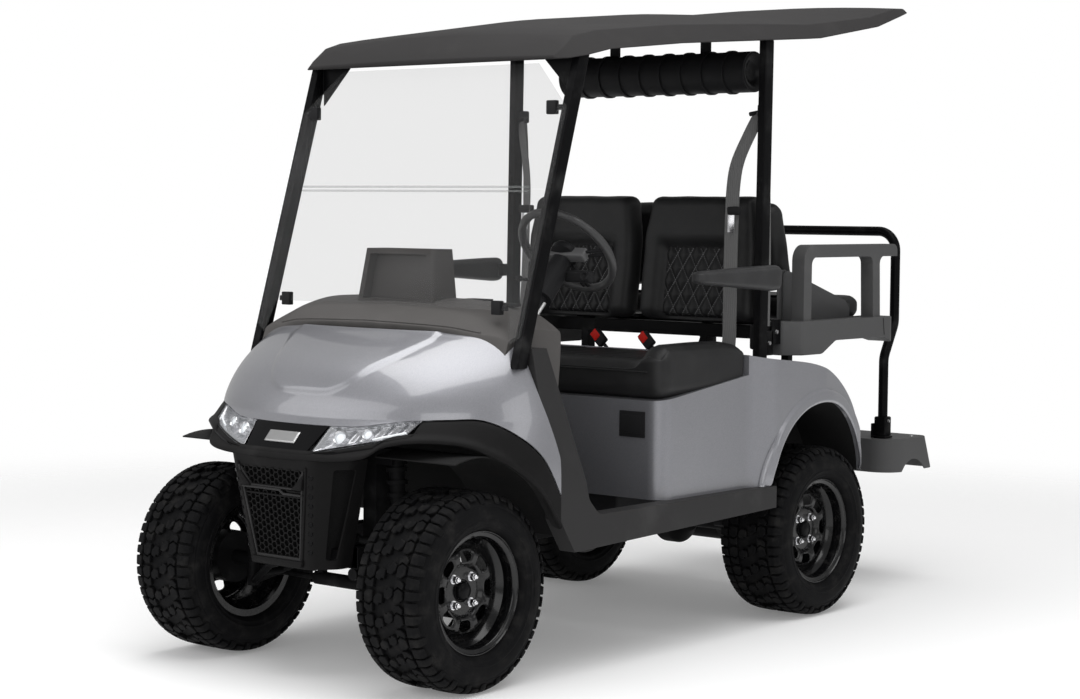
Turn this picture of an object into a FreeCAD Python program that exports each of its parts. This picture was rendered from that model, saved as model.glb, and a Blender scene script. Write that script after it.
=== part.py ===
"""Four-seat golf cart on lifted suspension, as separate named pieces.

Millimetres. +X is the cart's left side, -Y its front, +Z up. The origin is on the ground, on the
centre plane, at the middle of the overall length. Lengths along the cart are measured back from the
front axle, and along() turns them into Y.
"""
import FreeCAD
import Part

import math
import os

# Running gear
wheelbase = 1669.0
front_track = 902.0
rear_track = 972.0
tyre_diameter = 559.0
tyre_width = 245.0
tread_depth = 12.0
tread_width = 214.0
lug_count = 16
lug_inner = 14.0
lug_length = 42.0
lug_skew = 8.0
lug_drop = 42.0
bead_diameter = 318.0
rim_diameter = 346.0
rim_width = 196.0
rim_lip = 9.0
rim_wall = 5.0
rim_well_diameter = 268.0
disc_inset = 62.0
disc_dish = 18.0
disc_thickness = 7.0
hub_bore = 60.0
hub_cap_height = 16.0
hub_cap_wall = 4.0
vent_count = 8
vent_circle = 182.0
vent_length = 46.0
vent_width = 26.0
stud_count = 4
stud_circle = 102.0
nut_diameter = 19.0
nut_height = 16.0
running_gap = 0.3

# Overall reach behind the rear axle
rear_overhang = 951.0

# Knuckles and front suspension
kingpin_offset = 106.0
kingpin_height = 300.0
kingpin_length = 130.0
kingpin_radius = 18.0
spindle_radius = 20.0
drum_radius = 78.0
drum_length = 52.0
flange_radius = 66.0
flange_thickness = 9.0
arm_length = 112.0
arm_drop = 30.0
arm_thickness = 12.0
arm_width = 34.0
pivot_gap = 0.3
a_arm_spread = 180.0
a_arm_radius = 11.0
coilover_foot_x = 262.0
coilover_top_x = 236.0
coilover_top_height = 640.0
coilover_radius = 22.0
coil_radius = 30.0
coil_wire_radius = 6.0
coil_count = 6
coil_start_share = 0.28
coil_end_share = 0.88
shock_eye_radius = 15.0
rack_radius = 20.0
rack_length = 380.0
tie_rod_radius = 8.0
tie_rod_eye_height = 18.0
tie_rod_eye_radius = 12.5
rack_behind_axle = 112.0

# Frame
rail_spacing = 330.0
rail_width = 50.0
rail_height = 64.0
rail_bottom = 318.0
rail_wall = 4.0
rail_front = -105.0
rail_rear = 2330.0
cross_stations = (40.0, 470.0, 900.0, 1310.0, 2060.0)
cross_height = 50.0
cross_width = 40.0
bumper_beam_depth = 40.0
tower_plate = 8.0
hitch_width = 150.0
hitch_height = 100.0
hitch_thickness = 10.0
hitch_hole_spacing_x = 90.0
hitch_hole_spacing_z = 60.0
hitch_hole_radius = 6.5

# Rear axle, motor and springs
axle_tube_radius = 34.0
axle_case_radius = 95.0
axle_case_length = 130.0
motor_radius = 92.0
motor_length = 240.0
motor_reach = 150.0
leaf_spacing = 560.0
leaf_span = 760.0
leaf_width = 45.0
leaf_thickness = 9.0
leaf_drop = 72.0
leaf_count = 3
leaf_eye_radius = 17.0
rear_shock_radius = 22.0
rear_shock_top = 600.0
rear_shock_x = 225.0

# Body nose
nose_half_width = 585.0
nose_depth = 450.0
nose_reach = -165.0
nose_side_y = 285.0
skirt_half_width = 606.0
skirt_reach = -265.0
seam_height = 745.0
skirt_height = 633.0
cowl_top = 973.0
body_wall = 7.0
nose_curve_share = 2.2
skirt_curve_share = 2.5

# Arches
liner_radius = 372.0
liner_wall = 4.0
liner_ahead = 100.0
rear_liner_inner_x = 344.0
rear_arch_radius = 300.0
rear_arch_ahead = 14.0
rear_arch_height = 409.0
arch_lip_width = 44.0
arch_lip_rise = 5.0

# Lower fascia and grille
fascia_top_half = 232.0
fascia_bottom_half = 168.0
fascia_front = -258.0
fascia_lean = 34.0
fascia_bottom = 322.0
fascia_rear = -108.0
fascia_chamfer = 92.0
fascia_wall = 5.0
fascia_slot_front = -206.0
fascia_slot_width = 42.0
fascia_slot_lean = 16.0
fascia_slot_border = 26.0
grille_top_half = 124.0
grille_bottom_half = 82.0
grille_top = 600.0
grille_bottom = 342.0
grille_frame = 12.0
grille_bar = 538.0
grille_bar_height = 18.0
hexagon_radius = 13.0
hexagon_pitch = 27.0

# Lamps and badge panel
lamp_inner_x = 150.0
lamp_outer_x = 372.0
lamp_lower_inner = 650.0
lamp_lower_outer = 700.0
badge_half_top = 146.0
badge_half_bottom = 118.0
badge_bottom = 648.0

# Dash
dash_ledge = 34.0
dash_top = 1068.0
dash_peak_y = 318.0
dash_rear_y = 428.0
dash_bottom = 690.0
dash_half_width = 500.0
dash_wall = 5.0
dash_corner = 60.0
pod_bottom_half = 192.0
pod_top_half = 162.0
pod_top = 1211.0
pod_front_y = 248.0
pod_depth = 120.0
pod_lean = 26.0
pod_corner = 14.0

# Steering
wheel_hub_x = 272.0
wheel_hub_y = 716.0
wheel_hub_z = 1206.0
wheel_tilt = 42.0
wheel_radius = 170.0
wheel_grip_radius = 14.0
wheel_boss_radius = 46.0
wheel_boss_height = 34.0
spoke_width = 34.0
spoke_thickness = 10.0
spoke_drop = 22.0
column_radius = 20.0
column_shroud_radius = 38.0
column_shroud_length = 150.0
column_length = 430.0

# Floor
floor_rear = 820.0
floor_thickness = 16.0
toe_board_foot_y = 500.0
mat_thickness = 6.0
mat_margin = 24.0
pedal_x = 150.0
pedal_width = 92.0
pedal_height = 96.0
pedal_thickness = 10.0
pedal_spacing = 150.0

# Rockers
rocker_x = 604.0
rocker_width = 56.0
rocker_front = 352.0
rocker_rear = 1384.0
rocker_bottom = 358.0
rocker_rise = 28.0
rocker_top = 456.0
rocker_corner = 46.0
kick_top_y = 224.0
kick_width = 66.0
kick_top = 940.0
kick_top_x = 545.0
kick_knee = 560.0

# Rear body
base_half_width = 562.0
base_front = 820.0
base_rise = 58.0
base_top = 756.0
base_corner = 58.0
fender_half_width = 604.0
fender_top = 877.0
fender_shelf_start = 1275.0
fender_rear = 1985.0
fender_rear_half_width = 556.0
battery_length = 268.0
battery_width = 620.0
battery_height = 260.0
battery_front = 930.0

# Front bench and seats
cushion_half_width = 550.0
cushion_front = 822.0
cushion_thickness = 118.0
cushion_corner = 70.0
bolster_height = 48.0
bolster_width = 105.0
cushion_rear_drop = 12.0
cushion_nose = 40.0
seat_hinge_gap = 6.0
seat_hinge_radius = 5.0
seat_hinge_length = 120.0
seat_hinge_x = 260.0
seat_gap = 0.3
back_inner_x = 16.0
back_outer_x = 500.0
back_thickness = 78.0
back_bottom = 972.0
back_top = 1368.0
back_bottom_y = 1402.0
back_top_y = 1452.0
back_corner = 48.0
rear_back_front_y = 1566.0
rear_back_bottom_y = 1668.0
rear_back_bottom = 1072.0
rear_back_top = 1366.0
rear_back_thickness = 92.0
rear_back_half_width = 440.0
rear_cushion_front = 1802.0
rear_cushion_rear = 2176.0
rear_cushion_thickness = 86.0
rear_cushion_half_width = 420.0
seat_edge = 8.0
armrest_width = 53.0
armrest_front = 950.0
armrest_rear = 1404.0
armrest_bottom = 1072.0
armrest_height = 92.0
armrest_drop = 34.0
armrest_clearance = 5.5
armrest_edge = 15.0

# Seat frame
beam_height = 44.0
beam_depth = 40.0
beam_bottom = 916.0
beam_half_width = 505.7
upright_depth = 25.0
upright_top = 1340.0
deck_strut_y = 2100.0
deck_strut_size = 30.0
beam_front_y = 1466.0
beam_rear_y = 1670.0
upright_width = 30.0
upright_x = 250.0
deck_frame_width = 40.0
deck_x = 400.0

# Rear trays
tray_inner_x = 448.0
tray_outer_x = 566.0
tray_front_y = 1530.0
tray_rear_y = 2182.0
tray_bottom = 862.0
tray_top = 972.0
tray_arch_rise = 42.0
tray_corner = 50.0
tray_wall = 5.0
hoop_front_y = 1600.0
hoop_rear_y = 2190.0
hoop_top = 1222.0
hoop_width = 50.0
hoop_depth = 46.0
hoop_bar_height = 42.0
hoop_post_y = 2050.0
hoop_corner = 52.0
hoop_inset = 10.0

# Grab bar and step
grab_half_width = 400.0
grab_radius = 17.0
grab_top = 1262.0
grab_upper_y = 2440.0
grab_lower_y = 2372.0
grab_knee = 872.0
grab_knee_drop = 60.0
grab_bend = 70.0
step_half_width = 470.0
step_front_y = 2318.0
step_top = 522.0
step_bottom = 402.0
step_lean = 48.0
step_corner = 90.0
step_wall = 6.0
step_arch_rise = 42.0
step_bracket_width = 50.0
step_bracket_height = 40.0

# Roof posts
pillar_x = 524.0
pillar_foot = 885.0
pillar_top = 1768.0
pillar_width = 30.0
pillar_depth = 44.0
gusset_size = 120.0
gusset_thickness = 6.0
strut_x = 520.0
strut_foot_y = 1398.0
strut_top_y = 1416.0
strut_width = 28.0
strut_depth = 46.0
armrest_stub = 44.0
guide_height = 1648.0
guide_size = 66.0
guide_thickness = 24.0

# Windshield
glass_thickness = 5.0
glass_foot_y = 182.0
glass_foot = 950.0
glass_clear = 1046.0
glass_leg = 24.0
glass_fold = 1388.0
glass_top = 1752.0
glass_top_y = 424.0
glass_half_width = 529.0
glass_top_half_width = 393.0
glass_corner = 130.0

# Roof
roof_front_y = 372.0
roof_rear_y = 2378.0
roof_half_width = 584.0
roof_front_edge = 1757.0
roof_rear_edge = 2036.0
roof_crown = 52.0
roof_wall = 16.0
roof_border = 46.0
roof_bevel = 62.0
roof_bevel_rise = 58.0

# Sound bar
bar_half_length = 385.0
bar_radius = 72.0
bar_y = 1544.0
bar_z = 1786.0
bar_rib_depth = 5.0
bar_rib_width = 14.0
bar_rib_count = 8
bar_cone_depth = 24.0
bar_cone_radius = 38.0
bar_bracket_thickness = 6.0
bar_bracket_width = 40.0
bar_bracket_x = 190.0

# Belts
belt_width = 46.0
belt_thickness = 3.0
belt_clearance = 26.0
belt_foot = 905.0
buckle_width = 40.0
buckle_depth = 24.0
buckle_height = 70.0
buckle_x = 60.0
buckle_y = 1345.0
buckle_top = 985.0

# Values that follow from those above
tyre_radius = tyre_diameter / 2
rail_top = rail_bottom + rail_height
floor_top = rail_top + floor_thickness
base_bottom = rocker_top
liner_inner_x = coilover_top_x + shock_eye_radius + running_gap
liner_outer_x = rocker_x - rocker_width
floor_half_width = rocker_x - rocker_width - running_gap
toe_board_top = dash_bottom
toe_board_top_y = dash_rear_y - dash_ledge - dash_wall
cushion_rear = fender_shelf_start - seat_hinge_gap
beam_top = beam_bottom + beam_height
rear_cushion_bottom = beam_top + seat_gap
pillar_offset = glass_thickness + running_gap + pillar_depth / 2
overall_length = tyre_radius + wheelbase + rear_overhang
front_axle_y = tyre_radius - overall_length / 2
overrun = 400.0
fuse_depth = 1.0


def along(distance):
    """Y of a place given by its distance behind the front axle."""
    return front_axle_y + distance


def vec(x, y, z):
    """A point in millimetres."""
    return FreeCAD.Vector(x, y, z)


def rounded_edges(points, radii, closed):
    """Straight edges joined by tangent arcs; radii is one value or one for each point."""
    count = len(points)
    if not hasattr(radii, "__len__"):
        radii = [radii] * count
    corners = range(count) if closed else range(1, count - 1)
    entry, leave = list(points), list(points)
    arcs = {}
    for i in corners:
        before, here, after = points[i - 1], points[i], points[(i + 1) % count]
        to_before, to_after = before - here, after - here
        half = to_before.getAngle(to_after) / 2
        if radii[i] <= 0 or half > math.pi / 2 - 1e-4:
            continue
        cut = radii[i] / math.tan(half)
        to_before.normalize()
        to_after.normalize()
        entry[i] = here + to_before * cut
        leave[i] = here + to_after * cut
        middle = to_before + to_after
        middle.normalize()
        centre = here + middle * (radii[i] / math.sin(half))
        arcs[i] = Part.Arc(entry[i], centre - middle * radii[i], leave[i]).toShape()
    edges = []
    for i in range(count if closed else count - 1):
        following = (i + 1) % count
        if leave[i].distanceToPoint(entry[following]) > 1e-6:
            edges.append(Part.makeLine(leave[i], entry[following]))
        if following in arcs:
            edges.append(arcs[following])
    return edges


def outline(points, radii=0):
    """Closed wire through the points with rounded corners."""
    return Part.Wire(Part.__sortEdges__(rounded_edges(points, radii, True)))


def plate_x(points, x_low, x_high, radii=0):
    """Solid of a (y, z) outline between two x places."""
    wire = outline([vec(x_low, y, z) for y, z in points], radii)
    return Part.Face(wire).extrude(vec(x_high - x_low, 0, 0))


def plate_y(points, y_low, y_high, radii=0):
    """Solid of an (x, z) outline between two y places."""
    wire = outline([vec(x, y_low, z) for x, z in points], radii)
    return Part.Face(wire).extrude(vec(0, y_high - y_low, 0))


def plate_z(points, z_low, z_high, radii=0):
    """Solid of an (x, y) outline between two heights."""
    wire = outline([vec(x, y, z_low) for x, y in points], radii)
    return Part.Face(wire).extrude(vec(0, 0, z_high - z_low))


def block(x_low, x_high, y_low, y_high, z_low, z_high):
    """Plain rectangular solid between two corners."""
    return Part.makeBox(x_high - x_low, y_high - y_low, z_high - z_low, vec(x_low, y_low, z_low))


def rod(start, end, radius):
    """Round bar between two points."""
    run = end - start
    return Part.makeCylinder(radius, run.Length, start, run)


def bent_tube(points, radius, bend):
    """Round bar along straight runs joined by bends."""
    path = Part.Wire(rounded_edges(points, bend, False))
    ring = Part.Wire(Part.makeCircle(radius, points[0], points[1] - points[0]))
    return path.makePipeShell([ring], True, True)


def lathe(profile, base, axis, radii=0):
    """Solid of revolution; profile holds (radius, height) points along the axis."""
    axis = FreeCAD.Vector(axis)
    axis.normalize()
    side = axis.cross(vec(0, 1, 0))
    if side.Length < 0.5:
        side = axis.cross(vec(1, 0, 0))
    side.normalize()
    points = [base + side * r + axis * h for r, h in profile]
    return Part.Face(outline(points, radii)).revolve(base, axis, 360)


def fuse(shapes):
    """One clean solid of several that meet."""
    whole = shapes[0].multiFuse(shapes[1:]) if len(shapes) > 1 else shapes[0]
    return whole.removeSplitter()


def mirrored(shape):
    """The same shape on the other side of the centre plane."""
    return shape.mirror(vec(0, 0, 0), vec(1, 0, 0))


def turned(shape, base, axis, degrees):
    """A copy turned about an axis."""
    copy = shape.copy()
    copy.rotate(base, axis, degrees)
    return copy


def both(shape):
    """The shape and its mirror image as two solids of one piece."""
    return Part.makeCompound([shape, mirrored(shape)])


def largest(shape):
    """The biggest solid of what a cut leaves."""
    return max(shape.Solids, key=lambda solid: solid.Volume)


def hexagon(centre_x, centre_z, radius):
    """Six (x, z) corners with a flat top."""
    turn = math.pi / 3
    return [(centre_x + radius * math.cos(i * turn), centre_z + radius * math.sin(i * turn)) for i in range(6)]


def front_wheel_x():
    return front_track / 2


def rear_wheel_x():
    return rear_track / 2


# Height of the tyre's widest place as a share of its side wall
bulge_height_share = 0.45


def tyre_profile(tread_radius, tread_half):
    """Section of the tyre's ring from bead to bead, as (radius, place along the axle)."""
    bead = bead_diameter / 2
    bead_half = rim_width / 2 - rim_lip - running_gap
    lip = rim_diameter / 2 + running_gap
    bulge = bead + (tyre_radius - bead) * bulge_height_share
    left = [(bead, bead_half), (lip, bead_half), (bulge, tyre_width / 2), (tread_radius, tread_half)]
    return left + [(radius, -place) for radius, place in reversed(left)]


def ring_corner(row, index, flats):
    """Corner between two flats of a ring about the X axis, with a flat at its lowest place."""
    radius, place = row
    angle = 2 * math.pi * (index + 1 / 2) / flats
    corner = radius / math.cos(math.pi / flats)
    return vec(place, corner * math.sin(angle), corner * math.cos(angle))


def lug_block(side, index):
    """Slanted tread block over one shoulder, on one flat of the tyre's ring."""
    half = tyre_width / 2
    edge = tread_width / 2
    foot = tyre_radius - tread_depth - fuse_depth
    drop = tyre_radius - lug_drop
    rim_x = edge - tread_depth
    section = [(side * lug_inner, foot), (side * lug_inner, tyre_radius), (side * rim_x, tyre_radius),
               (side * (half - fuse_depth), drop), (side * rim_x, drop)]
    reach = lug_length + lug_skew
    bar = plate_y(section if side > 0 else section[::-1], -reach, reach)
    inner, outer, half_long = lug_inner / 2, tyre_width, lug_length / 2
    slant = lug_skew / edge
    shift = slant * (outer - edge)
    plan = [(side * inner, slant * inner - half_long), (side * inner, half_long - slant * inner),
            (side * outer, shift + half_long), (side * outer, shift - half_long)]
    shape = plate_z(plan if side > 0 else plan[::-1], drop - lug_drop, tyre_radius + tread_depth)
    return turned(bar.common(shape), vec(0, 0, 0), vec(1, 0, 0), 180 * index / lug_count)


def tyre_body():
    """Tyre on the origin: a ring with one flat for each lug, and slanted lugs over both shoulders."""
    flats = 2 * lug_count
    rows = tyre_profile(tyre_radius - tread_depth, tread_width / 2 - tread_depth)
    faces = []
    for start, stop in zip(rows, rows[1:] + rows[:1]):
        for i in range(flats):
            corners = [ring_corner(start, i, flats), ring_corner(start, i + 1, flats),
                       ring_corner(stop, i + 1, flats), ring_corner(stop, i, flats)]
            faces.append(Part.Face(Part.makePolygon(corners + corners[:1])))
    ring = Part.Solid(Part.Shell(faces))
    if ring.Volume < 0:
        ring.reverse()
    lugs = [lug_block(1 if i % 2 == 0 else -1, i) for i in range(flats)]
    return ring.multiFuse(lugs)


def tyre(body, x, y, side):
    """Copy of the tyre's body on one wheel, its tread facing the same way forwards."""
    copy = body.copy() if side > 0 else turned(body, vec(0, 0, 0), vec(0, 0, 1), 180)
    copy.translate(vec(x, y, tyre_radius))
    return copy


def rim(x, y, side):
    """Steel wheel: dropped barrel with lips, vented disc, cap and nuts, facing outwards."""
    axis = vec(side, 0, 0)
    base = vec(x, y, tyre_radius)
    half = rim_width / 2
    lip = rim_diameter / 2
    seat = bead_diameter / 2 - running_gap
    well = rim_well_diameter / 2
    outer = [
        (lip, -half), (lip, -half + rim_lip), (seat, -half + rim_lip),
        (seat, -half + rim_lip * 4), (well, -half + rim_lip * 6), (well, half - rim_lip * 8),
        (seat, half - rim_lip * 5), (seat, half - rim_lip), (lip, half - rim_lip), (lip, half),
    ]
    inner = [
        (seat - rim_wall, half), (seat - rim_wall, half - rim_lip * 5),
        (well - rim_wall, half - rim_lip * 8), (well - rim_wall, -half + rim_lip * 6),
        (seat - rim_wall, -half + rim_lip * 4), (seat - rim_wall, -half),
    ]
    barrel = lathe(outer + inner, base, axis)
    face = half - disc_inset
    ring = well - rim_wall + fuse_depth
    pad_share = 1.6
    pad_radius = stud_circle / 2 + nut_diameter * pad_share
    plate = [
        (0, face), (stud_circle / 2 + nut_diameter, face),
        (pad_radius, face + disc_dish),
        (vent_circle / 2 + vent_width, face + disc_dish), (ring, face - disc_dish),
        (ring, face - disc_dish - disc_thickness),
        (vent_circle / 2 + vent_width, face + disc_dish - disc_thickness),
        (pad_radius, face + disc_dish - disc_thickness),
        (stud_circle / 2 + nut_diameter, face - disc_thickness), (0, face - disc_thickness),
    ]
    disc = lathe(plate, base, axis)
    vents = []
    for i in range(vent_count):
        half_long = (vent_length - vent_width) / 2
        slot_low = rod(base + vec(0, -half_long, vent_circle / 2),
                       base + vec(side * half, -half_long, vent_circle / 2), vent_width / 2)
        slot_high = rod(base + vec(0, half_long, vent_circle / 2),
                        base + vec(side * half, half_long, vent_circle / 2), vent_width / 2)
        x_pair = sorted((x, x + side * half))
        web = block(x_pair[0], x_pair[1], y - half_long, y + half_long,
                    tyre_radius + vent_circle / 2 - vent_width / 2,
                    tyre_radius + vent_circle / 2 + vent_width / 2)
        slot = slot_low.multiFuse([slot_high, web])
        vents.append(turned(slot, base, axis, 360.0 * i / vent_count))
    disc = disc.cut(Part.makeCompound(vents))
    cap_radius = hub_bore / 2
    cap = lathe([(0, face - fuse_depth), (cap_radius, face - fuse_depth),
                 (cap_radius, face + hub_cap_height - hub_cap_wall),
                 (cap_radius - hub_cap_wall, face + hub_cap_height), (0, face + hub_cap_height)], base, axis)
    parts = [barrel, disc, cap]
    for i in range(stud_count):
        angle = 2 * math.pi * (i + 1 / 2) / stud_count
        foot = base + vec(side * (face - fuse_depth), stud_circle / 2 * math.cos(angle),
                          stud_circle / 2 * math.sin(angle))
        parts.append(rod(foot, foot + vec(side * (nut_height + fuse_depth), 0, 0), nut_diameter / 2))
    return fuse(parts)


def flange_face_x(wheel_x, side):
    """Where the inner face of a wheel's disc is met by the hub flange."""
    return wheel_x + side * (rim_width / 2 - disc_inset - disc_thickness - running_gap)


def knuckle(side):
    """Steered upright: kingpin post, spindle with drum and flange, and the steering arm."""
    wheel_x = side * front_wheel_x()
    pin_x = wheel_x - side * kingpin_offset
    y = along(0)
    low = kingpin_height - kingpin_length / 2
    post = rod(vec(pin_x, y, low), vec(pin_x, y, low + kingpin_length), kingpin_radius)
    face = flange_face_x(wheel_x, side)
    spindle = rod(vec(pin_x, y, tyre_radius), vec(face, y, tyre_radius), spindle_radius)
    flange = rod(vec(face - side * flange_thickness, y, tyre_radius), vec(face, y, tyre_radius), flange_radius)
    drum = rod(vec(face - side * (flange_thickness + drum_length), y, tyre_radius),
               vec(face - side * (flange_thickness - fuse_depth), y, tyre_radius), drum_radius)
    arm_z = tyre_radius - arm_drop
    half = arm_width / 2
    round_end_share = 0.99
    arm = plate_z([(pin_x - half, y), (pin_x + half, y), (pin_x + half, y + arm_length + half),
                   (pin_x - half, y + arm_length + half)], arm_z, arm_z + arm_thickness, half * round_end_share)
    return fuse([post, spindle, flange, drum, arm])


def lower_ball_height():
    return kingpin_height - kingpin_length / 2 - pivot_gap


def upper_ball_height():
    return kingpin_height + kingpin_length / 2 + pivot_gap


def pivot_barrel_radius():
    """Barrel at the inner end of an arm, on the face of the rail."""
    return a_arm_radius + arm_thickness / 2


def suspension_arm(outer_z, inner_z):
    """Two legs from the frame rail that meet at a round boss under or over the kingpin."""
    y = along(0)
    pin_x = front_wheel_x() - kingpin_offset
    barrel = pivot_barrel_radius()
    legs = []
    for way in (-1, 1):
        foot = vec(rail_spacing / 2, y + way * a_arm_spread / 2, inner_z)
        legs.append(rod(foot, vec(pin_x, y, outer_z), a_arm_radius))
        legs.append(rod(foot - vec(0, a_arm_radius, 0), foot + vec(0, a_arm_radius, 0), barrel))
    return legs


def lower_arm_height(x):
    """Height of the lower arm's legs at a distance x from the centre plane."""
    outer_z = lower_ball_height() - a_arm_radius * 2
    inner_z = rail_bottom - pivot_barrel_radius()
    pin_x = front_wheel_x() - kingpin_offset
    return outer_z + (inner_z - outer_z) * (pin_x - x) / (pin_x - rail_spacing / 2)


def front_arms():
    """Lower and upper arms of each side, clear of the turning knuckles."""
    y = along(0)
    pin_x = front_wheel_x() - kingpin_offset
    barrel = pivot_barrel_radius()
    boss_height = a_arm_radius * 3
    top = lower_ball_height()
    boss = rod(vec(pin_x, y, top - boss_height), vec(pin_x, y, top), kingpin_radius)
    legs = suspension_arm(top - a_arm_radius * 2, rail_bottom - barrel)
    seat_z = lower_arm_height(coilover_foot_x)
    seat = rod(vec(coilover_foot_x, y - a_arm_spread / 4, seat_z),
               vec(coilover_foot_x, y + a_arm_spread / 4, seat_z), a_arm_radius)
    lower = fuse([boss] + legs + [seat])
    bottom = upper_ball_height()
    boss = rod(vec(pin_x, y, bottom), vec(pin_x, y, bottom + boss_height), kingpin_radius)
    upper = fuse([boss] + suspension_arm(bottom + a_arm_radius * 2, rail_top + barrel))
    return Part.makeCompound([lower, mirrored(lower), upper, mirrored(upper)])


def coilover():
    """Damper with its stack of coils, from the lower arm up to the frame tower."""
    y = along(0)
    seat_z = lower_arm_height(coilover_foot_x)
    foot = vec(coilover_foot_x, y, seat_z + a_arm_radius + shock_eye_radius + running_gap)
    top = vec(coilover_top_x, y, coilover_top_height)
    run = top - foot
    direction = FreeCAD.Vector(run)
    direction.normalize()
    parts = [rod(foot, top, coilover_radius)]
    eye_half = coilover_radius + running_gap * 3
    for centre in (foot, top):
        parts.append(rod(centre - vec(0, eye_half, 0), centre + vec(0, eye_half, 0), shock_eye_radius))
    for i in range(coil_count + 1):
        share = coil_start_share + (coil_end_share - coil_start_share) * i / coil_count
        centre = foot + run * share
        parts.append(rod(centre - direction * coil_wire_radius, centre + direction * coil_wire_radius, coil_radius))
    return fuse(parts)


def front_tower():
    """Post on the rail with two ears that hold the upper end of a damper."""
    y = along(0)
    outer = rail_spacing / 2 + rail_width / 2
    inner = outer - rail_width
    top = coilover_top_height + shock_eye_radius
    ear_bottom = coilover_top_height - coil_radius + running_gap
    ear_x = coilover_top_x + shock_eye_radius
    face = coilover_radius + running_gap * 4
    plates = []
    for way in (-1, 1):
        low, high = sorted((y + way * face, y + way * (face + tower_plate)))
        plates.append(plate_y([(inner, rail_top), (outer, rail_top), (outer, ear_bottom), (ear_x, ear_bottom),
                               (ear_x, top), (inner, top)], low, high))
    post_body = block(inner, outer, y - face - tower_plate, y + face + tower_plate, rail_top, top)
    return fuse(plates + [post_body])


def steering_rack_height():
    return tyre_radius - arm_drop - arm_thickness - pivot_gap


def rack_housing():
    """Rack tube fixed under the rails behind the front axle."""
    z = steering_rack_height() - tie_rod_eye_height / 2
    y = along(rack_behind_axle)
    tube = rod(vec(-rack_length / 2, y, z), vec(rack_length / 2, y, z), rack_radius)
    bore = rod(vec(-rack_length, y, z), vec(rack_length, y, z), tie_rod_radius + running_gap)
    lugs = []
    for side in (-1, 1):
        x = side * rail_spacing / 2
        lugs.append(block(x - rack_radius / 2, x + rack_radius / 2, y - rack_radius / 2, y + rack_radius / 2,
                          z + rack_radius / 2, rail_bottom))
    return fuse([tube] + lugs).cut(bore)


def rack_bar():
    """Sliding bar through the rack with an eye under each steering arm."""
    z = steering_rack_height() - tie_rod_eye_height / 2
    pin_x = front_wheel_x() - kingpin_offset
    y = along(rack_behind_axle)
    eye_y = along(arm_length)
    bar = rod(vec(-pin_x, y, z), vec(pin_x, y, z), tie_rod_radius)
    eyes = []
    for side in (-1, 1):
        low = vec(side * pin_x, eye_y, z - tie_rod_eye_height / 2)
        eyes.append(rod(low, low + vec(0, 0, tie_rod_eye_height), tie_rod_eye_radius))
    return fuse([bar] + eyes)


def frame_rails():
    """Two long rectangular tubes of the ladder frame."""
    x = rail_spacing / 2
    outer = block(x - rail_width / 2, x + rail_width / 2, along(rail_front), along(rail_rear), rail_bottom, rail_top)
    inner = block(x - rail_width / 2 + rail_wall, x + rail_width / 2 - rail_wall,
                  along(rail_front) - overrun, along(rail_rear) + overrun,
                  rail_bottom + rail_wall, rail_top - rail_wall)
    return both(outer.cut(inner))


def cross_members():
    """Bars between the rails, and the bumper beam across their front ends."""
    half = rail_spacing / 2 - rail_width / 2
    low = rail_bottom + (rail_height - cross_height) / 2
    bars = []
    for station in cross_stations:
        bars.append(block(-half, half, along(station) - cross_width / 2, along(station) + cross_width / 2,
                          low, low + cross_height))
    reach = fascia_bottom_half - fascia_wall * 2
    bars.append(block(-reach, reach, along(rail_front) - bumper_beam_depth, along(rail_front),
                      low, low + cross_height))
    return Part.makeCompound(bars)


def hitch_plate():
    """Drilled plate between the rail ends, behind the axle."""
    z = rail_bottom + rail_height / 2
    half = rail_spacing / 2 - rail_width / 2
    y = along(rail_rear)
    beam = block(-half, half, y - cross_width, y - hitch_thickness, z - cross_height / 2, z + cross_height / 2)
    plate = block(-hitch_width / 2, hitch_width / 2, y - hitch_thickness, y,
                  z - hitch_height / 2, z + hitch_height / 2)
    whole = fuse([beam, plate])
    for side in (-1, 1):
        for level in (-1, 1):
            centre = vec(side * hitch_hole_spacing_x / 2, y - hitch_thickness - cross_width,
                         z + level * hitch_hole_spacing_z / 2)
            whole = whole.cut(rod(centre, centre + vec(0, overrun, 0), hitch_hole_radius))
    return whole


def rear_axle():
    """Axle tube with its gear case, motor, drums and hub flanges."""
    y = along(wheelbase)
    face = flange_face_x(rear_wheel_x(), 1)
    tube = rod(vec(-face, y, tyre_radius), vec(face, y, tyre_radius), axle_tube_radius)
    half = axle_case_length / 2
    neck_share = 1.5
    neck_radius = axle_tube_radius * neck_share
    case = lathe([(0, -half), (neck_radius, -half), (axle_case_radius, -half / 2),
                  (axle_case_radius, half / 2), (neck_radius, half), (0, half)],
                 vec(0, y, tyre_radius), vec(1, 0, 0), [0, 0, half / 3, half / 3, 0, 0])
    motor = rod(vec(-motor_length / 2, y + motor_reach, tyre_radius),
                vec(motor_length / 2, y + motor_reach, tyre_radius), motor_radius)
    parts = [tube, case, motor]
    for side in (-1, 1):
        parts.append(rod(vec(side * (face - flange_thickness), y, tyre_radius),
                         vec(side * face, y, tyre_radius), flange_radius))
        parts.append(rod(vec(side * (face - flange_thickness - drum_length), y, tyre_radius),
                         vec(side * (face - flange_thickness + fuse_depth), y, tyre_radius), drum_radius))
    return fuse(parts)


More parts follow.
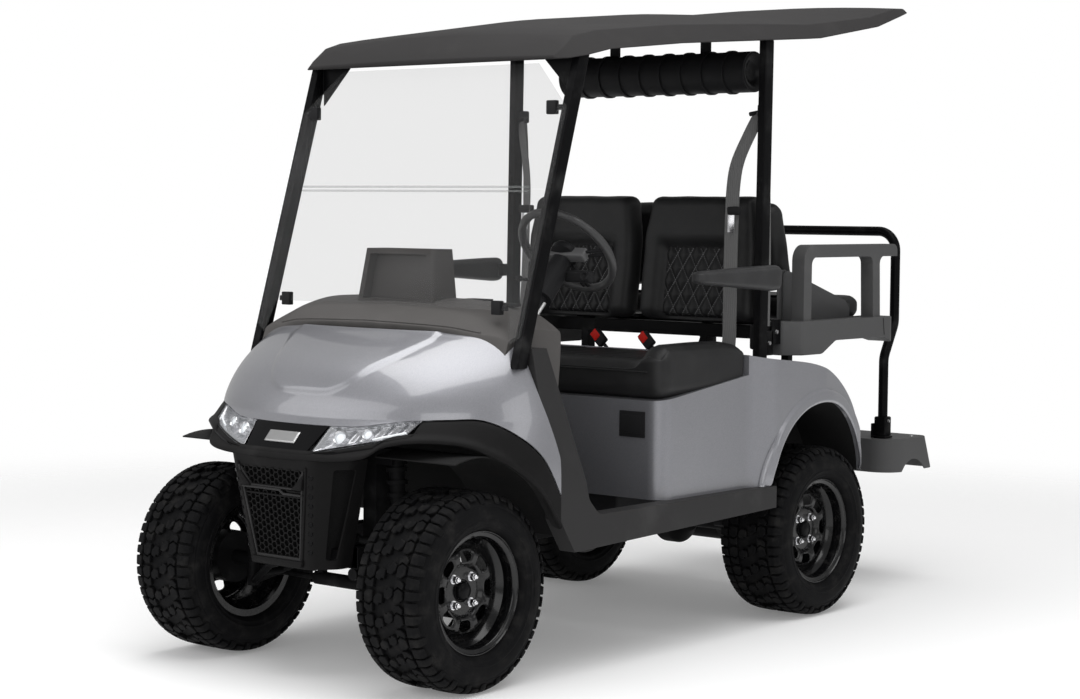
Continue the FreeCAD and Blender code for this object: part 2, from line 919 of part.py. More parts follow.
def leaf_spring():
    """Leaf pack over the axle with eyes and hangers up to the rail."""
    x = leaf_spacing / 2
    y = along(wheelbase)
    seat = tyre_radius + axle_tube_radius
    leaves = []
    for i in range(leaf_count):
        half = leaf_span / 2 * (1 - i / (leaf_count + 1))
        low = seat + leaf_thickness * (leaf_count - 1 - i)
        end = low + leaf_drop * (half / (leaf_span / 2)) ** 2
        top = [vec(x, y - half, end + leaf_thickness), vec(x, y, low + leaf_thickness),
               vec(x, y + half, end + leaf_thickness)]
        under = [vec(x, y + half, end), vec(x, y, low), vec(x, y - half, end)]
        wire = Part.Wire([Part.Arc(*top).toShape(), Part.makeLine(top[2], under[0]),
                          Part.Arc(*under).toShape(), Part.makeLine(under[2], top[0])])
        leaves.append(Part.Face(wire).extrude(vec(leaf_width, 0, 0)))
    eye_z = seat + leaf_thickness * (leaf_count - 1) + leaf_drop + leaf_thickness / 2
    for way in (-1, 1):
        centre = vec(x, y + way * leaf_span / 2, eye_z)
        leaves.append(rod(centre, centre + vec(leaf_width, 0, 0), leaf_eye_radius))
    clamp_half = axle_tube_radius
    leaves.append(block(x, x + leaf_width, y - clamp_half, y + clamp_half, seat - leaf_thickness,
                        seat + leaf_thickness * (leaf_count + 1)))
    pack = fuse(leaves)
    tube = rod(vec(x - overrun, y, tyre_radius), vec(x + overrun, y, tyre_radius), axle_tube_radius)
    return pack.cut(tube)


def spring_hangers():
    """Blocks on the outside of the rails beside the spring eyes."""
    y = along(wheelbase)
    seat = tyre_radius + axle_tube_radius
    eye_z = seat + leaf_thickness * (leaf_count - 1) + leaf_drop + leaf_thickness / 2
    rail_x = rail_spacing / 2 + rail_width / 2
    hangers = []
    for way in (-1, 1):
        centre = y + way * leaf_span / 2
        hanger = block(rail_x, leaf_spacing / 2 - running_gap, centre - leaf_eye_radius, centre + leaf_eye_radius,
                       rail_top - leaf_eye_radius * 2, eye_z + leaf_eye_radius)
        hangers += [hanger, mirrored(hanger)]
    return hangers


def rear_shock():
    """Damper from the axle tube up to the side of the rail."""
    y = along(wheelbase)
    foot = vec(rear_shock_x, y - axle_tube_radius - shock_eye_radius - running_gap, tyre_radius)
    top = vec(rear_shock_x, y - axle_tube_radius * 3, rear_shock_top)
    run = top - foot
    body = rod(foot + run / 2, top, rear_shock_radius)
    stem = rod(foot, foot + run / 2, rear_shock_radius / 2)
    eyes = [rod(p - vec(rear_shock_radius, 0, 0), p + vec(rear_shock_radius, 0, 0), shock_eye_radius)
            for p in (foot, top)]
    return fuse([body, stem] + eyes)


def shock_towers():
    """Plates that stand on the rails beside the upper ends of the rear dampers."""
    y = along(wheelbase) - axle_tube_radius * 3
    x_low = rail_spacing / 2
    x_high = rear_shock_x - rear_shock_radius - running_gap
    half = shock_eye_radius * 2
    tower = block(x_low, x_high, y - half, y + half, rail_top, rear_shock_top + shock_eye_radius)
    return [tower, mirrored(tower)]


def frame_brackets():
    """What stands on the rails: damper towers, spring hangers, step arms and deck struts."""
    tower = front_tower()
    parts = [tower, mirrored(tower)] + spring_hangers() + shock_towers()
    arm = step_arm()
    return Part.makeCompound(parts + [arm, mirrored(arm)])


# Shares of the nose from its seam to the top: height, half width and how far the front draws back
nose_level_shares = (
    (0.15, 0.985, 0.035), (0.32, 0.965, 0.11), (0.5, 0.94, 0.235), (0.66, 0.915, 0.405),
    (0.81, 0.885, 0.61), (0.93, 0.855, 0.79), (1.0, 0.83, 0.9), (1.1, 0.79, 1.03),
)
# The band under the seam spreads to its full width over the first share of its own height
skirt_end_share = 3.3
skirt_steps = 10
curve_steps = 16


def plan_points(half_width, front, power, height, tail):
    """Points of a rounded front from side to side, run on past its rear by tail."""
    rear = nose_side_y
    points = [vec(-half_width, along(rear + tail), height)]
    for i in range(curve_steps + 1):
        across = math.sin(math.pi * (i / curve_steps - 1 / 2))
        depth = max(0, 1 - abs(across) ** power) ** (1 / power)
        points.append(vec(half_width * across, along(rear - (rear - front) * depth), height))
    points.append(vec(half_width, along(rear + tail), height))
    return points


def nose_solid(inset, tail):
    """Solid inside the nose's surface, drawn in by inset and run on to the rear by tail."""
    rows = []
    band = seam_height - skirt_height
    for i in range(skirt_steps + 1):
        height_share = skirt_end_share * (i / skirt_steps - 1)
        spread_share = min(1, -height_share)
        width = nose_half_width + (skirt_half_width - nose_half_width) * spread_share
        front = nose_reach + (skirt_reach - nose_reach) * spread_share
        power = nose_curve_share + (skirt_curve_share - nose_curve_share) * spread_share
        rows.append(plan_points(width - inset, front + inset, power, seam_height + band * height_share, tail))
    rise = cowl_top - seam_height
    rise_back_share = 2 / 3
    back = (nose_side_y - nose_reach) * rise_back_share
    for height_share, width_share, back_share in nose_level_shares:
        rows.append(plan_points(nose_half_width * width_share - inset, nose_reach + back * back_share + inset,
                                nose_curve_share, seam_height + rise * height_share, tail))
    skin = Part.BSplineSurface()
    skin.interpolate(rows)
    face = skin.toShape()
    low, high = rows[0][0].z, rows[-1][0].z
    rear_y = along(nose_side_y + tail)
    caps = []
    for height in (low, high):
        rim_edges = [edge for edge in face.Edges if max(abs(v.Point.z - height) for v in edge.Vertexes) < fuse_depth]
        ends = [v.Point for v in rim_edges[0].Vertexes]
        caps.append(Part.Face(Part.Wire([rim_edges[0], Part.makeLine(ends[1], ends[0])])))
    sides = [edge for edge in face.Edges if abs(edge.Vertexes[0].Point.z - edge.Vertexes[1].Point.z) > fuse_depth]
    sides.sort(key=lambda edge: edge.Vertexes[0].Point.x)
    tops = [max((v.Point for v in edge.Vertexes), key=lambda point: point.z) for edge in sides]
    feet = [min((v.Point for v in edge.Vertexes), key=lambda point: point.z) for edge in sides]
    rear_wire = Part.Wire(Part.__sortEdges__([sides[0], Part.makeLine(tops[0], tops[1]), sides[1],
                                              Part.makeLine(feet[1], feet[0])]))
    caps.append(Part.Face(rear_wire))
    skin = Part.makeShell([face] + caps)
    skin.sewShape()
    solid = Part.Solid(skin)
    if solid.Volume < 0:
        solid.reverse()
    return solid


# Lines in side view as (distance from the nose's tip, height) shares of the nose's depth and rise
seam_shares = ((-0.5, -0.14), (0.0, -0.09), (0.1, -0.035), (0.18, 0.0), (0.32, 0.022), (0.48, 0.013),
               (0.645, -0.158), (0.822, -0.44), (0.975, -0.865), (1.2, -1.7))
edge_shares = ((-0.5, -0.49), (-0.22, -0.49), (-0.1, -0.43), (0.0, -0.3), (0.1, -0.245), (0.215, -0.245),
               (0.35, -0.31), (0.545, -0.52), (0.79, -0.86), (0.985, -1.33), (1.1, -1.6), (1.2, -1.9))


def side_line(shares):
    """Spline edge in the side plane from shares of the nose."""
    points = []
    for back_share, height_share in shares:
        points.append(vec(-overrun * 2, along(nose_reach + nose_depth * back_share),
                          seam_height + (cowl_top - seam_height) * height_share))
    curve = Part.BSplineCurve()
    curve.interpolate(points)
    return curve.toShape(), points[0], points[-1]


def above_line(shares, ceiling):
    """Solid over a side line, right across the cart."""
    edge, first, last = side_line(shares)
    first_top = vec(first.x, first.y, ceiling)
    last_top = vec(last.x, last.y, ceiling)
    wire = Part.Wire([edge, Part.makeLine(last, last_top), Part.makeLine(last_top, first_top),
                      Part.makeLine(first_top, first)])
    return Part.Face(wire).extrude(vec(overrun * 4, 0, 0))


def nose_shell():
    """Whole nose skin, open to the rear, above and below."""
    cavity = nose_solid(body_wall, body_wall * 2)
    return nose_solid(0, body_wall).cut(cavity).common(side_block(-overrun * 2, overrun * 2))


def front_cowl(shell):
    """Painted cowl above the seam, below the dash, with pockets for the feet of the posts."""
    above = above_line(seam_shares, cowl_top + overrun)
    foot = post(pillar_x, pillar_foot, pillar_width + running_gap * 2, pillar_depth + running_gap * 2)
    pockets = both(foot)
    return shell.common(above).cut(pockets)


def skirt(shell):
    """Dark band under the seam: fascia in the middle and the two flares."""
    above_edge = above_line(edge_shares, cowl_top + overrun)
    above_seam = above_line(seam_shares, cowl_top + overrun)
    return shell.common(above_edge).cut(above_seam)


# Rear edge of the cowl in side view as (distance ahead of the widest place, height) in shares of the nose
cowl_rear_shares = ((0.0, -2.0), (0.0, -0.9), (0.013, -0.456), (0.116, 0.307), (0.14, 0.904), (0.14, 2.0))


def cowl_rear_line(gap):
    """Points (y, z) down the rear edge of the cowl, moved back by gap."""
    points = []
    for ahead_share, height_share in cowl_rear_shares:
        points.append((along(nose_side_y - nose_depth * ahead_share) + gap,
                       seam_height + (cowl_top - seam_height) * height_share))
    return points


def side_block(x_low, x_high):
    """Everything ahead of the cowl's slanted rear edge between two x places."""
    edge = cowl_rear_line(0)
    front = along(nose_reach) - overrun * 2
    points = [(front, edge[0][1]), edge[0]] + edge[1:] + [(front, edge[-1][1])]
    whole = plate_x(points, x_low, x_high)
    return whole.common(block(x_low, x_high, front, along(wheelbase), fascia_bottom, cowl_top))


def fascia_section(z, half, front):
    """Chamfered plan of the lower fascia at one height."""
    chamfer = fascia_chamfer * half / fascia_top_half
    slant_share = 0.8
    points = [vec(-half, along(fascia_rear), z), vec(-half, along(front + chamfer), z),
              vec(-half + chamfer * slant_share, along(front), z), vec(half - chamfer * slant_share, along(front), z),
              vec(half, along(front + chamfer), z), vec(half, along(fascia_rear), z)]
    return outline(points, [0, body_wall * 6, body_wall * 5, body_wall * 5, body_wall * 6, 0])


def lower_fascia():
    """Hollow chin under the lamps with the opening that the grille fills."""
    top = skirt_height
    outer = Part.makeLoft([fascia_section(fascia_bottom, fascia_bottom_half, fascia_front + fascia_lean),
                           fascia_section(top, fascia_top_half, fascia_front)], True, True)
    inner = Part.makeLoft([
        fascia_section(fascia_bottom, fascia_bottom_half - fascia_wall, fascia_front + fascia_lean + fascia_wall),
        fascia_section(top, fascia_top_half - fascia_wall, fascia_front + fascia_wall)], True, True)
    inner_rear = inner.copy()
    inner_rear.translate(vec(0, fascia_wall * 2, 0))
    shell = outer.cut(inner).cut(inner_rear)
    low, high = fascia_bottom + fascia_slot_border, skirt_height - fascia_slot_border
    front = along(fascia_slot_front)
    slot = plate_x([(front + fascia_slot_lean, low), (front + fascia_slot_width, low),
                    (front + fascia_slot_width + fascia_slot_lean, high), (front, high)],
                   -fascia_top_half - body_wall, fascia_top_half + body_wall, fascia_slot_lean / 2)
    return shell.cut(grille_window(0)).cut(slot)


def grille_window(margin):
    """Block with the grille's outline, grown by margin."""
    top = grille_top + margin
    bottom = grille_bottom - margin
    return plate_y([(-grille_bottom_half - margin, bottom), (grille_bottom_half + margin, bottom),
                    (grille_top_half + margin, top), (-grille_top_half - margin, top)],
                   along(fascia_front) - overrun / 4, along(fascia_front) + overrun / 5)


def grille():
    """Hexagon mesh in a frame, leaning with the fascia."""
    z_low, z_high = grille_bottom + running_gap, grille_top - running_gap
    rise = skirt_height - fascia_bottom

    def front_at(z):
        return along(fascia_front + fascia_lean * (skirt_height - z) / rise)

    slab = plate_x([(front_at(z_low) + fascia_wall, z_low), (front_at(z_low) - fascia_wall, z_low),
                    (front_at(z_high) - fascia_wall, z_high), (front_at(z_high) + fascia_wall, z_high)],
                   -fascia_top_half, fascia_top_half)
    window = plate_y([(-grille_bottom_half + running_gap, z_low), (grille_bottom_half - running_gap, z_low),
                      (grille_top_half - running_gap, z_high), (-grille_top_half + running_gap, z_high)],
                     along(fascia_front) - overrun / 4, along(fascia_front) + overrun / 5)
    mesh = slab.common(window)
    holes = []
    columns = int(2 * grille_top_half / hexagon_pitch) + 2
    rows = int((grille_top - grille_bottom) / hexagon_pitch) + 2
    for i in range(-columns // 2, columns // 2 + 1):
        for j in range(rows):
            x = i * hexagon_pitch * math.sin(math.pi / 3)
            z = grille_bottom + grille_frame + hexagon_radius + j * hexagon_pitch + (i % 2) * hexagon_pitch / 2
            half = grille_bottom_half + (grille_top_half - grille_bottom_half) * (
                (z - grille_bottom) / (grille_top - grille_bottom))
            if abs(x) + hexagon_radius > half - grille_frame / 2:
                continue
            if abs(z - grille_bar) < hexagon_radius + grille_bar_height / 2:
                continue
            if z + hexagon_radius > grille_top - grille_frame / 2:
                continue
            holes.append(plate_y(hexagon(x, z, hexagon_radius), along(fascia_front) - overrun / 4,
                                 along(fascia_front) + overrun / 5))
    return mesh.cut(Part.makeCompound(holes))


def lamp_zone(side):
    """Block whose front outline is one headlamp's, in front view."""
    points = [(side * lamp_inner_x, seam_height + fascia_wall * 4), (side * (lamp_inner_x - fascia_wall * 3), lamp_lower_inner),
              (side * lamp_outer_x, lamp_lower_outer), (side * (lamp_outer_x + fascia_wall * 5), seam_height + fascia_wall * 4)]
    if side < 0:
        points.reverse()
    return plate_y(points, along(skirt_reach) - overrun / 4, along(nose_reach) + overrun / 2)


def badge_zone():
    """Block whose front outline is the panel between the lamps."""
    return plate_y([(-badge_half_bottom, badge_bottom), (badge_half_bottom, badge_bottom),
                    (badge_half_top, seam_height + fascia_wall * 4), (-badge_half_top, seam_height + fascia_wall * 4)],
                   along(skirt_reach) - overrun / 4, along(nose_reach) + overrun / 2)


def wheel_liner():
    """Arched inner guard over a front wheel, clear of it at full lock."""
    y, z = along(0), tyre_radius
    outer = Part.makeCylinder(liner_radius + liner_wall, liner_outer_x - liner_inner_x,
                              vec(liner_inner_x, y, z), vec(1, 0, 0))
    inner = Part.makeCylinder(liner_radius, overrun * 3, vec(-overrun, y, z), vec(1, 0, 0))
    ring = outer.cut(inner)
    keep = block(0, overrun * 2, y - liner_ahead, y + overrun * 2, floor_top, z + overrun * 2)
    return ring.common(keep)


def rear_wheel_liner():
    """Arched guard over a rear wheel, closed on its inner side."""
    arch_y = along(wheelbase - rear_arch_ahead)
    length = fender_half_width - rear_liner_inner_x
    outer = Part.makeCylinder(rear_arch_radius + liner_wall, length, vec(rear_liner_inner_x, arch_y, rear_arch_height),
                              vec(1, 0, 0))
    inner = Part.makeCylinder(rear_arch_radius, length, vec(rear_liner_inner_x + liner_wall, arch_y, rear_arch_height),
                              vec(1, 0, 0))
    above = block(rear_liner_inner_x, fender_half_width, arch_y - overrun, arch_y + overrun,
                  base_bottom, fender_top)
    return outer.cut(inner).common(above).common(rear_block(body_wall))


def dash():
    """Padded dash from the cowl seam over to the panel that faces the driver."""
    ledge = cowl_top + dash_ledge
    seam = nose_side_y / 2 - body_wall
    points = [(along(seam), cowl_top), (along(seam) - body_wall, ledge), (along(dash_peak_y), dash_top),
              (along(dash_rear_y), dash_top - dash_ledge), (along(dash_rear_y - dash_ledge), dash_bottom),
              (along(dash_rear_y - dash_ledge) - dash_wall, dash_bottom),
              (along(dash_rear_y - dash_ledge) - dash_wall, cowl_top)]
    radii = [0, dash_wall, dash_corner, dash_corner / 2, 0, 0, 0]
    side = plate_x(points, -dash_half_width, dash_half_width, radii)
    shoulder = dash_half_width - dash_corner
    middle = shoulder - dash_corner * 3
    front = plate_y([(-dash_half_width, dash_bottom), (dash_half_width, dash_bottom),
                     (dash_half_width, cowl_top - dash_ledge), (shoulder, dash_top - dash_ledge),
                     (middle, dash_top), (-middle, dash_top), (-shoulder, dash_top - dash_ledge),
                     (-dash_half_width, cowl_top - dash_ledge)],
                    along(0), along(wheelbase),
                    [0, 0, dash_corner / 2, dash_corner, dash_corner * 2, dash_corner * 2, dash_corner, dash_corner / 2])
    rim = plan_points(dash_half_width, seam - body_wall * 2, nose_curve_share, dash_bottom, nose_side_y)
    edge = Part.BSplineCurve()
    edge.interpolate(rim)
    plan = Part.Face(Part.Wire([edge.toShape(), Part.makeLine(rim[-1], rim[0])])).extrude(vec(0, 0, dash_top))
    return side.common(front).common(plan)


def dash_pod(dash_body):
    """Storage tower on top of the dash with a recessed front."""
    front = along(pod_front_y)
    low = dash_top - dash_ledge * 2
    lower = outline([vec(-pod_bottom_half, front, low), vec(pod_bottom_half, front, low),
                     vec(pod_bottom_half, front + pod_depth, low), vec(-pod_bottom_half, front + pod_depth, low)],
                    pod_corner)
    upper = outline([vec(-pod_top_half, front + pod_lean, pod_top), vec(pod_top_half, front + pod_lean, pod_top),
                     vec(pod_top_half, front + pod_depth, pod_top), vec(-pod_top_half, front + pod_depth, pod_top)],
                    pod_corner)
    return Part.makeLoft([lower, upper], True, True).cut(dash_body)


def wheel_axis():
    tilt = math.radians(wheel_tilt)
    return vec(0, math.sin(tilt), math.cos(tilt))


def steering_wheel():
    """Round grip, three spokes and a boss on the tilted column."""
    hub = vec(wheel_hub_x, along(wheel_hub_y), wheel_hub_z)
    axis = wheel_axis()
    grip = Part.makeTorus(wheel_radius, wheel_grip_radius, hub, axis)
    boss_base = hub - axis * (spoke_drop + wheel_boss_height / 2)
    boss = rod(boss_base, boss_base + axis * wheel_boss_height, wheel_boss_radius)
    parts = [grip, boss]
    across = vec(1, 0, 0)
    up = axis.cross(across)
    up.normalize()
    for degrees in (0, 180, 270):
        angle = math.radians(degrees)
        out = across * math.cos(angle) + up * math.sin(angle)
        side = axis.cross(out)
        start = hub - axis * spoke_drop
        end = hub + out * wheel_radius
        corners = []
        for way in (-1, 1):
            corners.append(start + side * (way * spoke_width / 2))
        face = Part.Face(outline([corners[0], corners[1], end + side * (spoke_width / 2),
                                  end - side * (spoke_width / 2)]))
        parts.append(face.extrude(axis * spoke_thickness))
    return fuse(parts)


def steering_column(dash_body):
    """Column tube and shroud under the wheel, down to the dash."""
    axis = wheel_axis()
    hub = vec(wheel_hub_x, along(wheel_hub_y), wheel_hub_z)
    top = hub - axis * (spoke_drop + wheel_boss_height / 2 + running_gap)
    tube = rod(top, top - axis * column_length, column_radius)
    mouth_share = 0.8
    shroud = lathe([(0, 0), (column_shroud_radius * mouth_share, 0),
                    (column_shroud_radius, column_shroud_length / 3),
                    (column_shroud_radius, column_shroud_length), (0, column_shroud_length)], top, axis * -1)
    return largest(fuse([tube, shroud]).cut(dash_body))


def floor_pan():
    """Flat floor that turns up into the toe board."""
    low = floor_top - floor_thickness
    wall = floor_thickness / 2
    points = [(along(floor_rear) - running_gap, low), (along(floor_rear) - running_gap, floor_top),
              (along(toe_board_foot_y), floor_top), (along(toe_board_top_y), toe_board_top),
              (along(toe_board_top_y) - wall, toe_board_top), (along(toe_board_foot_y) - floor_thickness, low)]
    return plate_x(points, -floor_half_width, floor_half_width, [0, 0, floor_thickness * 2, 0, 0, floor_thickness])


def floor_mat():
    """Rubber mat on the floor between the rockers."""
    return block(-floor_half_width + mat_margin, floor_half_width - mat_margin,
                 along(toe_board_foot_y) + mat_margin, along(floor_rear) - mat_margin,
                 floor_top, floor_top + mat_thickness)


def pedals():
    """Brake and drive pedals on their arms through the toe board."""
    lean = (toe_board_foot_y - toe_board_top_y) / (toe_board_top - floor_top)
    base_z = floor_top + pedal_height
    shapes = []
    for i in range(2):
        x = pedal_x + i * pedal_spacing
        y = along(toe_board_foot_y) - lean * (base_z - floor_top) + pedal_height
        pad = plate_x([(y, base_z), (y + pedal_thickness, base_z), (y + pedal_thickness - lean * pedal_height, base_z + pedal_height),
                       (y - lean * pedal_height, base_z + pedal_height)], x - pedal_width / 2, x + pedal_width / 2)
        mid = base_z + pedal_height / 2
        board = along(toe_board_foot_y) - lean * (mid - floor_top)
        arm = rod(vec(x, board, mid), vec(x, y, mid), pedal_thickness)
        shapes.append(fuse([pad, arm]))
    return Part.makeCompound(shapes)


def rocker(dash_body):
    """Side sill that sweeps up in front to the foot of the roof post."""
    x_low = rocker_x - rocker_width
    kick_rear = rocker_front + kick_width
    edge = [point for point in cowl_rear_line(running_gap) if rocker_top < point[1] < kick_top]
    front = along(nose_side_y) + running_gap
    top_front = along(kick_top_y) + running_gap
    points = [(front, rocker_top), (along(rocker_front), rocker_bottom), (along(rocker_rear), rocker_bottom + rocker_rise),
              (along(rocker_rear), rocker_top), (along(kick_rear + rocker_corner), rocker_top),
              (along(kick_rear), rocker_top + rocker_corner), (along(kick_top_y + kick_width), kick_top),
              (top_front, kick_top)] + edge[::-1]
    radii = [0, 0, 0, 0, rocker_corner, rocker_corner] + [0] * (len(points) - 6)
    side = plate_x(points, 0, rocker_x, radii)
    front_view = plate_y([(x_low, rocker_bottom), (rocker_x, rocker_bottom), (rocker_x, kick_knee),
                          (kick_top_x, kick_top), (kick_top_x - rocker_width, kick_top), (x_low, kick_knee)],
                         along(0), along(wheelbase))
    foot = post(pillar_x, pillar_foot, pillar_width + running_gap * 2, pillar_depth + running_gap * 2)
    return largest(side.common(front_view).cut(foot).cut(dash_body))


# Fall of the rear fender as (distance, height) shares from the shelf back to its tail
tail_shares = ((0.0, 1.0), (0.277, 0.94), (0.573, 0.851), (0.751, 0.7), (0.887, 0.484), (0.965, 0.2), (1.0, 0.0))


def rear_profile(inset):
    """Side view of the rear body, drawn in by inset."""
    low = base_bottom - inset
    high = fender_top - inset
    shelf = along(fender_shelf_start) + inset
    rear = along(fender_rear) - inset
    tail = []
    for back_share, height_share in tail_shares:
        tail.append(vec(-fender_half_width, shelf + (rear - shelf) * back_share, low + (high - low) * height_share))
    fall = Part.BSplineCurve()
    fall.interpolate(tail)
    corners = [tail[-1], vec(-fender_half_width, along(base_front) + inset, low),
               vec(-fender_half_width, along(base_front) + inset, base_top - inset),
               vec(-fender_half_width, shelf, base_top + base_rise - inset), tail[0]]
    edges = [fall.toShape()]
    for start, end in zip(corners, corners[1:]):
        edges.append(Part.makeLine(start, end))
    return Part.Face(Part.Wire(edges))


def rear_plan(inset):
    """Plan of the rear body, drawn in by inset."""
    half = base_half_width - inset
    full = fender_half_width - inset
    tail = fender_rear_half_width - inset
    right = [(half, along(base_front) + inset), (half, along(fender_shelf_start)),
             (full, along(rocker_rear)), (full, along(wheelbase)), (tail, along(fender_rear) - inset)]
    left = [(-x, y) for x, y in reversed(right)]
    return right + left


def rear_block(inset):
    """Side view and plan together."""
    side = rear_profile(inset).extrude(vec(fender_half_width * 2, 0, 0))
    corner = base_corner - inset
    half_radii = [corner, base_corner * 2, base_corner * 2, base_corner * 2, corner]
    plan = plate_z(rear_plan(inset), 0, fender_top + overrun, half_radii + half_radii[::-1])
    return side.common(plan)


def rear_body():
    """Painted seat base and rear fenders, hollow, with wheel arches and the bay under the bench."""
    arch_y = along(wheelbase - rear_arch_ahead)
    ring = Part.makeCylinder(rear_arch_radius + arch_lip_width, overrun * 4,
                             vec(-overrun * 2, arch_y, rear_arch_height), vec(1, 0, 0))
    lips = rear_block(-arch_lip_rise).common(ring).cut(block(-base_half_width, base_half_width, along(0),
                                                            along(rear_overhang + wheelbase), 0, fender_top + overrun))
    shell = fuse([rear_block(0), lips.common(block(-overrun * 2, overrun * 2, along(0), along(fender_rear),
                                                   base_bottom, fender_top))]).cut(rear_block(body_wall))
    arch = Part.makeCylinder(rear_arch_radius, overrun * 4, vec(-overrun * 2, arch_y, rear_arch_height),
                             vec(1, 0, 0))
    arch_leg = block(-overrun * 2, overrun * 2, arch_y - rear_arch_radius, arch_y + rear_arch_radius,
                     0, rear_arch_height)
    bay = block(-battery_width / 2 - mat_margin, battery_width / 2 + mat_margin,
                along(battery_front) - mat_margin, along(battery_front + battery_length) + mat_margin,
                base_bottom + body_wall * 2, fender_top + overrun)
    return shell.cut(arch).cut(arch_leg).cut(bay)


def battery():
    """Battery case on the rails, in the bay under the bench."""
    return block(-battery_width / 2, battery_width / 2, along(battery_front),
                 along(battery_front + battery_length), rail_top, rail_top + battery_height)


def hinge_barrels(distance, height):
    """Round barrels at both sides, along the edge about which a cushion tips."""
    y = along(distance)
    half = seat_hinge_length / 2
    return [rod(vec(side * seat_hinge_x - half, y, height), vec(side * seat_hinge_x + half, y, height),
                seat_hinge_radius) for side in (-1, 1)]


def front_cushion():
    """Bench cushion with raised sides, resting on the seat base."""
    slope = base_rise / (fender_shelf_start - base_front)
    low_front = base_top + slope * (cushion_front - base_front) + seat_gap
    low_rear = base_top + slope * (cushion_rear - base_front) + seat_gap
    rear_top = low_rear + cushion_thickness - bolster_height
    side = plate_x([(along(cushion_front), low_front), (along(cushion_rear), low_rear),
                    (along(cushion_rear), rear_top), (along(cushion_front), low_front + cushion_thickness)],
                   -cushion_half_width, cushion_half_width, [0, 0, cushion_rear_drop, cushion_nose])
    plan = plate_z([(-cushion_half_width, along(cushion_front)), (cushion_half_width, along(cushion_front)),
                    (cushion_half_width, along(cushion_rear)), (-cushion_half_width, along(cushion_rear))],
                   0, overrun * 4, [cushion_corner, cushion_corner, base_corner / 2, base_corner / 2])
    bolster = plate_x([(along(cushion_front) + cushion_corner, low_front + cushion_thickness / 2),
                       (along(cushion_rear), rear_top - bolster_height),
                       (along(cushion_rear), rear_top),
                       (along(cushion_rear) - cushion_corner, rear_top + bolster_height),
                       (along(cushion_front) + cushion_corner * 2, low_front + cushion_thickness)],
                      cushion_half_width - bolster_width, cushion_half_width,
                      [0, 0, 0, cushion_corner / 2, cushion_corner])
    pad = fuse([side.common(plan), bolster.common(plan), mirrored(bolster.common(plan))])
    return fuse([pad] + hinge_barrels(cushion_rear - seat_hinge_radius, rear_top - seat_hinge_radius))


def leaning_pad(x_low, x_high, foot, top, thickness, corner):
    """Upholstered back between two (distance, height) places, leaning from foot to top."""
    side = plate_x([(along(foot[0]), foot[1]), (along(foot[0]) + thickness, foot[1]),
                    (along(top[0]) + thickness, top[1]), (along(top[0]), top[1])], x_low, x_high, corner / 2)
    front = plate_y([(x_low, foot[1]), (x_high, foot[1]), (x_high, top[1]), (x_low, top[1])],
                    along(0), along(wheelbase + rear_overhang), corner)
    return side.common(front)


def seat_backs():
    """Two front seat backs."""
    left = leaning_pad(back_inner_x, back_outer_x, (back_bottom_y, back_bottom), (back_top_y, back_top),
                       back_thickness, back_corner)
    return both(left)


def rear_seat_backs():
    """Backrest pair that faces rearwards."""
    left = leaning_pad(back_inner_x, rear_back_half_width, (rear_back_bottom_y, rear_back_bottom),
                       (rear_back_front_y, rear_back_top), rear_back_thickness, back_corner)
    return both(left)


def rear_cushion():
    """Rear bench cushion that tips up."""
    y_low, y_high = along(rear_cushion_front), along(rear_cushion_rear)
    side = plate_x([(y_low, rear_cushion_bottom), (y_high, rear_cushion_bottom),
                    (y_high, rear_cushion_bottom + rear_cushion_thickness),
                    (y_low, rear_cushion_bottom + rear_cushion_thickness)],
                   -rear_cushion_half_width, rear_cushion_half_width,
                   [seat_edge, seat_edge, seat_edge * 4, seat_edge * 2])
    plan = plate_z([(-rear_cushion_half_width, y_low), (rear_cushion_half_width, y_low),
                    (rear_cushion_half_width, y_high), (-rear_cushion_half_width, y_high)],
                   0, overrun * 4, seat_edge * 5)
    top = rear_cushion_bottom + rear_cushion_thickness
    return fuse([side.common(plan)] + hinge_barrels(rear_cushion_front + seat_hinge_radius,
                                                    top - seat_hinge_radius))


def armrest():
    """Padded arm beside the bench with its stub to the roof post."""
    x_low = cushion_half_width + armrest_clearance
    x_high = x_low + armrest_width
    top = armrest_bottom + armrest_height
    pad = plate_x([(along(armrest_front), armrest_bottom + armrest_drop), (along(armrest_rear), armrest_bottom),
                   (along(armrest_rear), top), (along(armrest_front), top - armrest_drop / 2)],
                  x_low, x_high, [armrest_edge, armrest_edge * 2, armrest_edge, armrest_edge])
    post_face = strut_x + strut_width / 2 + running_gap
    middle = armrest_bottom + armrest_height / 2
    stub = block(post_face, x_low + fuse_depth, along(armrest_rear) - armrest_stub, along(armrest_rear) + armrest_stub / 2,
                 middle - armrest_stub / 2, middle + armrest_stub / 2)
    return fuse([pad, stub])


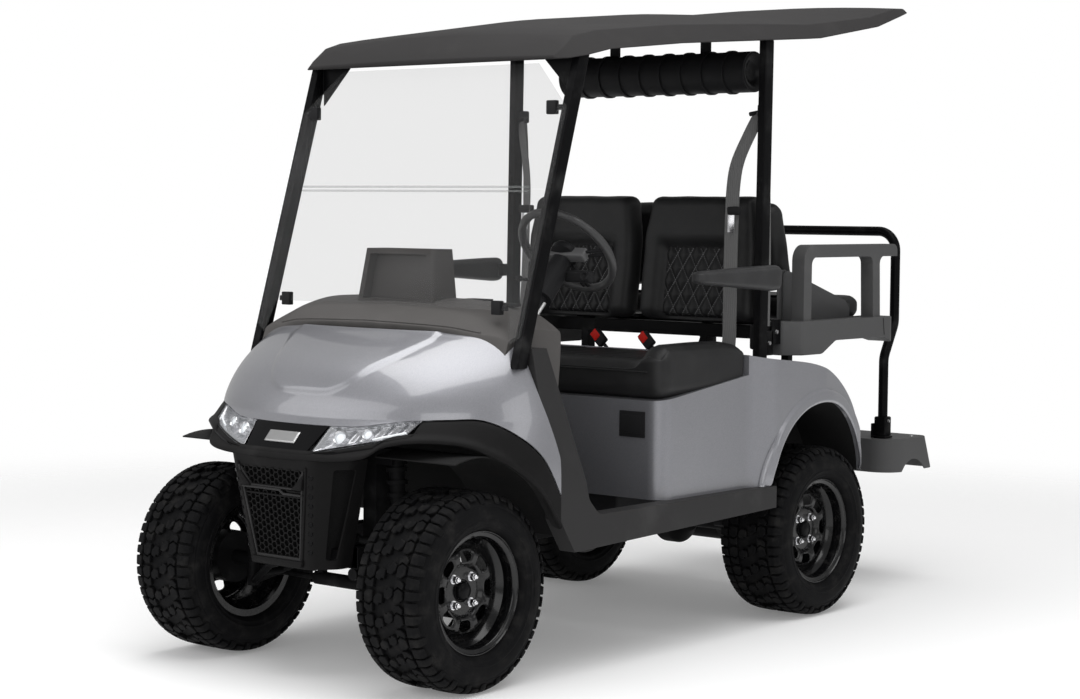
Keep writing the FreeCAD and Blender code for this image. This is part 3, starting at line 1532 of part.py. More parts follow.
def seat_frame(body_block):
    """Welded frame behind the bench that carries both pairs of seat backs and the rear deck."""
    low, high = beam_bottom, beam_top
    rear_end = along(rear_cushion_rear)
    deck_half = tray_inner_x - running_gap
    parts = [block(-beam_half_width, beam_half_width, along(beam_front_y), along(beam_front_y) + beam_depth, low, high),
             block(-deck_half, deck_half, along(beam_rear_y), along(beam_rear_y) + beam_depth, low, high),
             block(-deck_half, deck_half, rear_end - beam_depth, rear_end, low, high)]
    fronts = [(along(back_bottom_y) + back_thickness + running_gap, back_bottom),
              (along(back_top_y) + back_thickness + running_gap, back_top)]
    rears = [(along(rear_back_bottom_y) - upright_depth - running_gap, rear_back_bottom),
             (along(rear_back_front_y) - upright_depth - running_gap, rear_back_top)]
    for side in (-1, 1):
        x = side * upright_x
        x_low, x_high = x - upright_width / 2, x + upright_width / 2
        for line in (fronts, rears):
            (foot_y, foot_z), (top_y, top_z) = line
            slope = (top_y - foot_y) / (top_z - foot_z)
            y_low = foot_y + slope * (low - foot_z)
            y_high = foot_y + slope * (upright_top - foot_z)
            parts.append(plate_x([(y_low, low), (y_low + upright_depth, low),
                                  (y_high + upright_depth, upright_top), (y_high, upright_top)], x_low, x_high))
        parts.append(block(x_low, x_high, along(beam_front_y), along(beam_rear_y) + beam_depth, low, high))
        rail_x = side * deck_x
        parts.append(block(rail_x - deck_frame_width / 2, rail_x + deck_frame_width / 2, along(beam_rear_y),
                           rear_end, low, high))
        parts.append(block(x_low, x_high, along(beam_front_y), along(beam_front_y) + beam_depth,
                           base_top, low + fuse_depth))
        strut = side * rail_spacing / 2
        half = deck_strut_size / 2
        parts.append(block(strut - half, strut + half, along(deck_strut_y) - half, along(deck_strut_y) + half,
                           rail_top, low + fuse_depth))
        parts.append(block(strut - half, strut + half, along(deck_strut_y) - half, rear_end, low, high))
    return largest(fuse(parts).cut(body_block))


def rear_tray():
    """Side bin beside the rear seat: open tub with an arched lower edge, armrest hoop and inner panel."""
    arch_start = along(hoop_front_y + tray_corner * 2)
    arch_end = along(tray_rear_y - tray_corner * 2)
    outer = plate_x([(along(tray_front_y), tray_bottom), (arch_start, tray_bottom),
                     (arch_start + tray_arch_rise * 2, tray_bottom + tray_arch_rise),
                     (arch_end, tray_bottom + tray_arch_rise), (along(tray_rear_y), tray_bottom + tray_arch_rise / 2),
                     (along(tray_rear_y), tray_top), (along(tray_front_y), tray_top)],
                    tray_inner_x, tray_outer_x, [0, tray_arch_rise, tray_arch_rise, tray_arch_rise, 0, 0, 0])
    plan = plate_z([(tray_inner_x, along(tray_front_y)), (tray_outer_x - tray_corner, along(tray_front_y)),
                    (tray_outer_x, along(tray_front_y + tray_corner)), (tray_outer_x, along(tray_rear_y - tray_corner)),
                    (tray_outer_x - tray_corner / 2, along(tray_rear_y)), (tray_inner_x, along(tray_rear_y))],
                   0, overrun * 4, [0, tray_wall * 4, tray_wall * 4, tray_wall * 4, tray_wall * 4, 0])
    tub = block(tray_inner_x + tray_wall, tray_outer_x - tray_wall - hoop_inset - hoop_width - tray_wall,
                along(hoop_front_y), along(tray_rear_y) - tray_corner,
                tray_bottom + tray_arch_rise + tray_wall, tray_top + overrun)
    bin_body = outer.common(plan).cut(tub)
    panel = plate_x([(along(hoop_front_y), tray_top - fuse_depth), (along(hoop_post_y), tray_top - fuse_depth),
                     (along(hoop_post_y), tray_top + tray_arch_rise),
                     (along(hoop_front_y + hoop_depth), hoop_top - hoop_bar_height * 2),
                     (along(hoop_front_y), hoop_top - hoop_bar_height * 2)],
                    tray_inner_x, tray_inner_x + tray_wall, [0, 0, hoop_inset, hoop_inset, hoop_inset])
    return fuse([bin_body, hoop(), panel])


def hoop():
    """Armrest hoop over the side bin."""
    x_high = tray_outer_x - hoop_inset
    x_low = x_high - hoop_width
    foot = tray_top - fuse_depth
    under = hoop_top - hoop_bar_height
    outer = plate_x([(along(hoop_front_y), foot), (along(hoop_rear_y), foot), (along(hoop_rear_y), hoop_top),
                     (along(hoop_front_y), hoop_top)], x_low, x_high, [0, 0, hoop_corner / 2, hoop_corner])
    hole = plate_x([(along(hoop_front_y) + hoop_depth, foot - overrun), (along(hoop_post_y), foot - overrun),
                    (along(hoop_post_y) - hoop_depth / 2, under), (along(hoop_front_y) + hoop_depth, under)],
                   x_low - overrun, x_high + overrun, [0, 0, hoop_corner / 2, hoop_corner / 2])
    slot = plate_x([(along(hoop_post_y) + hoop_depth, foot - overrun), (along(hoop_rear_y) + overrun, foot - overrun),
                    (along(hoop_rear_y) + overrun, under), (along(hoop_post_y) + hoop_depth / 2, under)],
                   x_low - overrun, x_high + overrun, [0, 0, 0, hoop_corner / 2])
    return outer.cut(hole).cut(slot)


def grab_bar():
    """Bent tube from the step up and across behind the rear seat."""
    points = []
    for side in (-1, 1):
        run = [vec(side * grab_half_width, along(grab_lower_y), step_top),
               vec(side * grab_half_width, along(grab_lower_y), grab_knee - grab_knee_drop),
               vec(side * grab_half_width, along(grab_upper_y), grab_knee + grab_knee_drop),
               vec(side * grab_half_width, along(grab_upper_y), grab_top)]
        points += run if side < 0 else list(reversed(run))
    return bent_tube(points, grab_radius, grab_bend)


def step_section(z, inset, reach):
    """Plan of the step at one height, its rear edge at reach."""
    corner = step_corner - inset
    half = step_half_width - inset
    front = along(step_front_y) + inset
    return outline([vec(-half, front, z), vec(half, front, z), vec(half, reach - inset, z),
                    vec(-half, reach - inset, z)], [corner, corner, corner / 3, corner / 3])


def foot_step():
    """Moulded step with a sloping skirt, rounded front corners and arched sides."""
    rear = along(rear_overhang + wheelbase)
    outer = Part.makeLoft([step_section(step_bottom, 0, rear), step_section(step_top, 0, rear - step_lean)],
                          True, True)
    inner = Part.makeLoft([step_section(step_bottom - step_wall, step_wall, rear),
                           step_section(step_top - step_wall, step_wall, rear - step_lean)], True, True)
    arch_centre = rear - step_lean * 3
    arch = Part.makeCylinder(step_lean * 2, overrun * 4, vec(-overrun * 2, arch_centre, step_bottom - step_lean * 2
                                                             + step_arch_rise), vec(1, 0, 0))
    return outer.cut(inner).cut(arch)


def step_arm():
    """Arm from a rail end out under the step."""
    x = rail_spacing / 2
    half = step_bracket_width / 2
    under = step_top - step_wall
    reach = along(rear_overhang + wheelbase) - step_lean * 2
    arm = block(x - half, x + half, along(rail_rear), reach, under - step_bracket_height, under)
    drop = block(x - half, x + half, along(rail_rear), along(rail_rear) + step_wall * 2, rail_bottom, under)
    return fuse([arm, drop])


def lowest(shape):
    """The solid that reaches lowest of what a cut leaves."""
    return min(shape.Solids, key=lambda solid: solid.BoundBox.ZMin)


def post(x, low, width, depth):
    """Leaning rectangular post behind the windshield, from low up into the roof."""
    return plate_x([(glass_y(low) + pillar_offset - depth / 2, low), (glass_y(low) + pillar_offset + depth / 2, low),
                    (glass_y(roof_rear_edge) + pillar_offset + depth / 2, roof_rear_edge),
                    (glass_y(roof_rear_edge) + pillar_offset - depth / 2, roof_rear_edge)],
                   x - width / 2, x + width / 2)


def front_post(roof_shell):
    """Roof post with its gusset under the roof."""
    body = post(pillar_x, pillar_foot, pillar_width, pillar_depth)
    inner = pillar_x - pillar_width / 2
    top = pillar_top
    y = glass_y(top) + pillar_offset
    gusset = plate_y([(inner, top), (inner, top - gusset_size), (inner - gusset_size, top)],
                     y - gusset_thickness / 2, y + gusset_thickness / 2)
    return lowest(fuse([body, gusset]).cut(roof_shell))


def rear_post(roof_shell, body_block):
    """Rear roof strut from the body deck up into the roof."""
    half = strut_depth / 2
    body = plate_x([(along(strut_foot_y) - half, base_top), (along(strut_foot_y) + half, base_top),
                    (along(strut_top_y) + half, roof_rear_edge), (along(strut_top_y) - half, roof_rear_edge)],
                   strut_x - strut_width / 2, strut_x + strut_width / 2)
    pieces = body.cut(body_block).cut(roof_shell).Solids
    pieces.sort(key=lambda solid: solid.Volume)
    return pieces[-1]


def glass_y(z):
    """Place of the windshield's face at a height."""
    share = (z - glass_foot) / (glass_top - glass_foot)
    return along(glass_foot_y + (glass_top_y - glass_foot_y) * share)


def glass_pane(z_low, z_high, outline_points):
    """Flat pane leaning with the windshield."""
    slab = plate_x([(glass_y(z_low), z_low), (glass_y(z_high), z_high), (glass_y(z_high) + glass_thickness, z_high),
                    (glass_y(z_low) + glass_thickness, z_low)], -overrun * 2, overrun * 2)
    window = plate_y(outline_points, glass_y(z_low) - overrun, glass_y(z_high) + overrun)
    return slab.common(window)


def windshield_lower():
    """Fixed lower pane: its foot stands over the dash and its sides reach down past it."""
    top = glass_fold - running_gap
    leg = pillar_x - pillar_width
    return glass_pane(glass_foot, top, [(-glass_half_width, glass_foot + glass_leg), (-leg, glass_foot),
                                        (-leg + glass_leg, glass_clear), (leg - glass_leg, glass_clear),
                                        (leg, glass_foot), (glass_half_width, glass_foot + glass_leg),
                                        (glass_half_width, top), (-glass_half_width, top)])


def windshield_upper():
    """Folding upper pane with its top corners cut."""
    low = glass_fold + running_gap
    return glass_pane(low, glass_top, [(-glass_half_width, low), (glass_half_width, low),
                                       (glass_half_width, glass_top - glass_corner), (glass_top_half_width, glass_top),
                                       (-glass_top_half_width, glass_top), (-glass_half_width, glass_top - glass_corner)])


# Along the roof in shares: distance, half width, rise of the lower edge, side bevel, crown
roof_station_shares = (
    (0.0, 0.856, 0.0, 0.17, 0.1), (0.014, 0.908, 0.011, 0.5, 0.2), (0.039, 0.959, 0.05, 1.0, 0.35),
    (0.079, 0.993, 0.125, 1.0, 0.4), (0.263, 1.0, 0.269, 1.0, 0.77), (0.469, 1.0, 0.394, 0.92, 1.0),
    (0.632, 0.997, 0.487, 0.81, 1.0), (0.82, 0.976, 0.713, 0.6, 0.87), (0.914, 0.933, 0.889, 0.5, 0.4),
    (0.981, 0.839, 0.971, 0.3, 0.3), (1.0, 0.753, 1.0, 0.2, 0.15),
)
# Stations at each end where the roof is too thin to be hollow
roof_solid_stations = 2


def roof_section(station, border, wall):
    """Closed section across the roof, narrowed by border and lowered by wall."""
    back_share, width_share, rise_share, bevel_share, crown_share = station
    y = along(roof_front_y + (roof_rear_y - roof_front_y) * back_share)
    half = roof_half_width * width_share - border
    top_half = half - roof_bevel * bevel_share
    low = roof_front_edge + (roof_rear_edge - roof_front_edge) * rise_share - wall
    edge = low + roof_bevel_rise * bevel_share
    crown = edge + roof_crown * crown_share
    left, right = vec(-top_half, y, edge), vec(top_half, y, edge)
    left_low, right_low = vec(-half, y, low), vec(half, y, low)
    return Part.Wire([Part.makeLine(left_low, right_low), Part.makeLine(right_low, right),
                      Part.Arc(right, vec(0, y, crown), left).toShape(), Part.makeLine(left, left_low)])


def roof():
    """Moulded roof, bevelled at its sides, crowned, rising to the rear and hollow below."""
    outer = Part.makeLoft([roof_section(station, 0, 0) for station in roof_station_shares], True, True)
    hollow = roof_station_shares[roof_solid_stations:-roof_solid_stations]
    inner = Part.makeLoft([roof_section(station, roof_border, roof_wall) for station in hollow], True, True)
    return outer.cut(inner)


def sound_bar(roof_shell):
    """Round speaker bar under the roof with shallow ribs, dished ends and two hangers."""
    half = bar_half_length
    body_radius = bar_radius - bar_rib_depth
    profile = [(0, -half + bar_cone_depth), (bar_cone_radius, -half + bar_cone_depth),
               (bar_radius - bar_rib_depth * 2, -half), (body_radius, -half)]
    step = 2 * half / (bar_rib_count + 1)
    for i in range(bar_rib_count):
        centre = -half + step * (i + 1)
        low, high = centre - bar_rib_width / 2, centre + bar_rib_width / 2
        profile += [(body_radius, low), (bar_radius, low), (bar_radius, high), (body_radius, high)]
    profile += [(body_radius, half), (bar_radius - bar_rib_depth * 2, half), (bar_cone_radius, half - bar_cone_depth),
                (0, half - bar_cone_depth)]
    bar = lathe(profile, vec(0, along(bar_y), bar_z), vec(1, 0, 0))
    hangers = []
    for side in (-1, 1):
        x = side * bar_bracket_x
        hangers.append(block(x - bar_bracket_width / 2, x + bar_bracket_width / 2,
                             along(bar_y) - bar_bracket_thickness / 2, along(bar_y) + bar_bracket_thickness / 2,
                             bar_z + bar_radius / 2, roof_rear_edge))
    return lowest(fuse([bar] + hangers).cut(roof_shell))


def seat_belt():
    """Webbing from its guide on the rear post down to the anchor, with its retractor, and a buckle."""
    guide_x = strut_x - strut_width / 2 - guide_thickness - running_gap
    guide_y = along(strut_top_y)
    retractor = plate_x([(guide_y - guide_size / 2, guide_height - guide_size), (guide_y + guide_size / 2,
                                                                               guide_height - guide_size),
                         (guide_y + guide_size / 2, guide_height), (guide_y - guide_size / 2, guide_height)],
                        guide_x, guide_x + guide_thickness, guide_thickness / 2)
    belt_x = back_outer_x - belt_width
    near = along(back_bottom_y) - belt_clearance
    run = plate_y([(belt_x, belt_foot), (belt_x + belt_width, belt_foot),
                   (guide_x + guide_thickness, guide_height - guide_size), (guide_x, guide_height - guide_size)],
                  0, belt_thickness)
    run.translate(vec(0, near, 0))
    reach = math.degrees(math.atan2(guide_y - belt_thickness - near, guide_height - guide_size - belt_foot))
    strap = turned(run, vec(0, near, belt_foot), vec(1, 0, 0), -reach)
    return fuse([retractor, strap])


def buckle(body_block):
    """Buckle on its stalk behind the bench, near the centre."""
    y = along(buckle_y)
    head = plate_y([(buckle_x - buckle_width / 2, buckle_top - buckle_height), (buckle_x + buckle_width / 2,
                                                                                buckle_top - buckle_height),
                    (buckle_x + buckle_width / 2, buckle_top), (buckle_x - buckle_width / 2, buckle_top)],
                   y - buckle_depth / 2, y + buckle_depth / 2, buckle_depth / 4)
    stalk = block(buckle_x - buckle_width / 4, buckle_x + buckle_width / 4, y - belt_thickness, y + belt_thickness,
                  base_top, buckle_top - buckle_height + fuse_depth)
    return fuse([head, stalk]).cut(body_block)


def save(name, shape):
    """Write one piece and report its make-up."""
    solids = shape.Solids
    shape = solids[0] if len(solids) == 1 else Part.makeCompound(solids)
    shape.exportStep(os.path.join("parts", name + ".step"))
    box = shape.optimalBoundingBox()
    print(f"{name:20s} solids {len(solids)} valid {shape.isValid()} litres {shape.Volume / 1e6:8.3f} "
          f"x {box.XMin:7.1f} {box.XMax:7.1f} y {box.YMin:8.1f} {box.YMax:8.1f} z {box.ZMin:7.1f} {box.ZMax:7.1f}")


def main():
    """Builds every piece and writes it."""
    os.makedirs("parts", exist_ok=True)
    body = tyre_body()
    for side, name in ((1, "left"), (-1, "right")):
        save("tyre_front_" + name, tyre(body, side * front_wheel_x(), along(0), side))
        save("tyre_rear_" + name, tyre(body, side * rear_wheel_x(), along(wheelbase), side))
        save("rim_front_" + name, rim(side * front_wheel_x(), along(0), side))
        save("rim_rear_" + name, rim(side * rear_wheel_x(), along(wheelbase), side))
        save("knuckle_" + name, knuckle(side))
    save("front_arms", front_arms())
    save("front_coilovers", both(coilover()))
    save("rack_housing", rack_housing())
    save("rack_bar", rack_bar())
    save("frame_rails", frame_rails())
    save("cross_members", cross_members())
    save("frame_brackets", frame_brackets())
    save("hitch_plate", hitch_plate())
    save("rear_axle", rear_axle())
    save("leaf_springs", both(leaf_spring()))
    save("rear_shocks", both(rear_shock()))
    shell = nose_shell()
    save("front_cowl", front_cowl(shell))
    band = skirt(shell)
    middle = band.common(side_block(-lamp_outer_x, lamp_outer_x))
    lamps = [middle.common(lamp_zone(side)) for side in (1, -1)]
    save("headlamps", Part.makeCompound(lamps))
    save("badge_panel", middle.common(badge_zone()))
    save("fascia_band", middle.cut(Part.makeCompound([lamp_zone(1), lamp_zone(-1), badge_zone()])))
    flares = [band.common(side_block(lamp_outer_x, overrun * 2)), band.common(side_block(-overrun * 2, -lamp_outer_x))]
    save("fender_flares", Part.makeCompound(flares))
    save("lower_fascia", lower_fascia())
    save("grille", grille())
    save("wheel_liners", Part.makeCompound([both(wheel_liner()), both(rear_wheel_liner())]))
    dash_body = dash()
    save("dash", dash_body)
    save("dash_pod", dash_pod(dash_body))
    save("steering_wheel", steering_wheel())
    save("steering_column", steering_column(dash_body))
    save("floor_pan", floor_pan())
    save("floor_mat", floor_mat())
    save("pedals", pedals().cut(floor_pan()))
    save("rockers", both(rocker(dash_body)))
    body_block = rear_block(0)
    save("rear_body", rear_body())
    save("battery", battery())
    save("front_cushion", front_cushion())
    save("seat_backs", seat_backs())
    save("rear_seat_backs", rear_seat_backs())
    save("rear_cushion", rear_cushion())
    save("armrests", both(armrest()))
    save("seat_frame", seat_frame(body_block))
    save("rear_trays", both(rear_tray()))
    save("grab_bar", grab_bar())
    save("foot_step", foot_step())
    roof_shell = roof()
    save("roof", roof_shell)
    save("front_posts", both(front_post(roof_shell)))
    save("rear_posts", both(rear_post(roof_shell, body_block)))
    save("windshield_lower", windshield_lower())
    save("windshield_upper", windshield_upper())
    save("sound_bar", sound_bar(roof_shell))
    save("seat_belts", Part.makeCompound([both(seat_belt()), both(buckle(body_block))]))


main()
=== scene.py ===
"""Dressed model of a lifted four-seat golf cart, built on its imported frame."""
import logging
import math
from collections.abc import Callable, Iterable, Sequence
from dataclasses import dataclass
from enum import Enum

import bmesh
import bpy
from mathutils import Matrix, Quaternion, Vector
from mathutils.bvhtree import BVHTree


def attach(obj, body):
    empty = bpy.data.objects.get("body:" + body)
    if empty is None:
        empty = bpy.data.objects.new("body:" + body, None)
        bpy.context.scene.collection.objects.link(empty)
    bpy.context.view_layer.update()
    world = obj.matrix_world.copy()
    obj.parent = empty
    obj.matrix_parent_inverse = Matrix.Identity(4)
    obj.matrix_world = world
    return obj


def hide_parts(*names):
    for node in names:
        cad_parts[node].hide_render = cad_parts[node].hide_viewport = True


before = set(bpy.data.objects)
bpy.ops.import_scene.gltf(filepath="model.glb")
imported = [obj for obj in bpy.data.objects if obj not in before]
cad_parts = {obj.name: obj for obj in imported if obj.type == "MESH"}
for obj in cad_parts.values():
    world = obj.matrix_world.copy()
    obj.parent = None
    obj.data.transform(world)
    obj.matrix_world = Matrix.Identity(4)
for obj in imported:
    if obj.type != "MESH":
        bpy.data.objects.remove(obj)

logging.basicConfig(level=logging.INFO, format="%(message)s")
log = logging.getLogger("golf_cart")

Colour = tuple[float, float, float]
Pair = tuple[float, float]
Triple = tuple[float, float, float]
Place = Callable[[float, float], Vector]
Points = list[bmesh.types.BMVert]

FRONT_AXLE = -1.17025
WHEELBASE = 1.669


def along(distance: float) -> float:
    """Distance behind the front axle as a y coordinate of the cart's frame."""
    return FRONT_AXLE + distance


def spot(point: Triple | Vector) -> Vector:
    """Point of the cart's frame for a point whose Y is a distance behind the front axle."""
    return Vector((point[0], FRONT_AXLE + point[1], point[2]))


def mix(first: float, second: float, share: float) -> float:
    """Value part of the way from first to second."""
    return first + (second - first) * share


def smooth(low: float, high: float, value: float) -> float:
    """Smooth step of value from low to high, from nought to one."""
    share = min(1.0, max(0.0, (value - low) / (high - low)))
    return share * share * (3 - 2 * share)


def ease(value: float) -> float:
    """Smooth step of value from nought to one."""
    return smooth(0.0, 1.0, value)


def curve_at(points: Sequence[tuple[float, ...]], value: float) -> tuple[float, ...]:
    """Smooth curve through points at a value of their first number.

    Args:
        points: Rows that rise in their first number.
        value: Where to read the curve; the ends are held.

    Returns:
        The other numbers of the row at that value.
    """
    value = min(points[-1][0], max(points[0][0], value))
    index = max(i for i in range(len(points) - 1) if i == 0 or points[i][0] <= value)
    before = points[max(0, index - 1)]
    start, stop = points[index], points[index + 1]
    after = points[min(len(points) - 1, index + 2)]
    span = stop[0] - start[0]
    share = (value - start[0]) / span
    out = []
    for k in range(1, len(start)):
        slope_in = (stop[k] - before[k]) / (stop[0] - before[0]) * span
        slope_out = (after[k] - start[k]) / (after[0] - start[0]) * span
        if index == 0:
            slope_in = stop[k] - start[k]
        if index == len(points) - 2:
            slope_out = stop[k] - start[k]
        cubed, squared = share ** 3, share ** 2
        out.append((2 * cubed - 3 * squared + 1) * start[k] + (cubed - 2 * squared + share) * slope_in
                   + (3 * squared - 2 * cubed) * stop[k] + (cubed - squared) * slope_out)
    return tuple(out)


def solve(function: Callable[[float], float], low: float, high: float, steps: int = 30) -> float:
    """Root of a function between two values, by halving.

    Args:
        function: Changes sign once between low and high.
        low: One end.
        high: Other end.
        steps: Number of halvings.

    Returns:
        Where the function is nought.
    """
    sign = function(low) > 0
    for _ in range(steps):
        middle = (low + high) / 2
        if (function(middle) > 0) == sign:
            low = middle
        else:
            high = middle
    return (low + high) / 2


class Value:
    """Shader socket that takes part in Python expressions."""

    def __init__(self, graph: "Graph", socket: bpy.types.NodeSocket) -> None:
        """Wraps one output socket of a graph."""
        self.graph = graph
        self.socket = socket

    def maths(self, operation: str, *others: "Value | float",
              first: "Value | float | None" = None) -> "Value":
        """Adds a Math node.

        Args:
            operation: Name of the operation.
            others: Inputs that come after the first.
            first: First input, this socket unless given.

        Returns:
            The node's result.
        """
        inputs = {0: self if first is None else first}
        inputs.update({i + 1: other for i, other in enumerate(others)})
        return self.graph.value("ShaderNodeMath", {"operation": operation}, inputs)

    def __add__(self, other: "Value | float") -> "Value":
        """Sum."""
        return self.maths("ADD", other)

    __radd__ = __add__

    def __sub__(self, other: "Value | float") -> "Value":
        """Difference."""
        return self.maths("SUBTRACT", other)

    def __rsub__(self, other: float) -> "Value":
        """Difference from a number."""
        return self.maths("SUBTRACT", self, first=other)

    def __mul__(self, other: "Value | float") -> "Value":
        """Product."""
        return self.maths("MULTIPLY", other)

    __rmul__ = __mul__

    def __truediv__(self, other: "Value | float") -> "Value":
        """Quotient."""
        return self.maths("DIVIDE", other)

    def __gt__(self, other: "Value | float") -> "Value":
        """One where this is greater, else nought."""
        return self.maths("GREATER_THAN", other)

    def __abs__(self) -> "Value":
        """Size without its sign."""
        return self.maths("ABSOLUTE")

    def fraction(self) -> "Value":
        """Part after the decimal point."""
        return self.maths("FRACT")

    def sine(self) -> "Value":
        """Sine of an angle in radians."""
        return self.maths("SINE")

    def ramp(self, low: float, high: float) -> "Value":
        """Smooth step from low to high.

        Args:
            low: Where the result is nought.
            high: Where the result is one.

        Returns:
            The stepped value.
        """
        return self.graph.value("ShaderNodeMapRange", {"interpolation_type": "SMOOTHSTEP"},
                                {"Value": self, "From Min": low, "From Max": high})


class Graph:
    """Node tree of one finish."""

    def __init__(self, name: str) -> None:
        """Starts an empty material."""
        self.material = bpy.data.materials.new(name)
        self.material.use_nodes = True
        self.tree = self.material.node_tree
        self.tree.nodes.clear()
        self.output = self.node("ShaderNodeOutputMaterial")
        self.place = self.value("ShaderNodeTexCoord", output="Object")

    def node(self, kind: str, settings: dict[str, object] | None = None,
             inputs: dict[str | int, object] | None = None) -> bpy.types.Node:
        """Adds any node.

        Args:
            kind: Type of the node.
            settings: Its own properties; "stops" holds a ramp's (place, colour) rows.
            inputs: Values or links of its sockets.

        Returns:
            The new node.
        """
        made = self.tree.nodes.new(kind)
        for name, setting in (settings or {}).items():
            if name == "stops":
                elements = made.color_ramp.elements
                while len(elements) < len(setting):
                    elements.new(1.0)
                for element, (position, colour) in zip(elements, setting):
                    element.position = position
                    element.color = (*colour, 1.0)
            else:
                setattr(made, name, setting)
        for name, given in (inputs or {}).items():
            socket = made.inputs[name]
            if isinstance(given, Value):
                self.tree.links.new(given.socket, socket)
            elif socket.type == "RGBA" and len(given) == 3:
                socket.default_value = (*given, 1.0)
            else:
                socket.default_value = given
        return made

    def value(self, kind: str, settings: dict[str, object] | None = None,
              inputs: dict[str | int, object] | None = None, output: str | int = 0) -> Value:
        """Adds any node and wraps one of its outputs."""
        return Value(self, self.node(kind, settings, inputs).outputs[output])

    def axes(self, vector: Value | None = None) -> tuple[Value, Value, Value]:
        """Three coordinates of a vector, of the object's place unless given."""
        node = self.node("ShaderNodeSeparateXYZ", None, {0: vector or self.place})
        return Value(self, node.outputs[0]), Value(self, node.outputs[1]), Value(self, node.outputs[2])

    def noise(self, scale: float, detail: float = 3.0, rough: float = 0.5,
              vector: Value | None = None) -> Value:
        """Fractal noise about one half."""
        return self.value("ShaderNodeTexNoise", None, {"Vector": vector or self.place, "Scale": scale,
                                                       "Detail": detail, "Roughness": rough})

    def cells(self, scale: float, feature: str = "F1", output: str = "Distance",
              vector: Value | None = None) -> Value:
        """Cell pattern."""
        return self.value("ShaderNodeTexVoronoi", {"feature": feature}, {"Vector": vector or self.place,
                                                                         "Scale": scale}, output)

    def blend(self, share: Value | float, first: Value | Colour, second: Value | Colour) -> Value:
        """Colour part of the way from first to second."""
        return self.value("ShaderNodeMix", {"data_type": "RGBA"}, {0: share, 6: first, 7: second}, 2)

    def scaled(self, factors: Triple) -> Value:
        """Object's place stretched along its axes."""
        return self.value("ShaderNodeVectorMath", {"operation": "MULTIPLY"}, {0: self.place, 1: factors})

    def bump(self, height: Value, distance: float, strength: float = 1.0) -> Value:
        """Normal from a height field.

        Args:
            height: Field from nought to one.
            distance: Depth of the field in metres.
            strength: Share of the effect.

        Returns:
            The bent normal.
        """
        return self.value("ShaderNodeBump", None, {"Height": height, "Distance": distance,
                                                   "Strength": strength})

    def surface(self, inputs: dict[str | int, object]) -> bpy.types.Material:
        """Ends the graph in one Principled shader and returns the material."""
        shader = self.value("ShaderNodeBsdfPrincipled", None, inputs)
        self.tree.links.new(shader.socket, self.output.inputs["Surface"])
        return self.material


@dataclass(frozen=True)
class Finish:
    """Base of the finishes: a plain name and a colour."""

    name: str
    colour: Colour

    def shade(self, graph: Graph) -> bpy.types.Material:
        """Fills the graph; each finish has its own."""
        raise NotImplementedError

    def material(self) -> bpy.types.Material:
        """Material of this finish, made once."""
        found = bpy.data.materials.get(f"{self.name}_finish")
        return found or self.shade(Graph(f"{self.name}_finish"))


@dataclass(frozen=True)
class MetallicPaint(Finish):
    """Silver body paint: fine flakes under a clear coat, with a trace of dust low down."""

    flake: Colour = (0.38, 0.383, 0.405)
    flake_scale: float = 1500.0
    roughness: float = 0.3

    def shade(self, graph: Graph) -> bpy.types.Material:
        """Flakes change the colour, the gloss and, very little, the normal."""
        flakes = graph.cells(self.flake_scale, output="Color")
        glint = graph.axes(flakes)[0]
        cloud = graph.noise(3.0, 4.0)
        share = glint * 0.5 + cloud * 0.25
        dust = graph.noise(45.0, 5.0, 0.6).ramp(0.5, 0.75) * graph.axes()[2].ramp(0.75, 0.35) * 0.18
        base = graph.blend(share, self.colour, self.flake)
        worn = graph.blend(dust, base, (0.3, 0.29, 0.27))
        return graph.surface({
            "Base Color": worn, "Metallic": 0.5, "Roughness": glint * 0.08 + (self.roughness + 0.02) + dust,
            "Coat Weight": 1.0, "Coat Roughness": 0.05,
                              "Normal": graph.bump(graph.noise(260.0, 2.0), 0.00004),
        })


@dataclass(frozen=True)
class GrainedPlastic(Finish):
    """Moulded plastic with a pebbled grain and paler rubbed spots."""

    grain_scale: float = 620.0
    depth: float = 0.0002
    roughness: float = 0.55
    rub: Colour = (0.12, 0.12, 0.12)
    gloss: float = 0.1

    def shade(self, graph: Graph) -> bpy.types.Material:
        """Pebbles bend the normal; cloudy wear changes colour and gloss."""
        pebbles = graph.cells(self.grain_scale, "SMOOTH_F1")
        fine = graph.noise(self.grain_scale * 2.3, 2.0)
        cloud = graph.noise(6.0, 5.0, 0.6)
        wear = cloud.ramp(0.52, 0.8) * 0.35 + fine * 0.12
        return graph.surface({
            "Base Color": graph.blend(wear, self.colour, self.rub),
            "Roughness": cloud * 0.14 + pebbles * 0.08 + (self.roughness - 0.08),
            "Specular IOR Level": self.gloss, "Normal": graph.bump(pebbles + fine * 0.4, self.depth),
        })


@dataclass(frozen=True)
class SatinCoat(Finish):
    """Powder-coated steel with a fine orange-peel skin."""

    roughness: float = 0.42
    peel: float = 0.00008

    def shade(self, graph: Graph) -> bpy.types.Material:
        """Peel in the normal, with faint chalky patches."""
        peel = graph.noise(430.0, 3.0)
        cloud = graph.noise(8.0, 4.0, 0.6)
        return graph.surface({
            "Base Color": graph.blend(cloud.ramp(0.5, 0.85) * 0.3, self.colour, (0.09, 0.09, 0.09)),
            "Roughness": cloud * 0.16 + (self.roughness - 0.08), "Specular IOR Level": 0.06,
            "Normal": graph.bump(peel, self.peel),
        })


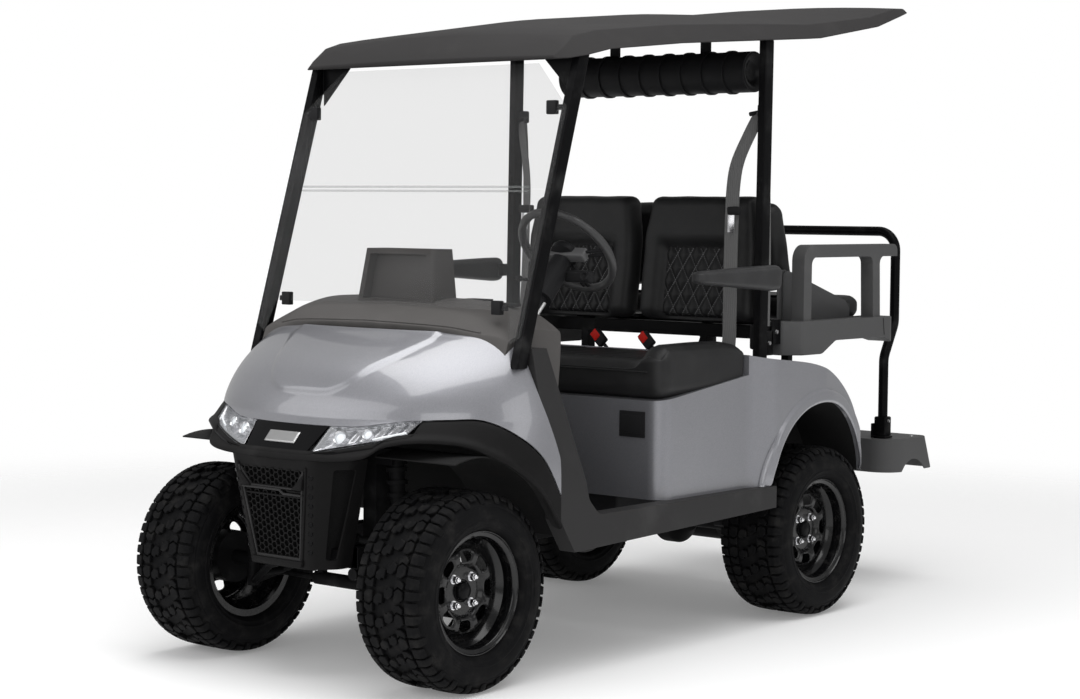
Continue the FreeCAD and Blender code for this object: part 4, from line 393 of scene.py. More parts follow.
@dataclass(frozen=True)
class Enamel(Finish):
    """Gloss black enamel of the steel wheels, with road dust in it."""

    roughness: float = 0.22

    def shade(self, graph: Graph) -> bpy.types.Material:
        """Dust dulls the gloss in patches."""
        dust = graph.noise(30.0, 6.0, 0.65).ramp(0.45, 0.8)
        return graph.surface({
            "Base Color": graph.blend(dust * 0.3, self.colour, (0.06, 0.058, 0.055)),
            "Roughness": dust * 0.2 + self.roughness, "Coat Weight": 0.3, "Coat Roughness": 0.08,
                              "Specular IOR Level": 0.25,
            "Normal": graph.bump(graph.noise(350.0, 2.0), 0.00003),
        })


@dataclass(frozen=True)
class Plated(Finish):
    """Bright plated or machined metal."""

    roughness: float = 0.14

    def shade(self, graph: Graph) -> bpy.types.Material:
        """Smears and fine scratches change the gloss."""
        smear = graph.noise(40.0, 4.0)
        scratch = graph.noise(700.0, 2.0, vector=graph.scaled((1.0, 0.15, 1.0)))
        return graph.surface({
            "Base Color": graph.blend(smear * 0.3, self.colour, (0.45, 0.45, 0.46)), "Metallic": 1.0,
            "Roughness": smear * 0.12 + scratch * 0.06 + self.roughness,
            "Normal": graph.bump(scratch, 0.00002),
        })


class Sewing(Enum):
    """Pattern sewn into a vinyl panel."""

    PLAIN = "plain"
    DIAMONDS = "diamonds"
    CHANNELS = "channels"


@dataclass(frozen=True)
class Vinyl(Finish):
    """Vinyl of the seats with a leather grain, and a sewn pattern where a panel has one."""

    sewing: Sewing = Sewing.PLAIN
    thread: Colour = (0.16, 0.16, 0.165)
    pitch: Pair = (0.052, 0.088)
    centre: Pair = (0.0, 0.0)

    def lines(self, graph: Graph) -> tuple[Value, Value]:
        """Distance from the sewn lines and the place along them.

        Returns:
            Puff of the padding, nought at a line, and mask of the thread.
        """
        x, y, z = graph.axes()
        wide, high = self.pitch
        if self.sewing is Sewing.CHANNELS:
            puff = abs((x / wide).fraction() - 0.5) * 2.0
            dash = (y / 0.007).fraction() > 0.35
            return (1.0 - puff).ramp(0.0, 0.5), (1.0 - (1.0 - puff).ramp(0.0, 0.06)) * dash
        across = (abs(x) - self.centre[0]) / wide
        rise = (z - self.centre[1]) / high
        first = abs((across + rise).fraction() - 0.5) * 2.0
        second = abs((across - rise).fraction() - 0.5) * 2.0
        near = (1.0 - first).maths("MINIMUM", 1.0 - second)
        dash = (z / 0.006).fraction() > 0.4
        return near.ramp(0.0, 0.45), (1.0 - near.ramp(0.02, 0.07)) * dash

    def shade(self, graph: Graph) -> bpy.types.Material:
        """Grain, wrinkles and, on sewn panels, padding between rows of thread."""
        grain = graph.cells(520.0, "SMOOTH_F1")
        wrinkle = graph.noise(14.0, 5.0, 0.55)
        height = grain * 0.12 + wrinkle * 0.15
        colour = graph.blend(wrinkle.ramp(0.35, 0.8) * 0.5, self.colour, tuple(c * 1.9 for c in self.colour))
        depth = 0.002
        if self.sewing is not Sewing.PLAIN:
            puff, thread = self.lines(graph)
            height = height * 0.5 + puff * 0.6
            depth = 0.003
            colour = graph.blend(thread, colour, self.thread)
        return graph.surface({
            "Base Color": colour, "Roughness": grain * 0.12 + wrinkle * 0.16 + 0.32,
            "Specular IOR Level": 0.22, "Normal": graph.bump(height, depth),
        })


@dataclass(frozen=True)
class TyreRubber(Finish):
    """Tyre rubber with a trace of dust in its grooves."""

    def shade(self, graph: Graph) -> bpy.types.Material:
        """Fine pitting with dusty patches."""
        pit = graph.noise(800.0, 3.0)
        dust = graph.noise(22.0, 6.0, 0.65).ramp(0.45, 0.8)
        return graph.surface({
            "Base Color": graph.blend(dust * 0.35, self.colour, (0.045, 0.043, 0.041)),
            "Roughness": pit * 0.12 + dust * 0.18 + 0.55, "Specular IOR Level": 0.06,
            "Normal": graph.bump(pit, 0.0003),
        })


@dataclass(frozen=True)
class RibbedMat(Finish):
    """Rubber floor mat with ribs along the cart."""

    pitch: float = 0.014

    def shade(self, graph: Graph) -> bpy.types.Material:
        """Ribs in the normal, with dust between them."""
        x, _, _ = graph.axes()
        rib = abs((x / self.pitch).fraction() - 0.5) * 2.0
        dust = graph.noise(18.0, 5.0)
        return graph.surface({
            "Base Color": graph.blend((1.0 - rib) * dust * 0.5, self.colour, (0.07, 0.068, 0.062)),
            "Roughness": dust * 0.2 + 0.55, "Normal": graph.bump(rib.ramp(0.25, 0.6), 0.0018),
        })


@dataclass(frozen=True)
class ClearSheet(Finish):
    """Clear moulded sheet: faint at the front, stronger where it is seen aslant."""

    body: float = 0.12
    gloss: float = 0.5

    def shade(self, graph: Graph) -> bpy.types.Material:
        """Cover grows with the slant and a little with smears."""
        slant = graph.value("ShaderNodeLayerWeight", None, {"Blend": 0.35}, "Fresnel")
        smear = graph.noise(2.5, 5.0, 0.6).ramp(0.4, 0.75)
        return graph.surface({
            "Base Color": graph.blend(smear * 0.2, self.colour, (0.5, 0.51, 0.52)),
            "Alpha": slant * self.gloss + smear * 0.012 + self.body, "Roughness": smear * 0.04 + 0.03,
            "Specular IOR Level": 0.25, "IOR": 1.5,
        })


@dataclass(frozen=True)
class Woven(Finish):
    """Belt webbing with fine ribs across it."""

    pitch: float = 0.0022

    def shade(self, graph: Graph) -> bpy.types.Material:
        """Warp ribs along and weft ribs across the strap."""
        x, _, z = graph.axes()
        weft = (z * (6.2832 / self.pitch)).sine() * 0.5 + 0.5
        warp = (x * (6.2832 / 0.0065)).sine() * 0.5 + 0.5
        return graph.surface({
            "Base Color": graph.blend(weft * 0.4 + warp * 0.35, self.colour,
                                      tuple(c * 0.55 for c in self.colour)),
            "Roughness": weft * 0.1 + 0.7, "Sheen Weight": 0.2, "Normal": graph.bump(weft + warp, 0.0006),
        })


@dataclass(frozen=True)
class Lit(Finish):
    """Small lamp element that glows faintly behind its lens."""

    strength: float = 0.5

    def shade(self, graph: Graph) -> bpy.types.Material:
        """Glow with a fluted face."""
        flute = abs((graph.axes()[0] / 0.004).fraction() - 0.5) * 2.0
        return graph.surface({
            "Base Color": graph.blend(flute * 0.4, self.colour, (0.6, 0.62, 0.64)),
                              "Emission Color": self.colour,
            "Emission Strength": self.strength, "Roughness": flute * 0.1 + 0.15,
            "Normal": graph.bump(flute, 0.0008),
        })


@dataclass(frozen=True)
class GlossPlastic(Finish):
    """Smooth gloss or satin plastic with faint swirls."""

    roughness: float = 0.2

    def shade(self, graph: Graph) -> bpy.types.Material:
        """Swirls change the gloss."""
        swirl = graph.noise(25.0, 4.0)
        fine = graph.noise(500.0, 2.0)
        return graph.surface({
            "Base Color": graph.blend(swirl * 0.3, self.colour,
                                      tuple(min(1.0, c * 1.6) for c in self.colour)),
            "Roughness": swirl * 0.12 + fine * 0.05 + (self.roughness - 0.05), "Specular IOR Level": 0.08,
            "Normal": graph.bump(fine, 0.00003),
        })


PAINT = MetallicPaint("silver_paint", (0.175, 0.176, 0.196))
TRIM = GrainedPlastic("dark_trim_plastic", (0.0085, 0.0083, 0.0085), roughness=0.46,
                      rub=(0.034, 0.033, 0.033), gloss=0.06)
EDGE_TRIM = GrainedPlastic("edge_trim_plastic", (0.026, 0.0255, 0.026), roughness=0.42,
                           rub=(0.08, 0.08, 0.08))
LINER = GrainedPlastic("liner_plastic", (0.012, 0.012, 0.0125), 300.0, 0.0004, 0.7, (0.04, 0.038, 0.035))
# Same plastic as the tower, its colour raised as a painted sheen on the top of the dash.
DASH_WITH_PAINTED_SHEEN = GrainedPlastic("dash_plastic", (0.085, 0.081, 0.079), 700.0, 0.0002, 0.48, (0.15, 0.144, 0.14))
TOWER = GrainedPlastic("tower_plastic", (0.055, 0.052, 0.051), 700.0, 0.0002, 0.48, (0.11, 0.104, 0.1))
ROCKER = GrainedPlastic("rocker_plastic", (0.028, 0.0275, 0.028), roughness=0.46, rub=(0.07, 0.069, 0.069),
                        gloss=0.1)
ROOF = GrainedPlastic("roof_plastic", (0.03, 0.029, 0.0293), 500.0, 0.0003, 0.6, (0.05, 0.048, 0.048), 0.05)
TRAY = GrainedPlastic("tray_plastic", (0.08, 0.08, 0.081), 600.0, 0.0003, 0.5, (0.15, 0.15, 0.15))
# Bin plastic made lighter: painted light on the slanted side panels, which sit in shade.
PANEL_WITH_PAINTED_LIGHT = GrainedPlastic("panel_plastic", (0.09, 0.09, 0.092), 600.0, 0.0003, 0.5, (0.12, 0.12, 0.12))
STEEL = SatinCoat("black_steel", (0.0035, 0.0035, 0.004), 0.36)
CHASSIS = SatinCoat("chassis_paint", (0.008, 0.008, 0.0085), 0.5, 0.00015)
WHEEL_ENAMEL = Enamel("wheel_enamel", (0.003, 0.003, 0.0035))
BOWL = Plated("lamp_bowl", (0.5, 0.5, 0.52), 0.16)
CHROME = Plated("bright_plating", (0.8, 0.8, 0.82))
ZINC = Plated("dull_plating", (0.5, 0.5, 0.5), 0.3)
TYRE = TyreRubber("tyre_rubber", (0.0055, 0.0055, 0.006))
SEAT_VINYL = Vinyl("seat_vinyl", (0.017, 0.017, 0.0175))
ARM_VINYL = Vinyl("armrest_vinyl", (0.03, 0.03, 0.031))
QUILT_CLOTH = Vinyl("quilted_vinyl", (0.013, 0.013, 0.0135), Sewing.DIAMONDS, centre=(0.258, 1.1))
BENCH_QUILT = Vinyl("bench_inset_vinyl", (0.012, 0.012, 0.0125), Sewing.CHANNELS, pitch=(0.075, 0.05))
MAT = RibbedMat("floor_mat_rubber", (0.018, 0.018, 0.018))
SCREEN = ClearSheet("clear_screen", (0.1, 0.1, 0.1), 0.11, 0.0)
CLEAR_TRIM = ClearSheet("clear_edge", (0.3, 0.31, 0.31), 0.2, 0.1)
LENS = ClearSheet("lamp_lens", (0.5, 0.52, 0.54), 0.03, 0.16)
WEBBING = Woven("belt_webbing", (0.15, 0.15, 0.15))
GLOW = Lit("lamp_element", (0.85, 0.88, 0.9))
GLOSS_BLACK = GlossPlastic("gloss_black", (0.005, 0.005, 0.0055))
SATIN_BLACK = GlossPlastic("satin_black", (0.016, 0.016, 0.017), 0.42)
# Dark grip plastic with real gloss; its colour is also raised as a painted highlight along the rim.
GRIP_WITH_PAINTED_HIGHLIGHT = GrainedPlastic("grip_plastic", (0.035, 0.035, 0.036), 900.0, 0.0001, 0.4, (0.08, 0.08, 0.08), 0.5)
# Grey pad plastic, made lighter still as painted light, since the pad sits in shade.
WING_WITH_PAINTED_LIGHT = GrainedPlastic("wing_plastic", (0.11, 0.11, 0.112), 900.0, 0.0001, 0.45, (0.2, 0.2, 0.2), 0.4)
RED = GlossPlastic("buckle_red", (0.55, 0.02, 0.015), 0.35)


class Plane(Enum):
    """Plane that an outline lies in; the prism grows along the third axis."""

    SIDE = "yz along x"
    FRONT = "xz along y"
    TOP = "xy along z"

    def point(self, first: float, second: float, depth: float) -> Vector:
        """Point of the outline at a depth along the third axis."""
        if self is Plane.SIDE:
            return Vector((depth, first, second))
        if self is Plane.FRONT:
            return Vector((first, depth, second))
        return Vector((first, second, depth))


class Form:
    """Mesh under construction, in metres and in the cart's frame."""

    def __init__(self) -> None:
        """Starts empty."""
        self.bm = bmesh.new()

    def sheet(self, columns: int, rows: int, place: Place) -> Points:
        """Adds a grid laid on a surface.

        Args:
            columns: Squares along the first share.
            rows: Squares along the second share.
            place: Point of the surface for two shares from nought to one.

        Returns:
            The new vertices.
        """
        made = bmesh.ops.create_grid(self.bm, x_segments=columns, y_segments=rows, size=0.5)["verts"]
        for vert in made:
            vert.co = place(vert.co.x + 0.5, vert.co.y + 0.5)
        return made

    def shell(self, columns: int, rows: int, place: Place, away: Triple, thickness: float) -> Points:
        """Adds a grid laid on a surface, with a thickness behind its faces.

        Args:
            columns: Squares along the first share.
            rows: Squares along the second share.
            place: Point of the surface for two shares from nought to one.
            away: Point that the faces look away from.
            thickness: Thickness behind the faces.

        Returns:
            The vertices of the face.
        """
        made = self.sheet(columns, rows, place)
        self.outward(made, away)
        self.wall(made, thickness)
        return made

    def box(self, low: Triple, high: Triple, bevel: float = 0.0, segments: int = 2) -> Points:
        """Adds a block.

        Args:
            low: Its lower corner.
            high: Its upper corner.
            bevel: Width of the rounding of its edges.
            segments: Steps across the rounding.

        Returns:
            The new vertices.
        """
        made = bmesh.ops.create_cube(self.bm, size=1.0)["verts"]
        for vert in made:
            vert.co = Vector([mix(low[k], high[k], vert.co[k] + 0.5) for k in range(3)])
        return self.rounded(made, bevel, segments)

    def block(self, side: int, low: Triple, high: Triple, bevel: float = 0.0, segments: int = 2) -> Points:
        """Adds a block on one side of the cart.

        Args:
            side: One for the left side, minus one for the right.
            low: Corner of the left one, with Y as a distance behind the front axle.
            high: Its opposite corner.
            bevel: Width of the rounding of its edges.
            segments: Steps across the rounding.

        Returns:
            The new vertices.
        """
        inner, outer = sorted((side * low[0], side * high[0]))
        return self.box(spot((inner, *low[1:])), spot((outer, *high[1:])), bevel, segments)

    def rounded(self, verts: Iterable[bmesh.types.BMVert], bevel: float, segments: int = 2,
                sharp: float = 30.0) -> Points:
        """Rounds the sharp edges between vertices.

        Args:
            verts: Vertices of one closed piece.
            bevel: Width of the rounding, or nought for none.
            segments: Steps across the rounding.
            sharp: Least angle in degrees of an edge that is rounded.

        Returns:
            All vertices of the piece.
        """
        verts = list(verts)
        if bevel <= 0:
            return verts
        chosen = set(verts)
        edges = {e for v in verts for e in v.link_edges if e.other_vert(v) in chosen}
        edges = [e for e in edges if len(e.link_faces) == 2 and math.degrees(e.calc_face_angle(0.0)) > sharp]
        others = set(self.bm.verts) - chosen
        bmesh.ops.bevel(self.bm, geom=edges, offset=bevel, segments=segments, affect="EDGES", profile=0.5,
                        material=-1, clamp_overlap=True)
        return [v for v in self.bm.verts if v not in others]

    def prism(self, outline: Sequence[Pair], plane: Plane, low: float, high: float, bevel: float = 0.0,
              segments: int = 2) -> Points:
        """Adds a prism over a flat outline.

        Args:
            outline: Corners of the outline in its plane.
            plane: Plane of the outline.
            low: Where it starts along the third axis.
            high: Where it ends.
            bevel: Width of the rounding of its edges.
            segments: Steps across the rounding.

        Returns:
            The new vertices.
        """
        corners = [self.bm.verts.new(plane.point(a, b, low)) for a, b in outline]
        face = self.bm.faces.new(corners)
        grown = bmesh.ops.extrude_face_region(self.bm, geom=[face])["geom"]
        tops = [v for v in grown if isinstance(v, bmesh.types.BMVert)]
        bmesh.ops.translate(self.bm, verts=tops, vec=plane.point(0, 0, high - low))
        return self.rounded(self.closed(corners + tops), bevel, segments)

    def closed(self, verts: Points) -> Points:
        """Turns the faces of a closed piece outwards and returns its vertices."""
        bmesh.ops.recalc_face_normals(self.bm, faces=list({f for v in verts for f in v.link_faces}))
        return verts

    def between(self, verts: Iterable[bmesh.types.BMVert]) -> list[bmesh.types.BMFace]:
        """Faces whose corners are all among the vertices."""
        chosen = set(verts)
        return [f for f in self.bm.faces if all(v in chosen for v in f.verts)]

    def node(self, name: str, bevel: float = 0.0, segments: int = 2, sharp: float = 28.0) -> Points:
        """Adds a merged copy of a node's mesh with its edges rounded.

        Args:
            name: Node that is copied.
            bevel: Width of the rounding.
            segments: Steps across it.
            sharp: Least angle of an edge that is rounded.

        Returns:
            The new vertices.
        """
        others = set(self.bm.verts)
        self.bm.from_mesh(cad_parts[name].data)
        made = [v for v in self.bm.verts if v not in others]
        bmesh.ops.remove_doubles(self.bm, verts=made, dist=2e-5)
        made = [v for v in self.bm.verts if v not in others]
        edges = list({e for v in made for e in v.link_edges})
        bmesh.ops.dissolve_limit(self.bm, angle_limit=math.radians(0.6), verts=made, edges=edges)
        return self.rounded([v for v in self.bm.verts if v not in others], bevel, segments, sharp)

    def lathe(self, profile: Sequence[Pair], centre: Triple, axis: Triple, steps: int = 64,
              closed: bool = True) -> Points:
        """Spins a profile about an axis.

        Args:
            profile: Rows of (radius, place along the axis).
            centre: Origin of the axis.
            axis: Direction of the axis.
            steps: Steps of a full turn.
            closed: Joins the profile's last point to its first.

        Returns:
            The new vertices.
        """
        others = set(self.bm.verts)
        direction = Vector(axis).normalized()
        side = direction.orthogonal().normalized()
        base = Vector(centre)
        verts = [self.bm.verts.new(base + side * radius + direction * place) for radius, place in profile]
        pairs = list(zip(verts, verts[1:])) + ([(verts[-1], verts[0])] if closed else [])
        edges = [self.bm.edges.new(pair) for pair in pairs]
        bmesh.ops.spin(self.bm, geom=verts + edges, cent=base, axis=direction, angle=math.tau, steps=steps,
                       use_merge=True, use_duplicate=False)
        made = [v for v in self.bm.verts if v not in others]
        bmesh.ops.remove_doubles(self.bm, verts=made, dist=1e-5)
        return self.closed([v for v in self.bm.verts if v not in others])

    def bolt(self, rows: Sequence[Pair], place: Triple, axis: Triple, sides: int = 6) -> Points:
        """Adds a bolt head or a knob.

        Args:
            rows: Outer rows of (radius, place along the axis), from its top down.
            place: Middle of its seat.
            axis: Direction that it points in.
            sides: Steps of a full turn.

        Returns:
            The new vertices.
        """
        return self.lathe(rows, place, axis, sides, False)

    def tube(self, path: Sequence[Triple], radius: float, sides: int = 16, bend: float = 0.0,
             steps: int = 6, ring: bool = False) -> Points:
        """Runs a round section along a path.

        Args:
            path: Points of the path.
            radius: Radius of the section.
            sides: Sides of the section.
            bend: Radius of the bends at the inner points.
            steps: Steps of each bend.
            ring: Joins the end to the start.

        Returns:
            The new vertices.
        """
        points = rounded_path([Vector(p) for p in path], bend, steps) if bend else [Vector(p) for p in path]
        others = set(self.bm.verts)
        count = len(points)
        ahead = [(points[(i + 1) % count] - points[i]) for i in range(count)]
        heading = []
        for i in range(count):
            if not ring and i in (0, count - 1):
                heading.append(ahead[min(i, count - 2)].normalized())
            else:
                heading.append((ahead[i].normalized() + ahead[i - 1].normalized()).normalized())
        first = bmesh.ops.create_circle(self.bm, segments=sides, radius=radius, cap_ends=False)["verts"]
        frame_turn = Vector((0, 0, 1)).rotation_difference(heading[0])
        flat = [frame_turn @ v.co for v in first]
        for vert, place in zip(first, flat):
            vert.co = place + points[0]
        edges = list({e for v in first for e in v.link_edges})
        previous = heading[0]
        for i in range(1, count):
            turn = previous.rotation_difference(heading[i])
            flat = [turn @ place for place in flat]
            previous = heading[i]
            grown = bmesh.ops.extrude_edge_only(self.bm, edges=edges)["geom"]
            new_verts = [v for v in grown if isinstance(v, bmesh.types.BMVert)]
            edges = [e for e in grown if isinstance(e, bmesh.types.BMEdge)]
            order = {v: k for k, v in enumerate(first)}
            current = []
            for vert in new_verts:
                below = next(e.other_vert(vert) for e in vert.link_edges if e.other_vert(vert) in order)
                vert.co = points[i] + flat[order[below]]
                current.append((order[below], vert))
            first = [v for _, v in sorted(current, key=lambda row: row[0])]
        made = [v for v in self.bm.verts if v not in others]
        boundary = [e for e in {e for v in made for e in v.link_edges} if e.is_boundary]
        if ring:
            bmesh.ops.bridge_loops(self.bm, edges=boundary)
        else:
            bmesh.ops.holes_fill(self.bm, edges=boundary, sides=sides)
        return self.closed(made)

    def ribbon(self, path: Sequence[Triple], half: float, thickness: float, across: Triple) -> None:
        """Adds a flat strap along a smooth path.

        Args:
            path: Points of the strap's middle, with Y as distances behind the front axle.
            half: Half of its width.
            thickness: Its thickness.
            across: Direction of its width.
        """
        rows = [(i / (len(path) - 1), *spot(p)) for i, p in enumerate(path)]
        wide = Vector(across).normalized()
        made = self.sheet(6, 48, lambda u, v: Vector(curve_at(rows, v)) + wide * (u * 2 - 1) * half)
        self.wall(made, thickness)

    def move(self, verts: Iterable[bmesh.types.BMVert], offset: Triple) -> None:
        """Moves vertices by an offset."""
        bmesh.ops.translate(self.bm, verts=list(verts), vec=Vector(offset))

    def turn(self, verts: Iterable[bmesh.types.BMVert], centre: Triple, axis: Triple, degrees: float) -> None:
        """Turns vertices about an axis through a centre."""
        bmesh.ops.rotate(self.bm, verts=list(verts), cent=Vector(centre),
                         matrix=Matrix.Rotation(math.radians(degrees), 3, Vector(axis)))

    def swell(self, verts: Iterable[bmesh.types.BMVert], lift: Callable[[Vector], float]) -> None:
        """Moves vertices along their normals.

        Args:
            verts: Vertices that move.
            lift: Length of the move for a vertex's place.
        """
        self.bm.normal_update()
        moves = [(v, v.co + v.normal * lift(v.co)) for v in verts]
        for vert, place in moves:
            vert.co = place

    def wall(self, verts: Iterable[bmesh.types.BMVert], thickness: float) -> None:
        """Gives an open sheet a thickness behind its faces.

        Args:
            verts: Vertices of the sheet.
            thickness: Its new thickness.
        """
        chosen = set(verts)
        faces = self.between(chosen)
        self.bm.normal_update()
        normals = {v.co.to_tuple(6): v.normal.copy() for v in chosen}
        grown = bmesh.ops.extrude_face_region(self.bm, geom=faces, use_keep_orig=True)["geom"]
        for vert in (item for item in grown if isinstance(item, bmesh.types.BMVert)):
            vert.co -= normals[vert.co.to_tuple(6)] * thickness
            chosen.add(vert)
        bmesh.ops.recalc_face_normals(self.bm, faces=list({f for v in chosen for f in v.link_faces}))

    def outward(self, verts: Iterable[bmesh.types.BMVert], away: Triple) -> None:
        """Turns an open sheet so that its faces look away from a point.

        Args:
            verts: Vertices of the sheet.
            away: The point behind it.
        """
        faces = self.between(verts)
        total = sum((f.calc_center_median() - Vector(away)).dot(f.normal) * f.calc_area()
                    for f in faces if f.normal_update() is None)
        if total < 0:
            bmesh.ops.reverse_faces(self.bm, faces=faces)

    def take(self, other: "Form") -> Points:
        """Adds the mesh of another form, which ends, and returns the new vertices."""
        mesh = bpy.data.meshes.new("taken")
        other.bm.to_mesh(mesh)
        other.bm.free()
        before = len(self.bm.verts)
        self.bm.from_mesh(mesh)
        bpy.data.meshes.remove(mesh)
        return self.bm.verts[:][before:]

    def finish(self, name: str, finish: Finish, body: str, nodes: Sequence[str] = (), sharp: float = 35.0,
               even: bool = False) -> bpy.types.Object:
        """Makes the object.

        Args:
            name: Plain name of the piece.
            finish: Its finish.
            body: Body that it rides on.
            nodes: Nodes that it stands for.
            sharp: Angle in degrees from which an edge stays sharp.
            even: Weighs the normals by area, so that flat faces stay flat between round edges.

        Returns:
            The new object.
        """
        mesh = bpy.data.meshes.new(name)
        self.bm.to_mesh(mesh)
        self.bm.free()
        mesh.shade_smooth()
        if sharp < 180:
            mesh.set_sharp_from_angle(angle=math.radians(sharp))
        piece = place_piece(name, mesh, finish, body, nodes)
        if even:
            piece.modifiers.new("even_faces", "WEIGHTED_NORMAL").keep_sharp = True
        return piece


def place_piece(name: str, mesh: bpy.types.Mesh, finish: Finish, body: str,
                nodes: Sequence[str]) -> bpy.types.Object:
    """Links a mesh as a piece of the cart.

    Args:
        name: Plain name of the piece.
        mesh: Its mesh.
        finish: Its finish.
        body: Body that it rides on.
        nodes: Nodes that it stands for.

    Returns:
        The new object.
    """
    mesh.materials.clear()
    mesh.materials.append(finish.material())
    piece = bpy.data.objects.new(name, mesh)
    bpy.context.scene.collection.objects.link(piece)
    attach(piece, body)
    if nodes:
        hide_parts(*nodes)
    log.info("piece %s, %d faces", name, len(mesh.polygons))
    return piece


def rounded_path(points: Sequence[Vector], bend: float, steps: int) -> list[Vector]:
    """Path with its inner corners rounded.

    Args:
        points: Corners of the path.
        bend: Wanted radius; a short run gets a smaller one.
        steps: Steps of each bend.

    Returns:
        Points along the rounded path.
    """
    out = [points[0]]
    for before, corner, after in zip(points, points[1:], points[2:]):
        first, second = (before - corner), (after - corner)
        angle = first.angle(second)
        if angle > math.pi - 0.02:
            out.append(corner)
            continue
        reach = min(bend / math.tan(angle / 2), first.length * 0.49, second.length * 0.49)
        start, stop = corner + first.normalized() * reach, corner + second.normalized() * reach
        middle = corner + (first.normalized() + second.normalized()).normalized() * (reach / math.cos(angle / 2))
        radius = reach * math.tan(angle / 2)
        for i in range(steps + 1):
            ray = (start - middle).normalized().slerp((stop - middle).normalized(), i / steps)
            out.append(middle + ray * radius)
    out.append(points[-1])
    return out


class Assembly:
    """Sub-assembly of the cart; its plain pieces are built first."""

    pieces: tuple["Softened", ...] = ()

    def build(self) -> None:
        """Builds the pieces that only have their edges rounded."""
        for piece in self.pieces:
            piece.build()


